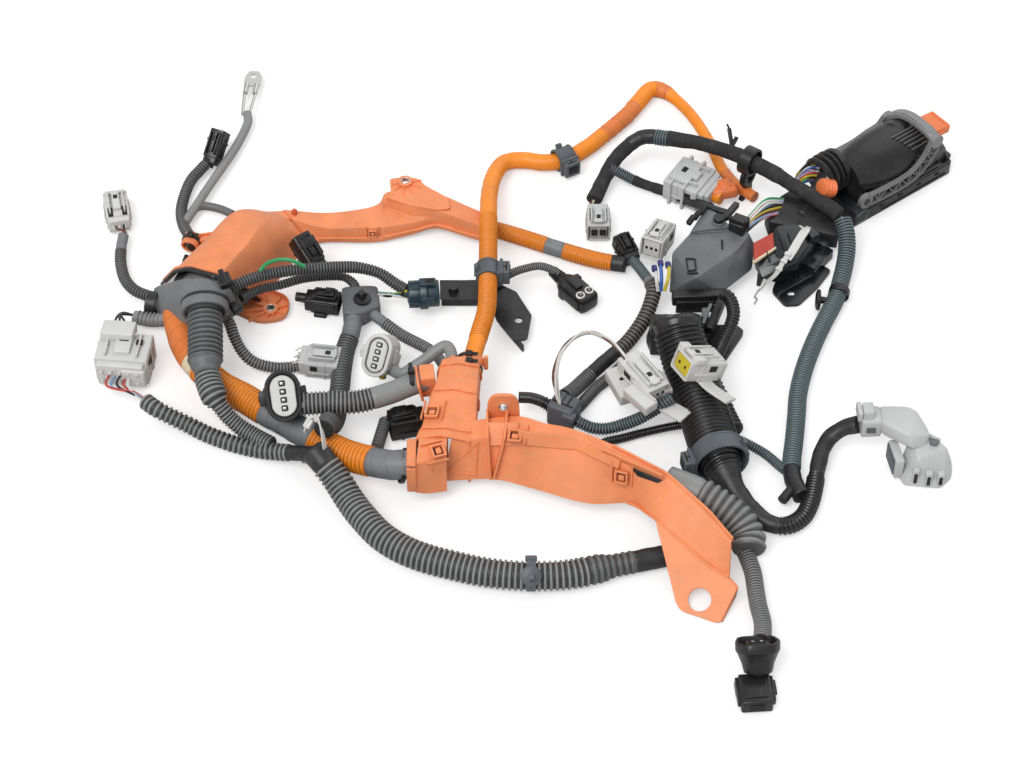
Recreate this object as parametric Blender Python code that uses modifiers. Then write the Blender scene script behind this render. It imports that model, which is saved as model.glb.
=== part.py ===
# Engine-room wiring harness of a hybrid car, laid out on a flat surface.
# Metres, +Z up. The harness lies as it would on a bench: X to the right, Y away from the viewer.
import math

import bmesh
import bpy
from mathutils import Matrix, Vector

# Driving dimensions, metres
CLEARANCE = 0.0003          # between pieces that touch
HARNESS_CENTRE = (0.0202, 0.0272)  # middle of the laid-out harness, which becomes the origin
FLOOR_SLAB = 0.02           # trims whatever would sink into the floor
TUBE_STEP = 2.4             # distance between points of a conduit, in diameters

HV_LOWER_RADIUS = 0.013     # thick orange high-voltage cable in its conduit
HV_UPPER_RADIUS = 0.0081
HV_LEAD_RADIUS = 0.0055     # the same cable past its conduit
HV_REAR_RADIUS = 0.0078
MAIN_RADIUS = 0.012
MAIN_TAPED_RADIUS = 0.0095
BRANCH_RADIUS = 0.015       # big corrugated neck at the left hub
BRANCH_MID_RADIUS = 0.0112
BRANCH_THIN_RADIUS = 0.0072
LOWER_LEFT_RADIUS = 0.007
SMALL_RADIUS = 0.005        # the thin grey conduits
CROSSING_RADIUS = 0.0052
OVAL_LEAD_RADIUS = 0.0098
SMOOTH_SLEEVE_RADIUS = 0.0054
LEG_RADIUS = 0.0085
TWO_PIN_LEAD_RADIUS = 0.0038
FOAM_RADIUS = 0.0073
FOAM_BRANCH_RADIUS = 0.005
RIGHT_HOSE_RADIUS = 0.0078
CENTRE_RADIUS = 0.0064
BLACK_CROSS_RADIUS = 0.0052
BLACK_THIN_RADIUS = 0.0038
TRUNK_RADIUS = 0.0215
TRUNK_TAPED_RADIUS = 0.011
TRUNK_LEAD_RADIUS = 0.0075
TRUNK_SIDE_RADIUS = 0.0086
LOOP_RADIUS = 0.0057
END_RADIUS = 0.014
PIGTAIL_RADIUS = 0.007
WIRE_ARCH_RADIUS = 0.0026

GUARD_WALL = 0.0022         # moulded cable guards
BOLT_HOLE = 0.0082          # diameter of the guards' bolt holes
FOOT_HOLE = 0.018
PLUG_WALL = 0.0016          # connector housings
PLUG_MOAT = 0.0012          # free ring between a housing and its insert
PIN_SLOT = 0.0022           # square mouth of one terminal
SHEET = 0.0018              # folded steel bracket
LEVER_BAND = 0.014          # width of the truss lever
LEVER_THICKNESS = 0.005
LEVER_WEB = 0.0022          # thickness of each truss web

parts = bpy.data.collections.new("wiring_harness")
cutters = bpy.data.collections.new("harness_cutters")


def clear_scene():
    for old in list(bpy.data.objects):
        bpy.data.objects.remove(old, do_unlink=True)
    bpy.context.scene.collection.children.link(parts)
    bpy.context.scene.collection.children.link(cutters)


clear_scene()
frame = bpy.data.objects.new("harness_frame", None)
frame.location = (-HARNESS_CENTRE[0], -HARNESS_CENTRE[1], 0)
parts.objects.link(frame)


# Materials
def material(name, colour, roughness, metallic=0.0):
    made = bpy.data.materials.new(name)
    made.use_nodes = True
    shader = made.node_tree.nodes["Principled BSDF"]
    shader.inputs["Base Color"].default_value = (*colour, 1)
    shader.inputs["Roughness"].default_value = roughness
    shader.inputs["Metallic"].default_value = metallic
    made.diffuse_color = (*colour, 1)
    return made


GUARD_ORANGE = material("guard_orange", (0.9, 0.32, 0.14), 0.5)
CABLE_ORANGE = material("cable_orange", (0.9, 0.24, 0.01), 0.45)
CONDUIT_GREY = material("conduit_grey", (0.14, 0.15, 0.16), 0.5)
CONDUIT_BLUE = material("conduit_blue_grey", (0.07, 0.11, 0.13), 0.5)
CONDUIT_BLACK = material("conduit_black", (0.015, 0.015, 0.017), 0.4)
FOAM_BLACK = material("foam_black", (0.035, 0.033, 0.035), 0.9)
CLIP_GREY = material("clip_grey", (0.13, 0.14, 0.16), 0.5)
PLUG_BLACK = material("plug_black", (0.012, 0.012, 0.013), 0.35)
PLUG_WHITE = material("plug_white", (0.72, 0.72, 0.7), 0.45)
PLUG_PALE = material("plug_pale_grey", (0.5, 0.51, 0.52), 0.45)
PLUG_DARK = material("plug_dark_teal", (0.02, 0.04, 0.06), 0.35)
LEVER_GREY = material("lever_grey", (0.1, 0.1, 0.105), 0.5)
STEEL = material("tinned_steel", (0.6, 0.6, 0.58), 0.3, 1.0)
WIRE_PALE = material("wire_pale", (0.7, 0.66, 0.58), 0.4)


# Mesh builders, each about its own middle unless it says otherwise
def mesh_from(name, build):
    bm = bmesh.new()
    build(bm)
    bmesh.ops.recalc_face_normals(bm, faces=bm.faces)
    mesh = bpy.data.meshes.new(name)
    bm.to_mesh(mesh)
    bm.free()
    return mesh


def box(size, round_edges=0.0, segments=1, round_only=None):
    def build(bm):
        bmesh.ops.create_cube(bm, size=1)
        bmesh.ops.scale(bm, vec=size, verts=bm.verts)
        if round_edges:
            edges = [e for e in bm.edges if round_only is None or is_along(e, round_only)]
            bmesh.ops.bevel(
                bm, geom=edges, offset=round_edges, segments=segments, profile=0.5, affect="EDGES"
            )
    return mesh_from("box", build)


def is_along(edge, axis):
    run = edge.verts[1].co - edge.verts[0].co
    return abs(run["XYZ".index(axis)]) > 0.99 * run.length


def rod(radius, length, axis="Z", far_radius=None, sides=16):
    def build(bm):
        bmesh.ops.create_cone(
            bm,
            cap_ends=True,
            segments=sides,
            radius1=radius,
            radius2=radius if far_radius is None else far_radius,
            depth=length,
        )
        if axis == "X":
            bmesh.ops.rotate(bm, verts=bm.verts, matrix=Matrix.Rotation(math.pi / 2, 3, "Y"))
        if axis == "Y":
            bmesh.ops.rotate(bm, verts=bm.verts, matrix=Matrix.Rotation(-math.pi / 2, 3, "X"))
    return mesh_from("rod", build)


def hull(corners):
    def build(bm):
        for corner in corners:
            bm.verts.new(corner)
        made = bmesh.ops.convex_hull(bm, input=bm.verts)
        loose = [v for v in made["geom_interior"] if isinstance(v, bmesh.types.BMVert)]
        bmesh.ops.delete(bm, geom=loose, context="VERTS")
    return mesh_from("hull", build)


def slab(corners, facing, thickness):
    """Flat convex plate in space through its corners, half its thickness to each side."""
    reach = facing.normalized() * thickness / 2
    return hull([Vector(c) + reach for c in corners] + [Vector(c) - reach for c in corners])


def evaluated_mesh(obj):
    bpy.context.view_layer.update()
    graph = bpy.context.evaluated_depsgraph_get()
    mesh = bpy.data.meshes.new_from_object(obj.evaluated_get(graph))
    bm = bmesh.new()
    bm.from_mesh(mesh)
    bmesh.ops.remove_doubles(bm, verts=bm.verts, dist=0.00001)
    bmesh.ops.recalc_face_normals(bm, faces=bm.faces)
    bm.to_mesh(mesh)
    bm.free()
    return mesh


def plate(outline, thickness, corner=0.0, holes=()):
    """Flat plate in XY from an outline, its corners rounded by arcs, with round holes (x, y, radius)."""
    curve = bpy.data.curves.new("outline", "CURVE")
    curve.dimensions = "2D"
    curve.fill_mode = "BOTH"
    curve.extrude = thickness / 2
    rings = [rounded(outline, corner)]
    rings += [circle(x, y, radius) for x, y, radius in holes]
    for ring in rings:
        spline = curve.splines.new("POLY")
        spline.points.add(len(ring) - 1)
        for point, (x, y) in zip(spline.points, ring):
            point.co = (x, y, 0, 1)
        spline.use_cyclic_u = True
    guide = bpy.data.objects.new("outline", curve)
    cutters.objects.link(guide)
    mesh = evaluated_mesh(guide)
    bpy.data.objects.remove(guide)
    return mesh


def circle(x, y, radius, sides=20):
    turn = 2 * math.pi / sides
    return [(x + radius * math.cos(k * turn), y + radius * math.sin(k * turn)) for k in range(sides)]


def rounded(outline, radius, steps=3):
    if not radius:
        return list(outline)
    ring = []
    for k, corner in enumerate(outline):
        corner = Vector(corner)
        before = (Vector(outline[k - 1]) - corner).normalized()
        after = (Vector(outline[(k + 1) % len(outline)]) - corner).normalized()
        half = before.angle(after) / 2
        reach = min(radius / math.tan(half), 0.45 * (Vector(outline[k - 1]) - corner).length,
                    0.45 * (Vector(outline[(k + 1) % len(outline)]) - corner).length)
        start, end = corner + before * reach, corner + after * reach
        for step in range(steps + 1):
            t = step / steps
            ring.append(tuple((1 - t) ** 2 * start + 2 * t * (1 - t) * corner + t * t * end))
    return ring


def loft(sections, closed_ends=True):
    """Skin through rings of points, each ring a list with the same number of points."""
    def build(bm):
        rings = [[bm.verts.new(p) for p in ring] for ring in sections]
        count = len(rings[0])
        for near, far in zip(rings, rings[1:]):
            for k in range(count):
                bm.faces.new((near[k], near[(k + 1) % count], far[(k + 1) % count], far[k]))
        if closed_ends:
            bm.faces.new(rings[0][::-1])
            bm.faces.new(rings[-1])
    return mesh_from("loft", build)


def sheet(rows, wall, flip=False):
    """Open surface through rows of points, given a wall by Solidify."""
    def build(bm):
        grid = [[bm.verts.new(p) for p in row] for row in rows]
        for near, far in zip(grid, grid[1:]):
            for k in range(len(near) - 1):
                bm.faces.new((near[k], near[k + 1], far[k + 1], far[k]))
    mesh = bpy.data.meshes.new("sheet")
    bm = bmesh.new()
    build(bm)
    if flip:
        bmesh.ops.reverse_faces(bm, faces=bm.faces)
    bm.to_mesh(mesh)
    bm.free()
    guide = bpy.data.objects.new("sheet", mesh)
    cutters.objects.link(guide)
    thicken = guide.modifiers.new("wall", "SOLIDIFY")
    thicken.thickness = wall
    thicken.offset = -1
    thicken.use_even_offset = True
    walled = evaluated_mesh(guide)
    bpy.data.objects.remove(guide)
    return walled


def turned(profile, axis="Z", steps=24):
    """Turned solid: profile of (radius, height) from top to bottom, its ends on the axis."""
    mesh = bpy.data.meshes.new("profile")
    points = [(radius, 0, height) for radius, height in profile]
    mesh.from_pydata(points, [(k, k + 1) for k in range(len(points) - 1)], [])
    guide = bpy.data.objects.new("profile", mesh)
    cutters.objects.link(guide)
    screw = guide.modifiers.new("turn", "SCREW")
    screw.steps = screw.render_steps = steps
    screw.use_merge_vertices = True
    screw.merge_threshold = 0.00001
    solid = evaluated_mesh(guide)
    bpy.data.objects.remove(guide)
    if axis == "X":
        solid.transform(Matrix.Rotation(math.pi / 2, 4, "Y"))
    if axis == "Y":
        solid.transform(Matrix.Rotation(-math.pi / 2, 4, "X"))
    return solid


# Pieces: one node each, with helpers joined to it or cut from it
def degrees(turn):
    return tuple(math.radians(angle) for angle in turn)


class Piece:
    def __init__(self, name, mesh, finish, at=(0, 0, 0), turn=(0, 0, 0)):
        mesh.name = name
        self.node = bpy.data.objects.new(name, mesh)
        mesh.materials.append(finish)
        parts.objects.link(self.node)
        self.node.parent = frame
        self.node.location = at
        self.node.rotation_euler = degrees(turn)

    def helper(self, mesh, at, turn, operation, parent):
        tool = bpy.data.objects.new(f"{self.node.name}_{operation.lower()}", mesh)
        cutters.objects.link(tool)
        tool.parent = parent
        tool.location = at
        tool.rotation_euler = degrees(turn)
        tool.hide_render = True
        tool.display_type = "WIRE"
        step = self.node.modifiers.new(operation.title(), "BOOLEAN")
        step.operation = operation
        step.object = tool
        step.solver = "EXACT"
        return self

    def add(self, mesh, at=(0, 0, 0), turn=(0, 0, 0)):
        return self.helper(mesh, at, turn, "UNION", self.node)

    def cut(self, mesh, at=(0, 0, 0), turn=(0, 0, 0)):
        return self.helper(mesh, at, turn, "DIFFERENCE", self.node)

    def add_in_frame(self, mesh, at=(0, 0, 0), turn=(0, 0, 0)):
        return self.helper(mesh, at, turn, "UNION", frame)

    def cut_in_frame(self, mesh, at=(0, 0, 0), turn=(0, 0, 0)):
        return self.helper(mesh, at, turn, "DIFFERENCE", frame)

    def stand_on_floor(self):
        return self.cut_in_frame(box((1, 1, FLOOR_SLAB)), (0, 0, -FLOOR_SLAB / 2))

    def seat(self, *routes):
        """Leaves the named clearance round each conduit that enters or passes this piece."""
        for route in routes:
            self.cut_in_frame(tube_mesh(route, CLEARANCE))
        return self


# Conduit routes: radius, or (share of the length, radius) where it changes, then hand-laid points
def tapered(*stations):
    return stations


ROUTES = {
    "small_left_conduit": (SMALL_RADIUS, [
        (-.366, .179, .010), (-.367, .165, .008), (-.366, .148, .006), (-.360, .126, .006),
        (-.350, .112, .006), (-.338, .105, .006), (-.326, .100, .007)]),
    "rear_left_conduit": (SMALL_RADIUS, [
        (-.2940, .2815, .0090), (-.300, .272, .0085), (-.309, .257, .007), (-.314, .235, .006), (-.315, .215, .006),
        (-.311, .195, .008), (-.303, .175, .012), (-.299, .160, .014)]),
    "ring_lead_sleeve": (.0043, [
        (-.2610, .351, .0088), (-.260, .336, .008), (-.269, .303, .008), (-.281, .271, .009), (-.293, .241, .009),
        (-.303, .216, .008), (-.310, .198, .008)]),
    "folded_stub": (.004, [
        (-.309, .201, .008), (-.305, .214, .007), (-.299, .222, .006), (-.291, .224, .005),
        (-.278, .220, .005), (-.266, .213, .005)]),
    "crossing_conduit": (CROSSING_RADIUS, [
        (-.262, .065, .050), (-.247, .075, .052), (-.228, .085, .052), (-.206, .093, .050),
        (-.181, .100, .046), (-.158, .108, .040), (-.140, .113, .034), (-.122, .112, .028),
        (-.108, .104, .023), (-.097, .097, .021)]),
    "second_crossing": (.004, [
        (-.246, .074, .034), (-.231, .087, .032), (-.212, .095, .030), (-.192, .105, .028),
        (-.172, .112, .024), (-.156, .115, .020), (-.146, .109, .017), (-.143, .098, .016)]),
    "hub_lower_conduit": (SMALL_RADIUS, [
        (-.266, .062, .036), (-.256, .050, .028), (-.251, .038, .022), (-.243, .026, .014), (-.232, .018, .009),
        (-.216, .014, .007), (-.200, .014, .007), (-.186, .015, .009)]),
    "left_leg": (LEG_RADIUS, [
        (-.144, .072, .014), (-.147, .050, .011), (-.151, .033, .0092), (-.153, .011, .009),
        (-.154, -.015, .009), (-.155, -.035, .009), (-.156, -.050, .011), (-.158, -.066, .020),
        (-.160, -.076, .035), (-.163, -.091, .042)]),
    "right_leg": (SMALL_RADIUS, [
        (-.134, .082, .013), (-.124, .070, .014), (-.111, .058, .013), (-.099, .048, .012), (-.077, .029, .016),
        (-.066, .012, .022), (-.060, -.004, .026)]),
    "oval_lead": (OVAL_LEAD_RADIUS, [
        (-.186, -.060, .040), (-.163, -.058, .040), (-.136, -.056, .039), (-.110, -.048, .040),
        (-.087, -.038, .042), (-.072, -.033, .043)]),
    "smooth_sleeve": (SMOOTH_SLEEVE_RADIUS, [
        (-.1080, -.006, .0265), (-.098, -.015, .030), (-.087, -.012, .036), (-.075, -.007, .042), (-.065, -.002, .048),
        (-.058, -.001, .051), (-.054, -.008, .050), (-.053, -.019, .047)]),
    "left_loom": (
        tapered((0, BRANCH_RADIUS), (.36, BRANCH_RADIUS), (.39, BRANCH_MID_RADIUS),
                (.58, BRANCH_MID_RADIUS), (.63, BRANCH_THIN_RADIUS), (1, BRANCH_THIN_RADIUS)), [
        (-.275, .042, .058), (-.273, .018, .052), (-.272, -.001, .046), (-.271, -.016, .042),
        (-.267, -.033, .039), (-.261, -.048, .036), (-.254, -.056, .029), (-.247, -.061, .022),
        (-.237, -.067, .016), (-.225, -.074, .013), (-.210, -.084, .013)]),
    "lower_left_conduit": (LOWER_LEFT_RADIUS, [
        (-.3245, -.0365, .0175), (-.314, -.046, .018), (-.300, -.052, .014), (-.285, -.058, .010), (-.270, -.066, .008),
        (-.253, -.074, .0075), (-.238, -.080, .0075), (-.219, -.086, .0085), (-.199, -.092, .013),
        (-.184, -.099, .020), (-.171, -.106, .027)]),
    "hv_lower_cable": (HV_LOWER_RADIUS, [
        (-.307, .091, .014), (-.306, .071, .0138), (-.300, .046, .0135), (-.291, .024, .0135),
        (-.277, .004, .0135), (-.259, -.015, .0135), (-.238, -.029, .0135), (-.220, -.043, .0135),
        (-.200, -.057, .0135), (-.181, -.071, .0135), (-.161, -.086, .014), (-.144, -.099, .018),
        (-.125, -.111, .024), (-.103, -.121, .030), (-.084, -.122, .034), (-.068, -.121, .036)]),
    "main_loom": (
        tapered((0, MAIN_RADIUS), (.83, MAIN_RADIUS), (.86, MAIN_TAPED_RADIUS), (1, MAIN_TAPED_RADIUS)), [
        (-.171, -.106, .032), (-.162, -.117, .028), (-.151, -.129, .020), (-.139, -.147, .0135),
        (-.127, -.165, .0122), (-.111, -.185, .0122), (-.093, -.199, .0122), (-.073, -.209, .0122),
        (-.052, -.216, .0122), (-.027, -.223, .0122), (-.002, -.227, .0122), (.024, -.228, .0122),
        (.049, -.226, .0122), (.074, -.219, .011), (.095, -.213, .010), (.112, -.209, .010),
        (.134, -.204, .010)]),
    "hv_upper_cable": (
        tapered((0, HV_UPPER_RADIUS), (.74, HV_UPPER_RADIUS), (.77, HV_LEAD_RADIUS), (1, HV_LEAD_RADIUS)), [
        (-.039, -.025, .044), (-.035, -.010, .046), (-.029, .019, .046), (-.023, .051, .044),
        (-.022, .085, .042), (-.022, .117, .040), (-.022, .149, .038), (-.022, .191, .032),
        (-.021, .226, .024), (-.016, .259, .015), (-.007, .280, .009), (.010, .284, .0085),
        (.031, .281, .0085), (.047, .283, .0085), (.061, .291, .0085), (.078, .307, .0085),
        (.095, .326, .0085), (.112, .347, .0085), (.126, .369, .0085), (.137, .386, .008),
        (.149, .387, .007), (.162, .375, .006), (.176, .353, .006), (.187, .328, .006),
        (.196, .300, .007), (.202, .276, .0075), (.211, .256, .008), (.222, .243, .008),
        (.232, .232, .0085)]),
    "hv_rear_cable": (HV_REAR_RADIUS, [
        (-.022, .190, .0095), (-.002, .183, .0085), (.017, .175, .0083), (.041, .164, .0082),
        (.064, .154, .0082), (.085, .146, .009), (.106, .141, .010)]),
    "two_pin_lead": (TWO_PIN_LEAD_RADIUS, [
        (-.017, .110, .0135), (-.008, .120, .0135), (.002, .127, .014), (.013, .131, .015),
        (.025, .133, .016), (.036, .130, .015), (.044, .124, .013)]),
    "foam_loom": (FOAM_RADIUS, [
        (.078, .229, .008), (.090, .258, .012), (.100, .274, .020), (.111, .282, .028),
        (.122, .287, .034), (.133, .286, .038), (.147, .281, .040), (.161, .277, .042),
        (.187, .269, .042), (.212, .255, .044), (.232, .241, .044), (.251, .225, .044),
        (.267, .210, .044), (.283, .197, .042), (.296, .187, .040), (.306, .179, .037)]),
    "foam_branch": (FOAM_BRANCH_RADIUS, [
        (.095, .265, .016), (.106, .261, .012), (.117, .257, .008), (.129, .252, .006),
        (.140, .247, .006), (.153, .240, .006), (.166, .229, .009), (.179, .217, .014),
        (.188, .206, .020)]),
    "right_hose": (RIGHT_HOSE_RADIUS, [
        (.309, .176, .034), (.312, .164, .028), (.312, .150, .021), (.309, .134, .015),
        (.304, .116, .011), (.299, .099, .009), (.293, .085, .0083), (.285, .068, .0082),
        (.276, .047, .0082), (.267, .023, .0082), (.260, .000, .0082), (.255, -.022, .0082),
        (.252, -.046, .0082), (.248, -.074, .0085), (.244, -.100, .009), (.244, -.120, .009),
        (.250, -.139, .009)]),
    "blue_link": (.004, [
        (.196, -.068, .005), (.211, -.078, .005), (.223, -.088, .005), (.233, -.101, .006),
        (.243, -.114, .008)]),
    "short_link": (.0045, [
        (.247, -.124, .009), (.240, -.133, .009), (.233, -.143, .009)]),
    "centre_conduit": (
        tapered((0, .0046), (.17, .0046), (.2, CENTRE_RADIUS), (1, CENTRE_RADIUS)), [
        (.111, .147, .012), (.117, .135, .014), (.124, .117, .018), (.130, .101, .020),
        (.128, .087, .018), (.121, .069, .013), (.110, .051, .009), (.100, .038, .0075),
        (.089, .027, .007), (.076, .012, .007), (.063, -.005, .008), (.054, -.020, .013),
        (.046, -.035, .022)]),
    "centre_second_conduit": (SMALL_RADIUS, [
        (.100, .018, .0055), (.089, .004, .0055), (.077, -.008, .0055), (.069, -.019, .0058),
        (.061, -.031, .0062), (.054, -.041, .007)]),
    "black_cross_conduit": (BLACK_CROSS_RADIUS, [
        (.006, -.034, .020), (.018, -.035, .020), (.028, -.038, .018), (.036, -.043, .016),
        (.045, -.049, .015), (.053, -.054, .014), (.062, -.058, .012), (.071, -.061, .010),
        (.083, -.062, .010), (.097, -.061, .014), (.111, -.061, .022), (.123, -.059, .030),
        (.133, -.057, .038), (.141, -.054, .043)]),
    "black_thin_conduit": (BLACK_THIN_RADIUS, [
        (.070, -.082, .006), (.083, -.074, .006), (.097, -.069, .005), (.111, -.064, .005),
        (.126, -.061, .007), (.139, -.060, .010), (.154, -.060, .014)]),
    "black_trunk": (
        tapered((0, TRUNK_RADIUS), (.36, TRUNK_RADIUS), (.4, .0165), (.46, TRUNK_TAPED_RADIUS),
                (.55, .0088), (.6, TRUNK_LEAD_RADIUS), (1, TRUNK_LEAD_RADIUS)), [
        (.146, .024, .056), (.149, .012, .050), (.153, -.001, .044), (.157, -.015, .038),
        (.162, -.031, .031), (.166, -.048, .026), (.171, -.067, .023), (.175, -.087, .022),
        (.179, -.105, .022), (.184, -.121, .0205), (.190, -.135, .016), (.199, -.148, .012),
        (.210, -.161, .0095), (.222, -.169, .0085), (.236, -.170, .0082), (.249, -.161, .0082),
        (.257, -.145, .0082), (.262, -.126, .0082), (.266, -.107, .009), (.272, -.088, .012),
        (.280, -.076, .017), (.291, -.073, .024), (.302, -.075, .030)]),
    "trunk_side": (TRUNK_SIDE_RADIUS, [
        (.174, -.005, .024), (.179, -.019, .018), (.185, -.032, .013), (.190, -.047, .010),
        (.196, -.064, .009)]),
    "black_loop": (LOOP_RADIUS, [
        (.190, .071, .044), (.197, .066, .042), (.200, .053, .038), (.197, .041, .033),
        (.190, .027, .028), (.184, .013, .026), (.178, -.001, .025)]),
    "grey_end": (END_RADIUS, [
        (.133, -.143, .034), (.145, -.149, .034), (.158, -.155, .033), (.170, -.162, .031),
        (.183, -.170, .027), (.194, -.179, .022), (.200, -.190, .017), (.200, -.202, .0145)]),
    "pigtail": (PIGTAIL_RADIUS, [
        (.192, -.185, .012), (.196, -.195, .009), (.200, -.207, .0075), (.203, -.222, .008),
        (.204, -.240, .009), (.205, -.258, .011), (.207, -.277, .014), (.206, -.292, .017),
        (.2042, -.3010, .0195)]),
    "wire_neck": (.0085, [
        (.2995, .2320, .040), (.2905, .2185, .033), (.280, .200, .027), (.270, .186, .026)]),
    "wire_arch": (WIRE_ARCH_RADIUS, [
        (.042, -.047, .025), (.039, -.041, .034), (.038, -.030, .046), (.042, -.017, .056),
        (.051, -.006, .062), (.062, .002, .064), (.074, .004, .062), (.087, -.002, .058),
        (.097, -.013, .054), (.104, -.021, .050)]),
}


def smooth(points, step):
    """Points at even steps along a Catmull-Rom curve through the given points."""
    points = [Vector(p) for p in points]
    padded = [2 * points[0] - points[1], *points, 2 * points[-1] - points[-2]]
    fine, samples = [], 12
    for a, b, c, d in zip(padded, padded[1:], padded[2:], padded[3:]):
        for k in range(samples):
            t = k / samples
            fine.append(0.5 * (2 * b + (c - a) * t + (2 * a - 5 * b + 4 * c - d) * t * t
                               + (3 * b - a - 3 * c + d) * t ** 3))
    fine.append(points[-1])
    reach = [0.0]
    for near, far in zip(fine, fine[1:]):
        reach.append(reach[-1] + (far - near).length)
    count = max(3, round(reach[-1] / step))
    even, k = [], 0
    for station in range(count + 1):
        target = reach[-1] * station / count
        while k < len(fine) - 2 and reach[k + 1] < target:
            k += 1
        share = (target - reach[k]) / (reach[k + 1] - reach[k])
        even.append((fine[k].lerp(fine[k + 1], min(1, share)), station / count))
    return even


def radius_at(radius, share):
    if isinstance(radius, float):
        return radius
    for (near, first), (far, second) in zip(radius, radius[1:]):
        if share <= far:
            return first + (second - first) * (share - near) / (far - near)
    return radius[-1][1]


def tube_curve(route, margin=0.0):
    """Curve data of a conduit, or of the clearance round it when margin is given."""
    radius, points = ROUTES[route]
    largest = radius if isinstance(radius, float) else max(size for _, size in radius)
    smallest = radius if isinstance(radius, float) else min(size for _, size in radius)
    stations = smooth(points, TUBE_STEP * 2 * math.sqrt(largest * smallest))
    path = [point for point, _ in stations]
    path[0] = path[0] + (path[0] - path[1]).normalized() * margin
    path[-1] = path[-1] + (path[-1] - path[-2]).normalized() * margin
    curve = bpy.data.curves.new(route, "CURVE")
    curve.dimensions = "3D"
    curve.bevel_depth = largest + margin
    curve.bevel_resolution = 2
    curve.use_fill_caps = True
    spline = curve.splines.new("POLY")
    spline.points.add(len(path) - 1)
    for point, place, (_, share) in zip(spline.points, path, stations):
        point.co = (*place, 1)
        point.radius = (radius_at(radius, share) + margin) / (largest + margin)
    return curve


def tube_mesh(route, margin=0.0):
    guide = bpy.data.objects.new(route, tube_curve(route, margin))
    cutters.objects.link(guide)
    mesh = evaluated_mesh(guide)
    bpy.data.objects.remove(guide)
    return mesh


def conduit(route, finish, name=None):
    """A plain conduit: a curve with a bevel and filled caps."""
    curve = tube_curve(route)
    curve.materials.append(finish)
    node = bpy.data.objects.new(name or route, curve)
    parts.objects.link(node)
    node.parent = frame
    return node


def branched_conduit(name, finish, routes, trimmed_by=()):
    """Conduits taped together into one piece, trimmed where they meet other conduits."""
    piece = Piece(name, tube_mesh(routes[0]), finish)
    for route in routes[1:]:
        piece.add(tube_mesh(route))
    return piece.seat(*trimmed_by)


# Conduits
def make_conduits():
    conduit("hv_lower_cable", CABLE_ORANGE)
    conduit("hv_upper_cable", CABLE_ORANGE)
    conduit("small_left_conduit", CONDUIT_GREY)
    conduit("lower_left_conduit", CONDUIT_GREY)
    conduit("oval_lead", CONDUIT_GREY)
    conduit("smooth_sleeve", CONDUIT_GREY)
    conduit("centre_conduit", CONDUIT_GREY)
    conduit("centre_second_conduit", CONDUIT_GREY)
    conduit("black_cross_conduit", CONDUIT_BLACK)
    conduit("wire_arch", WIRE_PALE)
    branched_conduit("rear_left_loom", CONDUIT_GREY,
                     ["rear_left_conduit", "ring_lead_sleeve", "folded_stub"])
    branched_conduit("left_loom", CONDUIT_GREY, ["left_loom"], ["lower_left_conduit"])
    branched_conduit("main_loom", CONDUIT_GREY, ["main_loom"], ["lower_left_conduit", "hv_lower_cable"])
    branched_conduit("hv_rear_cable", CABLE_ORANGE, ["hv_rear_cable"], ["centre_conduit"])
    branched_conduit("foam_loom", FOAM_BLACK, ["foam_loom", "foam_branch"])
    branched_conduit("black_trunk", CONDUIT_BLACK, ["black_trunk", "trunk_side"])
    branched_conduit("right_hose", CONDUIT_BLUE, ["right_hose", "blue_link", "short_link"],
                     ["black_trunk", "trunk_side", "foam_loom"])
    branched_conduit("black_loop", CONDUIT_BLACK, ["black_loop"], ["trunk_side", "black_trunk"])
    branched_conduit("black_thin_conduit", CONDUIT_BLACK, ["black_thin_conduit"], ["black_trunk"])
    branched_conduit("grey_end_loom", CONDUIT_GREY, ["grey_end", "pigtail"], ["black_trunk"])


def make_centre_junction():
    """Taped Y joint with its three legs and the push pin that holds it to the body."""
    top = .0235
    joint = Piece("centre_junction", tube_mesh("left_leg"), CONDUIT_GREY)
    joint.add(tube_mesh("right_leg"))
    joint.add(tube_mesh("second_crossing"))
    joint.add_in_frame(hull([
        (-.157, .104, .004), (-.157, .104, .019), (-.124, .106, .006), (-.124, .106, .019),
        (-.120, .078, .006), (-.120, .078, .020), (-.154, .066, .004), (-.154, .066, top),
        (-.136, .066, .004), (-.136, .066, top), (-.140, .100, .003), (-.140, .098, top)]))
    joint.add_in_frame(rod(.008, .003), (-.137, .083, top))
    joint.add_in_frame(rod(.0035, .010), (-.137, .083, top + .005))
    joint.seat("hv_lower_cable", "oval_lead", "main_loom", "lower_left_conduit")


# Moulded cable guards
def section_rows(stations):
    return [[Vector(point) for point in station] for station in stations]


def star_boss(piece, x, y, z, radius, reach, spokes):
    """Round bolt boss with ribs that run out to the edge of its tab."""
    piece.add(rod(radius, .004), (x, y, z + .002))
    for k in range(spokes):
        angle = 2 * math.pi * k / spokes
        rib = box((reach, .0016, .0016))
        piece.add(rib, (x + reach / 2 * math.cos(angle), y + reach / 2 * math.sin(angle), z + .0028),
                  (0, 0, math.degrees(angle)))


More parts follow.
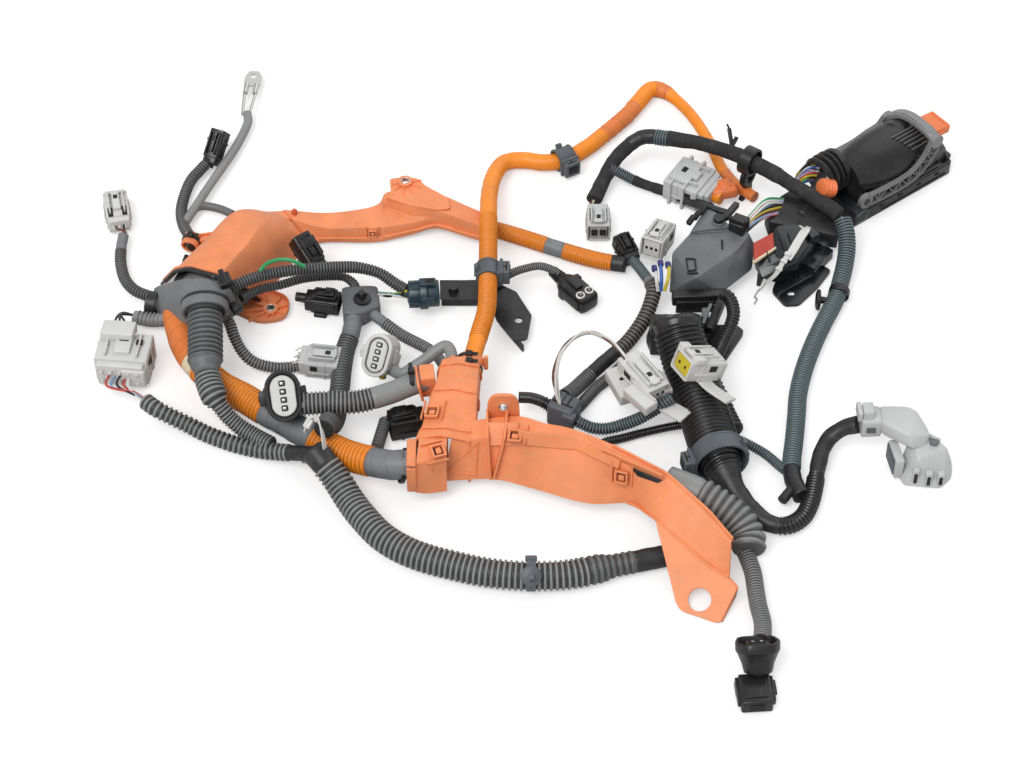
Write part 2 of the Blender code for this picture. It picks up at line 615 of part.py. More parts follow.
def make_rear_guard():
    """Domed hood at the hub, a long lipped arm, a flared bolt fin, a ribbed eyelet and a clip arm."""
    hood = section_rows([
        [(-.322, .128, .001), (-.303, .100, .046), (-.291, .094, .056), (-.264, .078, .060),
         (-.244, .092, .030), (-.232, .104, .001)],
        [(-.300, .168, .001), (-.281, .136, .048), (-.270, .131, .058), (-.240, .118, .062),
         (-.222, .130, .034), (-.212, .140, .001)],
        [(-.270, .206, .001), (-.258, .178, .044), (-.248, .170, .052), (-.226, .158, .054),
         (-.206, .164, .030), (-.196, .168, .001)],
        [(-.236, .214, .001), (-.228, .200, .022), (-.220, .192, .026), (-.206, .182, .026),
         (-.198, .174, .016), (-.186, .172, .001)]])
    arm = section_rows([
        [(-.222, .212, .001), (-.216, .202, .022), (-.213, .197, .0235), (-.2095, .1915, .024),
         (-.206, .186, .024), (-.2, .178, .006), (-.196, .172, .0055), (-.195, .171, .001)],
        [(-.1778, .2059, .001), (-.1768, .2019, .018), (-.1765, .1955, .0184), (-.1762, .1886, .0186),
         (-.1759, .1822, .017), (-.1763, .1795, .0075), (-.1762, .1765, .007), (-.1765, .177, .003)],
        [(-.1421, .2114, .001), (-.1411, .2074, .018), (-.1408, .1994, .0186), (-.1404, .1911, .0188),
         (-.1402, .1822, .017), (-.1405, .1795, .0075), (-.1404, .1763, .007), (-.1405, .1768, .003)],
        [(-.1272, .2189, .001), (-.1262, .2149, .018), (-.1259, .2075, .0186), (-.1256, .1992, .0188),
         (-.1251, .1825, .017), (-.1255, .1805, .0075), (-.1254, .1774, .007), (-.1255, .1779, .003)],
        [(-.1195, .2245, .001), (-.1185, .2205, .027), (-.1181, .211, .0275), (-.118, .2085, .0186),
         (-.1176, .1835, .017), (-.1179, .1815, .008), (-.1178, .1784, .0075), (-.118, .179, .0035)],
        [(-.0958, .2262, .001), (-.0948, .2222, .028), (-.0942, .2, .0285), (-.0943, .197, .0184),
         (-.0942, .189, .017), (-.0944, .1876, .0095), (-.0944, .1848, .009), (-.0945, .1854, .005)],
        [(-.0721, .2232, .001), (-.0711, .2192, .027), (-.0705, .1945, .0275), (-.0706, .1935, .02),
         (-.0708, .1932, .0165), (-.0709, .1928, .012), (-.0708, .1902, .0112), (-.0709, .1908, .0075)],
        [(-.0406, .2068, .001), (-.0396, .2028, .0245), (-.0394, .1818, .025), (-.0395, .1812, .019),
         (-.0395, .1808, .016), (-.0395, .1802, .012), (-.0395, .1777, .0112), (-.0396, .1783, .0075)],
        [(-.0198, .196, .001), (-.0188, .192, .0225), (-.0187, .1745, .023), (-.0188, .1738, .018),
         (-.0188, .1733, .0155), (-.0188, .1726, .012), (-.0188, .1699, .0112), (-.0188, .1705, .0075)]])
    guard = Piece("rear_guard", sheet(hood, GUARD_WALL), GUARD_ORANGE)
    guard.add(sheet(arm, GUARD_WALL))
    # Flared fin with its star boss
    boss_x, boss_y, boss_z = -.1013, .2307, .029
    fin = [(-.1165, .2365), (-.1143, .2160), (-.1195, .2110), (-.0942, .1998), (-.0705, .1942), (-.0394, .1820),
           (-.0396, .2028), (-.0681, .2160), (-.0748, .2215), (-.0825, .2275), (-.0890, .2370), (-.1024, .2390)]
    guard.add(plate(fin, GUARD_WALL, .006), (0, 0, boss_z - GUARD_WALL / 2 + .0002))
    star_boss(guard, boss_x, boss_y, boss_z - .0005, BOLT_HOLE / 2 + .003, .015, 8)
    guard.cut(rod(BOLT_HOLE / 2, .03), (boss_x, boss_y, boss_z))
    # Ribbed eyelet tab, raised on its own rim
    eye_x, eye_y, eye_z = -.222, .087, .004
    tab = [(-.262, .110), (-.240, .122), (-.205, .100), (-.208, .076), (-.232, .072), (-.262, .090)]
    guard.add(plate(tab, .003, .008), (0, 0, eye_z - .0015))
    guard.add(rod(BOLT_HOLE / 2 + .003, .006), (eye_x, eye_y, eye_z))
    for angle in (20, 90, 150, 215, 290, 340):
        turn = math.radians(angle)
        guard.add(box((.013, .0016, .0056)),
                  (eye_x + .0075 * math.cos(turn), eye_y + .0075 * math.sin(turn), eye_z),
                  (0, 0, angle))
    guard.cut(rod(BOLT_HOLE / 2, .03), (eye_x, eye_y, eye_z))
    # Clip arm that holds the rear left conduits, and its tie band
    guard.add(box((.032, .006, .010), .001), (-.283, .170, .012), (0, 0, 12))
    guard.add(rod(SMALL_RADIUS + .0028, .012, "Y"), (-.3005, .168, .0125), (8, 0, -15))
    # Small latch on the lip, nub on the arm
    guard.add(box((.012, .004, .007), .0008), (-.133, .1808, .0125), (0, 0, 3))
    guard.add(rod(.0028, .006), (-.2050, .1960, .0235))
    guard.add(box((.010, .004, .008), .0008), (-.040, .1800, .0160), (0, 0, -20))
    guard.seat("rear_left_conduit", "ring_lead_sleeve", "hv_rear_cable", "crossing_conduit",
               "second_crossing", "hv_lower_cable", "hv_upper_cable")
    guard.stand_on_floor()


def make_front_guard():
    """Long trough with a sloping face and a lip, latches, a bolt tab, a cable neck and a holed foot."""
    trough = section_rows([
        [(-.060, -.124, .012), (-.052, -.108, .048), (-.044, -.090, .052), (-.042, -.080, .034)],
        [(-.016, -.122, .012), (-.005, -.106, .050), (.003, -.085, .054), (.005, -.077, .034)],
        [(.018, -.134, .014), (.024, -.111, .051), (.028, -.094, .055), (.030, -.085, .035)],
        [(.064, -.152, .016), (.057, -.116, .052), (.053, -.102, .056), (.055, -.093, .036)],
        [(.103, -.158, .022), (.092, -.139, .054), (.089, -.123, .058), (.091, -.114, .038)],
        [(.122, -.187, .034), (.134, -.166, .058), (.132, -.156, .060), (.134, -.148, .044)],
        [(.167, -.2285, .022), (.165, -.197, .050), (.166, -.190, .051), (.168, -.184, .040)],
        [(.181, -.237, .021), (.182, -.218, .044), (.184, -.214, .045), (.186, -.210, .038)]])
    guard = Piece("front_guard", sheet(trough, GUARD_WALL), GUARD_ORANGE)
    # Foot plate below the fold with the big round hole, and its right cheek
    foot = [(.1210, -.1860, .0350), (.1673, -.2275, .0230), (.1811, -.2366, .0208), (.1884, -.2449, .0179),
            (.1739, -.2686, .0014), (.1698, -.2688, .0014), (.1412, -.2564, .0014), (.1372, -.2507, .0036)]
    facing = Vector((-.208, -.477, .854))
    guard.add(slab(foot, facing, .0028))
    guard.cut(rod(FOOT_HOLE / 2, .03, sides=24), (.1570, -.2490, .0075), (29, -12, 0))
    cheek = [(.1811, -.2366, .0208), (.1739, -.2680, .0020), (.1880, -.2400, .0010)]
    guard.add(slab(cheek, Vector((.8, -.5, .1)), .0024))
    # Upright bolt tab with two gussets
    tab_x, tab_y, tab_z = -.0075, -.0815, .062
    tab = [(-.013, -.014), (.013, -.014), (.0125, .008), (.006, .014), (-.006, .014), (-.0125, .008)]
    guard.add(plate(tab, .0035, .004), (tab_x, tab_y, tab_z), (90, 0, 0))
    guard.cut(rod(BOLT_HOLE / 2, .03, "Y"), (tab_x, tab_y, tab_z + .001))
    for side in (-.0115, .0115):
        guard.add(box((.0022, .030, .030)), (tab_x + side, tab_y - .014, tab_z - .027), (-38, 0, 0))
    # Cable neck on the far side, with its collar for the upper cable and the sleeve
    neck = section_rows([
        [(-.066, -.022, .030), (-.066, -.026, .056), (-.046, -.028, .060), (-.026, -.030, .056), (-.026, -.026, .030)],
        [(-.072, -.048, .024), (-.070, -.052, .056), (-.050, -.054, .060), (-.030, -.056, .056), (-.030, -.052, .024)],
        [(-.076, -.082, .012), (-.074, -.084, .050), (-.054, -.088, .056), (-.032, -.090, .050), (-.034, -.086, .012)],
        [(-.090, -.118, .004), (-.084, -.108, .050), (-.062, -.108, .054), (-.036, -.110, .048), (-.036, -.120, .006)]])
    guard.add(sheet(neck, GUARD_WALL))
    guard.add(box((.034, .010, .032), .0015), (-.0405, -.0245, .045), (0, 0, -4))
    # Left mouth for the thick cable, with a rim
    mouth = section_rows([
        [(-.094, -.140, .018), (-.094, -.136, .050), (-.092, -.118, .053), (-.092, -.104, .050), (-.092, -.102, .018)],
        [(-.056, -.138, .012), (-.056, -.130, .048), (-.056, -.114, .051), (-.056, -.098, .048), (-.056, -.096, .012)]])
    guard.add(sheet(mouth, GUARD_WALL))
    guard.add(box((.008, .038, .036), .0015), (-.090, -.1215, .034), (0, 0, 2))
    # Ear that carries the oval connector's lead and its tie
    guard.add(box((.012, .024, .026), .0015), (-.074, -.034, .043), (0, 0, 8))
    # Latches on the face and the lip, and the loop latch on the neck
    for x, y, z, turn in ((.002, -.1090, .0485, 2), (.096, -.1420, .0500, -16), (-.066, -.116, .0535, 4)):
        guard.add(box((.013, .009, .008), .0012), (x, y, z), (48, 0, turn))
    guard.add(box((.012, .020, .004), .001), (-.064, -.066, .0575), (6, 0, 4))
    guard.seat("hv_upper_cable", "smooth_sleeve", "hv_lower_cable", "oval_lead", "right_leg",
               "grey_end", "black_cross_conduit", "black_thin_conduit", "main_loom", "pigtail")
    guard.stand_on_floor()


def make_left_hub():
    """Grey taped boot where the left branches leave the rear guard, with its clip."""
    hub = Piece("left_hub", hull([
        (-.332, .100, .003), (-.330, .104, .020), (-.322, .072, .003), (-.318, .074, .024),
        (-.298, .078, .056), (-.292, .058, .060), (-.262, .048, .064), (-.252, .062, .060),
        (-.248, .070, .030), (-.250, .058, .024), (-.286, .044, .030), (-.300, .052, .026)]), CONDUIT_GREY)
    hub.add_in_frame(rod(BRANCH_RADIUS + .003, .010, "Y", sides=20), (-.2745, .041, .0575), (14, 0, 4))
    hub.add_in_frame(box((.012, .014, .006), .001), (-.266, .064, .064), (0, -8, 20))
    hub.add_in_frame(tube_mesh("crossing_conduit"))
    hub.add_in_frame(tube_mesh("hub_lower_conduit"))
    hub.seat("hv_lower_cable", "small_left_conduit", "left_loom", "second_crossing")


# Connectors
def plug(name, finish, size, at, turn, ways=(2, 1), collar=.8, latch=True, mating_depth=.006, ribs=True):
    """Socket housing along its own Y: mating face at +Y, wire collar at -Y, latch on top."""
    wide, long, high = size
    piece = Piece(name, box(size, .0011), finish, at, turn)
    inner = (wide - 2 * PLUG_WALL, high - 2 * PLUG_WALL)
    piece.cut(box((inner[0], mating_depth * 2, inner[1])), (0, long / 2, 0))
    core = (inner[0] - 2 * PLUG_MOAT, inner[1] - 2 * PLUG_MOAT)
    piece.add(box((core[0], mating_depth, core[1]), .0006), (0, long / 2 - mating_depth / 2 - .0008, 0))
    columns, rows = ways
    for column in range(columns):
        for row in range(rows):
            x = (column - (columns - 1) / 2) * core[0] / columns
            z = (row - (rows - 1) / 2) * core[1] / rows
            piece.cut(box((PIN_SLOT, .008, PIN_SLOT)), (x, long / 2, z))
    if latch:
        piece.add(box((wide * .34, long * .62, .0018), .0005), (0, long * .12, high / 2 + .0022))
        piece.add(box((wide * .34, long * .16, .0036)), (0, -long * .12, high / 2 + .0008))
    if ribs:
        for side in (-1, 1):
            piece.add(box((.0014, long * .7, .0022)), (side * (wide / 2 + .0004), -long * .08, 0))
    if collar:
        piece.add(box((wide * collar, .006, high * collar), .0010), (0, -long / 2 - .0022, 0))
    return piece


def oval(width, height, depth, sides=20):
    """Flat-sided oval prism along Y."""
    radius = width / 2
    straight = height / 2 - radius
    ring = []
    for k in range(sides):
        angle = 2 * math.pi * k / sides
        lift = straight if math.sin(angle) >= 0 else -straight
        ring.append((radius * math.cos(angle), radius * math.sin(angle) + lift))
    return loft([[(x, y, z) for x, z in ring] for y in (depth / 2, -depth / 2)])


def oval_plug(name, finish, at, turn, width, height, depth, pins):
    """Oval sealed connector: rim round a recessed insert with a row of terminal mouths."""
    piece = Piece(name, oval(width, height, depth), finish, at, turn)
    wall = .0026
    piece.cut(oval(width - 2 * wall, height - 2 * wall, .010), (0, depth / 2, 0))
    piece.add(oval(width - 2 * wall - 2 * PLUG_MOAT, height - 2 * wall - 2 * PLUG_MOAT, .006),
              (0, depth / 2 - .0034, 0))
    pitch = (height - width + width * .5) / pins
    for k in range(pins):
        piece.cut(box((.0034, .010, .0034)), (0, depth / 2, (k - (pins - 1) / 2) * pitch))
    piece.add(box((width + .003, depth * .3, height * .4), .001), (0, -depth * .12, 0))
    return piece


def make_left_connectors():
    three_way = plug("three_way_connector", PLUG_WHITE, (.023, .034, .017), (-.3755, .214, .0100),
                     (0, 0, 12), ways=(3, 1))
    three_way.cut(box((.005, .012, .004)), (-.006, -.013, .009))
    three_way.cut(box((.005, .012, .004)), (.006, -.013, .009))
    three_way.add_in_frame(rod(.0032, .022, "Y", sides=10), (-.3686, .1865, .010), (0, 0, 19.5))
    three_way.seat("small_left_conduit")
    two_way = plug("two_way_connector", PLUG_BLACK, (.015, .028, .018), (-.2862, .2965, .0175),
                   (38, 0, -22), ways=(2, 1))
    two_way.seat("rear_left_conduit", "ring_lead_sleeve")
    terminals = Piece("ring_terminals", plate(
        [(-.0085, -.010), (.0085, -.010), (.0085, .004), (.005, .012), (-.005, .012), (-.0085, .004)],
        .0012, .003, holes=[(0, .004, .0031)]), STEEL, (-.2585, .402, .0080), (0, 0, -4))
    for side in (-1, 1):
        terminals.add(rod(.0026, .014, "Y", sides=12), (side * .0048, -.0155, .0012))
        terminals.add(box((.0034, .010, .0012)), (side * .0048, -.008, 0))
        terminals.add(rod(.0016, .032, "Y", sides=8), (side * .0044, -.037, .0008), (0, 0, -side * 4))
    terminals.seat("ring_lead_sleeve")


def make_lower_left_connectors():
    large = plug("large_white_connector", PLUG_WHITE, (.048, .034, .030), (-.348, .018, .0155),
                 (0, 0, -6), ways=(5, 2), mating_depth=.008)
    large.add(box((.030, .020, .012), .0012), (-.007, .020, .017), (-8, 0, 0))
    large.cut(box((.008, .0028, .012)), (.024, -.002, .002))
    large.cut(box((.008, .0028, .012)), (.024, .006, .002))
    large.add(rod(.0032, .034, "Y", sides=10), (.026, -.036, 0), (-2, 0, 14))
    large.add(hull([(.006, -.016, .008), (.006, -.016, -.008), (.024, -.016, -.008), (.024, -.016, .008),
                    (.022, -.030, .004), (.022, -.030, -.004), (.028, -.030, -.004), (.028, -.030, .004)]))
    large.seat("lower_left_conduit", "hub_lower_conduit")
    oval_black = oval_plug("oval_black_connector", PLUG_BLACK, (-.200, -.056, .046), (50, 0, 10 + 180),
                           .030, .044, .026, 4)
    oval_black.add(rod(OVAL_LEAD_RADIUS + .0025, .014, "X"), (-.014, -.008, -.004), (0, -8, 0))
    oval_black.seat("oval_lead", "hv_lower_cable")
    clear = plug("clear_left_connector", PLUG_PALE, (.026, .030, .018), (-.170, .018, .0100),
                 (0, 0, -98), ways=(4, 1))
    clear.seat("hub_lower_conduit", "left_leg")
    oval_white = oval_plug("oval_white_connector", PLUG_WHITE, (-.116, .004, .034), (44, 0, -22 + 180),
                           .024, .038, .030, 4)
    oval_white.add(box((.014, .010, .014), .001), (-.004, -.018, -.004))
    oval_white.seat("smooth_sleeve", "right_leg", "left_leg")


def make_round_connector():
    """Two mated round halves: a ribbed plug and the wider socket ring."""
    profile = [(0, .0150), (.0085, .0150), (.0128, .0142), (.0128, .0040), (.0142, .0030), (.0142, -.0040),
               (.0115, -.0050), (.0115, -.0130), (.0085, -.0140), (0, -.0140)]
    piece = Piece("round_connector", turned(profile, "X"), PLUG_DARK, (-.0812, .093, .0205), (0, 0, 4))
    for k in range(8):
        angle = 2 * math.pi * k / 8
        piece.add(box((.012, .0022, .0022)),
                  (-.0085, .0118 * math.cos(angle), .0118 * math.sin(angle)), (math.degrees(angle), 0, 0))
    piece.add(box((.016, .008, .004), .0008), (.004, 0, .0140))
    piece.seat("crossing_conduit")


def make_plug_pair():
    upper = plug("rear_plug", PLUG_BLACK, (.018, .030, .020), (-.190, .137, .0320), (30, 0, 38), ways=(2, 1))
    upper.add(box((.018, .012, .006), .001), (.004, -.006, -.010))
    upper.add(rod(.0042, .020, "Y", sides=12), (-.002, -.026, 0))
    upper.seat("crossing_conduit", "second_crossing")
    lower = plug("lower_plug", PLUG_BLACK, (.018, .026, .016), (-.1710, .092, .0105), (0, 0, -100), ways=(2, 1))
    lower.add(box((.012, .010, .010), .001), (.006, -.018, 0))
    lower.seat("crossing_conduit", "second_crossing")


def make_bracket():
    """Folded steel strip: a flat seat, a bent leg and an ear with a bolt hole."""
    seat_z = .0088
    piece = Piece("folded_bracket", plate(
        [(-.0665, .096), (-.0665, .120), (-.020, .122), (.004, .106), (.018, .076), (.014, .046),
         (.002, .044), (-.014, .070), (-.022, .096)], SHEET, .004,
        holes=[(.006, .070, .0036)]), PLUG_BLACK, (0, 0, seat_z))
    piece.add(box((.048, SHEET, .008)), (-.043, .1205, seat_z - .0088 - .0035))
    piece.add(box((.044, SHEET, .008)), (-.043, .0968, -.0035))
    piece.add(box((SHEET, .040, .0080)), (-.0005, .0555, -.0035), (0, 0, 32))
    piece.add(rod(.0046, .006), (-.054, .108, .003))
    piece.seat("two_pin_lead")


def make_two_pin_connector():
    piece = Piece("two_pin_connector", box((.022, .040, .018), .003, 2), PLUG_BLACK,
                  (.0600, .1035, .0105), (0, 0, 39))
    piece.add(rod(.0065, .020, "Y"), (0, .024, .001))
    piece.add(box((.026, .008, .020), .002), (0, .008, 0))
    for side in (-1, 1):
        piece.cut(rod(.0045, .006), (side * .0052, -.011, .009))
        piece.add(rod(.0036, .005), (side * .0052, -.011, .0066))
        piece.cut(box((.0012, .0034, .004)), (side * .0052, -.011, .0095))
    piece.add(box((.008, .016, .003), .0008), (0, .004, .0102))
    piece.add_in_frame(tube_mesh("two_pin_lead"))


def make_small_socket():
    piece = plug("small_black_connector", PLUG_BLACK, (.020, .026, .022), (-.0955, -.059, .0140),
                 (0, 0, 104), ways=(2, 1))
    piece.add(rod(.0035, .024, "Y", sides=10), (-.006, -.026, -.008), (0, 0, -24))
    piece.seat("hv_lower_cable", "oval_lead")


def make_front_connector():
    """Shrouded connector: flared three-sided rim, seal step, insert and the lock housing below."""
    def rim(scale, y):
        outline = [(-.016, -.004), (-.012, .011), (.012, .011), (.016, -.004), (.010, -.015), (-.010, -.015)]
        return [(x * scale, y, z * scale) for x, z in rounded(outline, .005)]
    piece = Piece("front_connector", loft([rim(1.22, .012), rim(1.18, .004), rim(.92, -.006), rim(.8, -.014)]),
                  PLUG_BLACK, (.200, -.3155, .0215), (58, 0, 4))
    piece.node.rotation_euler = degrees((128, 0, 184))
    piece.cut(loft([rim(1.02, .022), rim(1.0, .000)]))
    piece.add(box((.0250, .014, .0170), .002), (0, .003, -.001))
    piece.cut(box((.0150, .012, .0036)), (0, .0085, -.001))
    piece.add(rod(PIGTAIL_RADIUS + .002, .014, "Y"), (0, -.012, 0))
    piece.add_in_frame(box((.026, .030, .014), .002), (.1975, -.344, .0072), (0, 0, 4))
    piece.add_in_frame(box((.034, .014, .0035), .001), (.1985, -.336, .0020), (0, 0, 4))
    piece.seat("pigtail")


def make_right_connector():
    """White elbow boot with a strap saddle, a hooded body and a pair of terminal ears."""
    piece = Piece("elbow_connector", box((.018, .020, .020), .002), PLUG_PALE, (.312, -.0755, .0350), (0, 0, 4))
    piece.add_in_frame(hull([
        (.320, -.066, .030), (.320, -.066, .046), (.320, -.086, .030), (.320, -.086, .046),
        (.352, -.074, .040), (.350, -.068, .048), (.358, -.100, .028), (.364, -.094, .040),
        (.346, -.104, .030), (.344, -.100, .044)]))
    piece.add_in_frame(hull([
        (.340, -.092, .002), (.336, -.110, .000), (.340, -.120, .000), (.372, -.124, .000),
        (.384, -.112, .000), (.384, -.098, .008), (.366, -.086, .030), (.346, -.090, .034),
        (.378, -.100, .028), (.352, -.112, .026)]))
    piece.add_in_frame(box((.008, .026, .022), .001), (.334, -.100, .014), (0, 0, 10))
    piece.add_in_frame(box((.010, .012, .020), .0015), (.309, -.0755, .044), (0, 0, 4))
    piece.cut_in_frame(box((.0036, .020, .014)), (.372, -.118, .014), (0, 0, 0))
    piece.cut_in_frame(box((.0036, .020, .014)), (.360, -.121, .012), (0, 0, 0))
    piece.seat("black_trunk")


def make_rear_connectors():
    small = plug("small_clear_connector", PLUG_PALE, (.022, .026, .020), (.0815, .1935, .0115),
                 (0, 0, 180), ways=(2, 1))
    small.add(rod(.0036, .034, "Y", sides=10), (.003, -.028, -.003), (0, 0, 0))
    small.seat("foam_loom")
    large = plug("large_clear_connector", PLUG_PALE, (.040, .036, .024), (.1700, .2465, .0130),
                 (0, 0, 58), ways=(3, 1), mating_depth=.009)
    large.seat("foam_branch", "hv_upper_cable", "foam_loom")
    white = plug("white_block_connector", PLUG_WHITE, (.022, .034, .022), (.1356, .1590, .0235),
                 (12, 0, -24 + 180), ways=(3, 1))
    white.seat("centre_conduit", "hv_rear_cable")
    black = plug("small_block_connector", PLUG_BLACK, (.017, .022, .016), (.1060, .1600, .0135),
                 (10, 0, 24), ways=(2, 1))
    black.seat("centre_conduit", "hv_rear_cable")


def make_trunk_connectors():
    """Pale connectors that lie beside and on the black trunk, fed by the arch of wires."""
    group = plug("white_connector_group", PLUG_WHITE, (.024, .044, .020), (.1165, -.0345, .0440),
                 (0, 0, -148), ways=(3, 1))
    group.add(box((.022, .036, .014), .001), (.012, -.014, -.012), (0, 0, -10))
    group.add(box((.014, .030, .010), .001), (.018, .020, .004), (0, 0, 8))
    group.seat("wire_arch", "black_cross_conduit", "black_trunk", "centre_conduit")
    yellow = plug("yellow_insert_connector", PLUG_WHITE, (.026, .036, .020), (.1620, -.0330, .0665),
                  (-16, 12, 118), ways=(2, 2))
    yellow.add(box((.020, .034, .005), .0015), (-.004, -.030, -.006), (0, 0, 22))
    yellow.seat("black_trunk", "black_cross_conduit")
    clip = Piece("wire_clip", box((.026, .022, .027), .003, 2), CLIP_GREY, (.046, -.045, .0135), (0, 0, -28))
    clip.add(box((.012, .008, .006), .001), (.010, -.010, .008))
    clip.seat("black_cross_conduit", "centre_conduit", "centre_second_conduit", "wire_arch")


# Lever connector
def make_multiway_connector():
    """Housing, slide plate, truss lever, lock tab and bellows boot, all set on one yawed empty."""
    yaw = 37
    length, depth, height = .120, .060, .056
    base_high = .018
    boot_y, boot_z = .010, .042
    seat = bpy.data.objects.new("multiway_seat", None)
    seat.location = (.356, .262, 0)
    seat.rotation_euler = degrees((0, 0, yaw))
    seat.parent = frame
    parts.objects.link(seat)

    def on_seat(piece):
        piece.node.parent = seat
        return piece

    def dome(x, wide, high, flat=0.0):
        """Arched section: flat bottom, rounded shoulders, top lowered by the flat share."""
        ring = [(x, wide / 2, base_high), (x, -wide / 2, base_high)]
        for k in range(9):
            angle = math.pi * k / 8
            lift = math.sin(angle) ** 0.6 * (high - base_high - .010)
            ring.append((x, -wide / 2 * math.cos(angle), base_high + .010 + lift * (1 - flat)))
        return ring

    base_top = base_high - CLEARANCE
    base = on_seat(Piece("slide_plate", box((length + .004, depth + .002, base_top)), PLUG_BLACK,
                         (0, 0, base_top / 2)))
    base.cut(box((length - .030, .0016, .004)), (.006, -depth / 2 - .001, -.002))
    for x in (-.052, .050):
        base.cut(box((.008, .0016, .008)), (x, -depth / 2 - .001, 0))
    base.add(box((.012, .012, base_top), .001), (-length / 2 - .006, depth / 4, 0))

    housing = on_seat(Piece("multiway_housing", loft([
        dome(-.052, .046, height), dome(-.038, .052, height * 1.02),
        dome(-.012, depth, height * 1.08), dome(.028, depth, height * 1.08), dome(.046, depth * .96, height * .94),
        dome(length / 2, depth * .86, height * .66)]), PLUG_BLACK))
    for k in range(5):
        housing.cut(box((.034, .0022, .004)), (.020, -.008 - .0042 * k, height * 1.08 - .0012 - .0006 * k * k),
                    (0, 0, 3))
    housing.add(rod(.019, .006, "X", sides=20), (-.0530, boot_y, boot_z))

    boot = on_seat(Piece("bellows_boot", turned(bellows_profile(.0205, .0170, .020, 3), "X", 20), PLUG_BLACK,
                         (-.0663, boot_y, boot_z)))

    # Truss lever: two webbed bands joined by a crossbar at the raised end
    side_y = depth / 2 + LEVER_THICKNESS / 2 + CLEARANCE
    centre = [(-.054, .010), (-.034, .0075), (-.010, .0070), (.008, .010), (.023, .024), (.033, .043)]
    lever = on_seat(Piece("truss_lever", truss_band(centre), LEVER_GREY,
                          (0, -side_y, base_high + .004), (90, 0, 0)))
    lever.add(truss_band(centre), (0, 0, -2 * side_y))
    bar = (.012, .010)
    bar_at = (.033, 0, base_high + .004 + .0465)
    lever.add(box((*bar, 2 * side_y + LEVER_THICKNESS), .001), (.033, .0465, -side_y), (0, 0, 60))
    tab = on_seat(Piece("lock_tab", box((.0246, .026, .010), .002), GUARD_ORANGE,
                        (.0450, -.0120, .0690), (0, 4, 0)))
    bar_room = [size + 2 * CLEARANCE for size in bar]
    tab.helper(box((bar_room[0], 2 * side_y, bar_room[1])), bar_at, (0, -60, 0), "DIFFERENCE", seat)
    for piece in (base, housing, boot, lever):
        piece.seat("foam_loom", "right_hose", "wire_neck")


def bellows_profile(outer, inner, length, folds):
    profile = [(0, length / 2), (inner, length / 2)]
    pitch = length / folds
    for fold in range(folds):
        top = length / 2 - fold * pitch
        profile += [(outer, top - pitch * .3), (outer, top - pitch * .6), (inner, top - pitch * .9)]
    return profile + [(inner, -length / 2), (0, -length / 2)]


def band_sides(centre, width):
    """Both edges of a band of the given width along a polyline in XY."""
    left, right = [], []
    for k, point in enumerate(centre):
        before = Vector(centre[max(0, k - 1)])
        after = Vector(centre[min(len(centre) - 1, k + 1)])
        run = (after - before).normalized()
        normal = Vector((-run.y, run.x))
        left.append(Vector(point) + normal * width / 2)
        right.append(Vector(point) - normal * width / 2)
    return left, right


def truss_band(centre):
    """Plate along the centre line, opened into triangles between diagonal webs."""
    left, right = band_sides(centre, LEVER_BAND)
    outline = [tuple(p) for p in right] + [tuple(p) for p in reversed(left)]
    curve_holes = []
    inner_left, inner_right = band_sides(centre, LEVER_BAND - 2 * LEVER_WEB)
    for k in range(len(centre) - 1):
        for corners in ((inner_left[k], inner_left[k + 1], inner_right[k]),
                        (inner_right[k], inner_right[k + 1], inner_left[k + 1])):
            middle = sum(corners, Vector((0, 0))) / 3
            hole = [middle + (corner - middle) * .74 for corner in corners]
            curve_holes.append([tuple(p) for p in hole])
    return plate_with_cuts(outline, curve_holes, LEVER_THICKNESS)


def plate_with_cuts(outline, openings, thickness):
    curve = bpy.data.curves.new("band", "CURVE")
    curve.dimensions = "2D"
    curve.fill_mode = "BOTH"
    curve.extrude = thickness / 2
    for ring in [rounded(outline, .002)] + list(openings):
        spline = curve.splines.new("POLY")
        spline.points.add(len(ring) - 1)
        for point, (x, y) in zip(spline.points, ring):
            point.co = (x, y, 0, 1)
        spline.use_cyclic_u = True
    guide = bpy.data.objects.new("band", curve)
    cutters.objects.link(guide)
    mesh = evaluated_mesh(guide)
    bpy.data.objects.remove(guide)
    return mesh


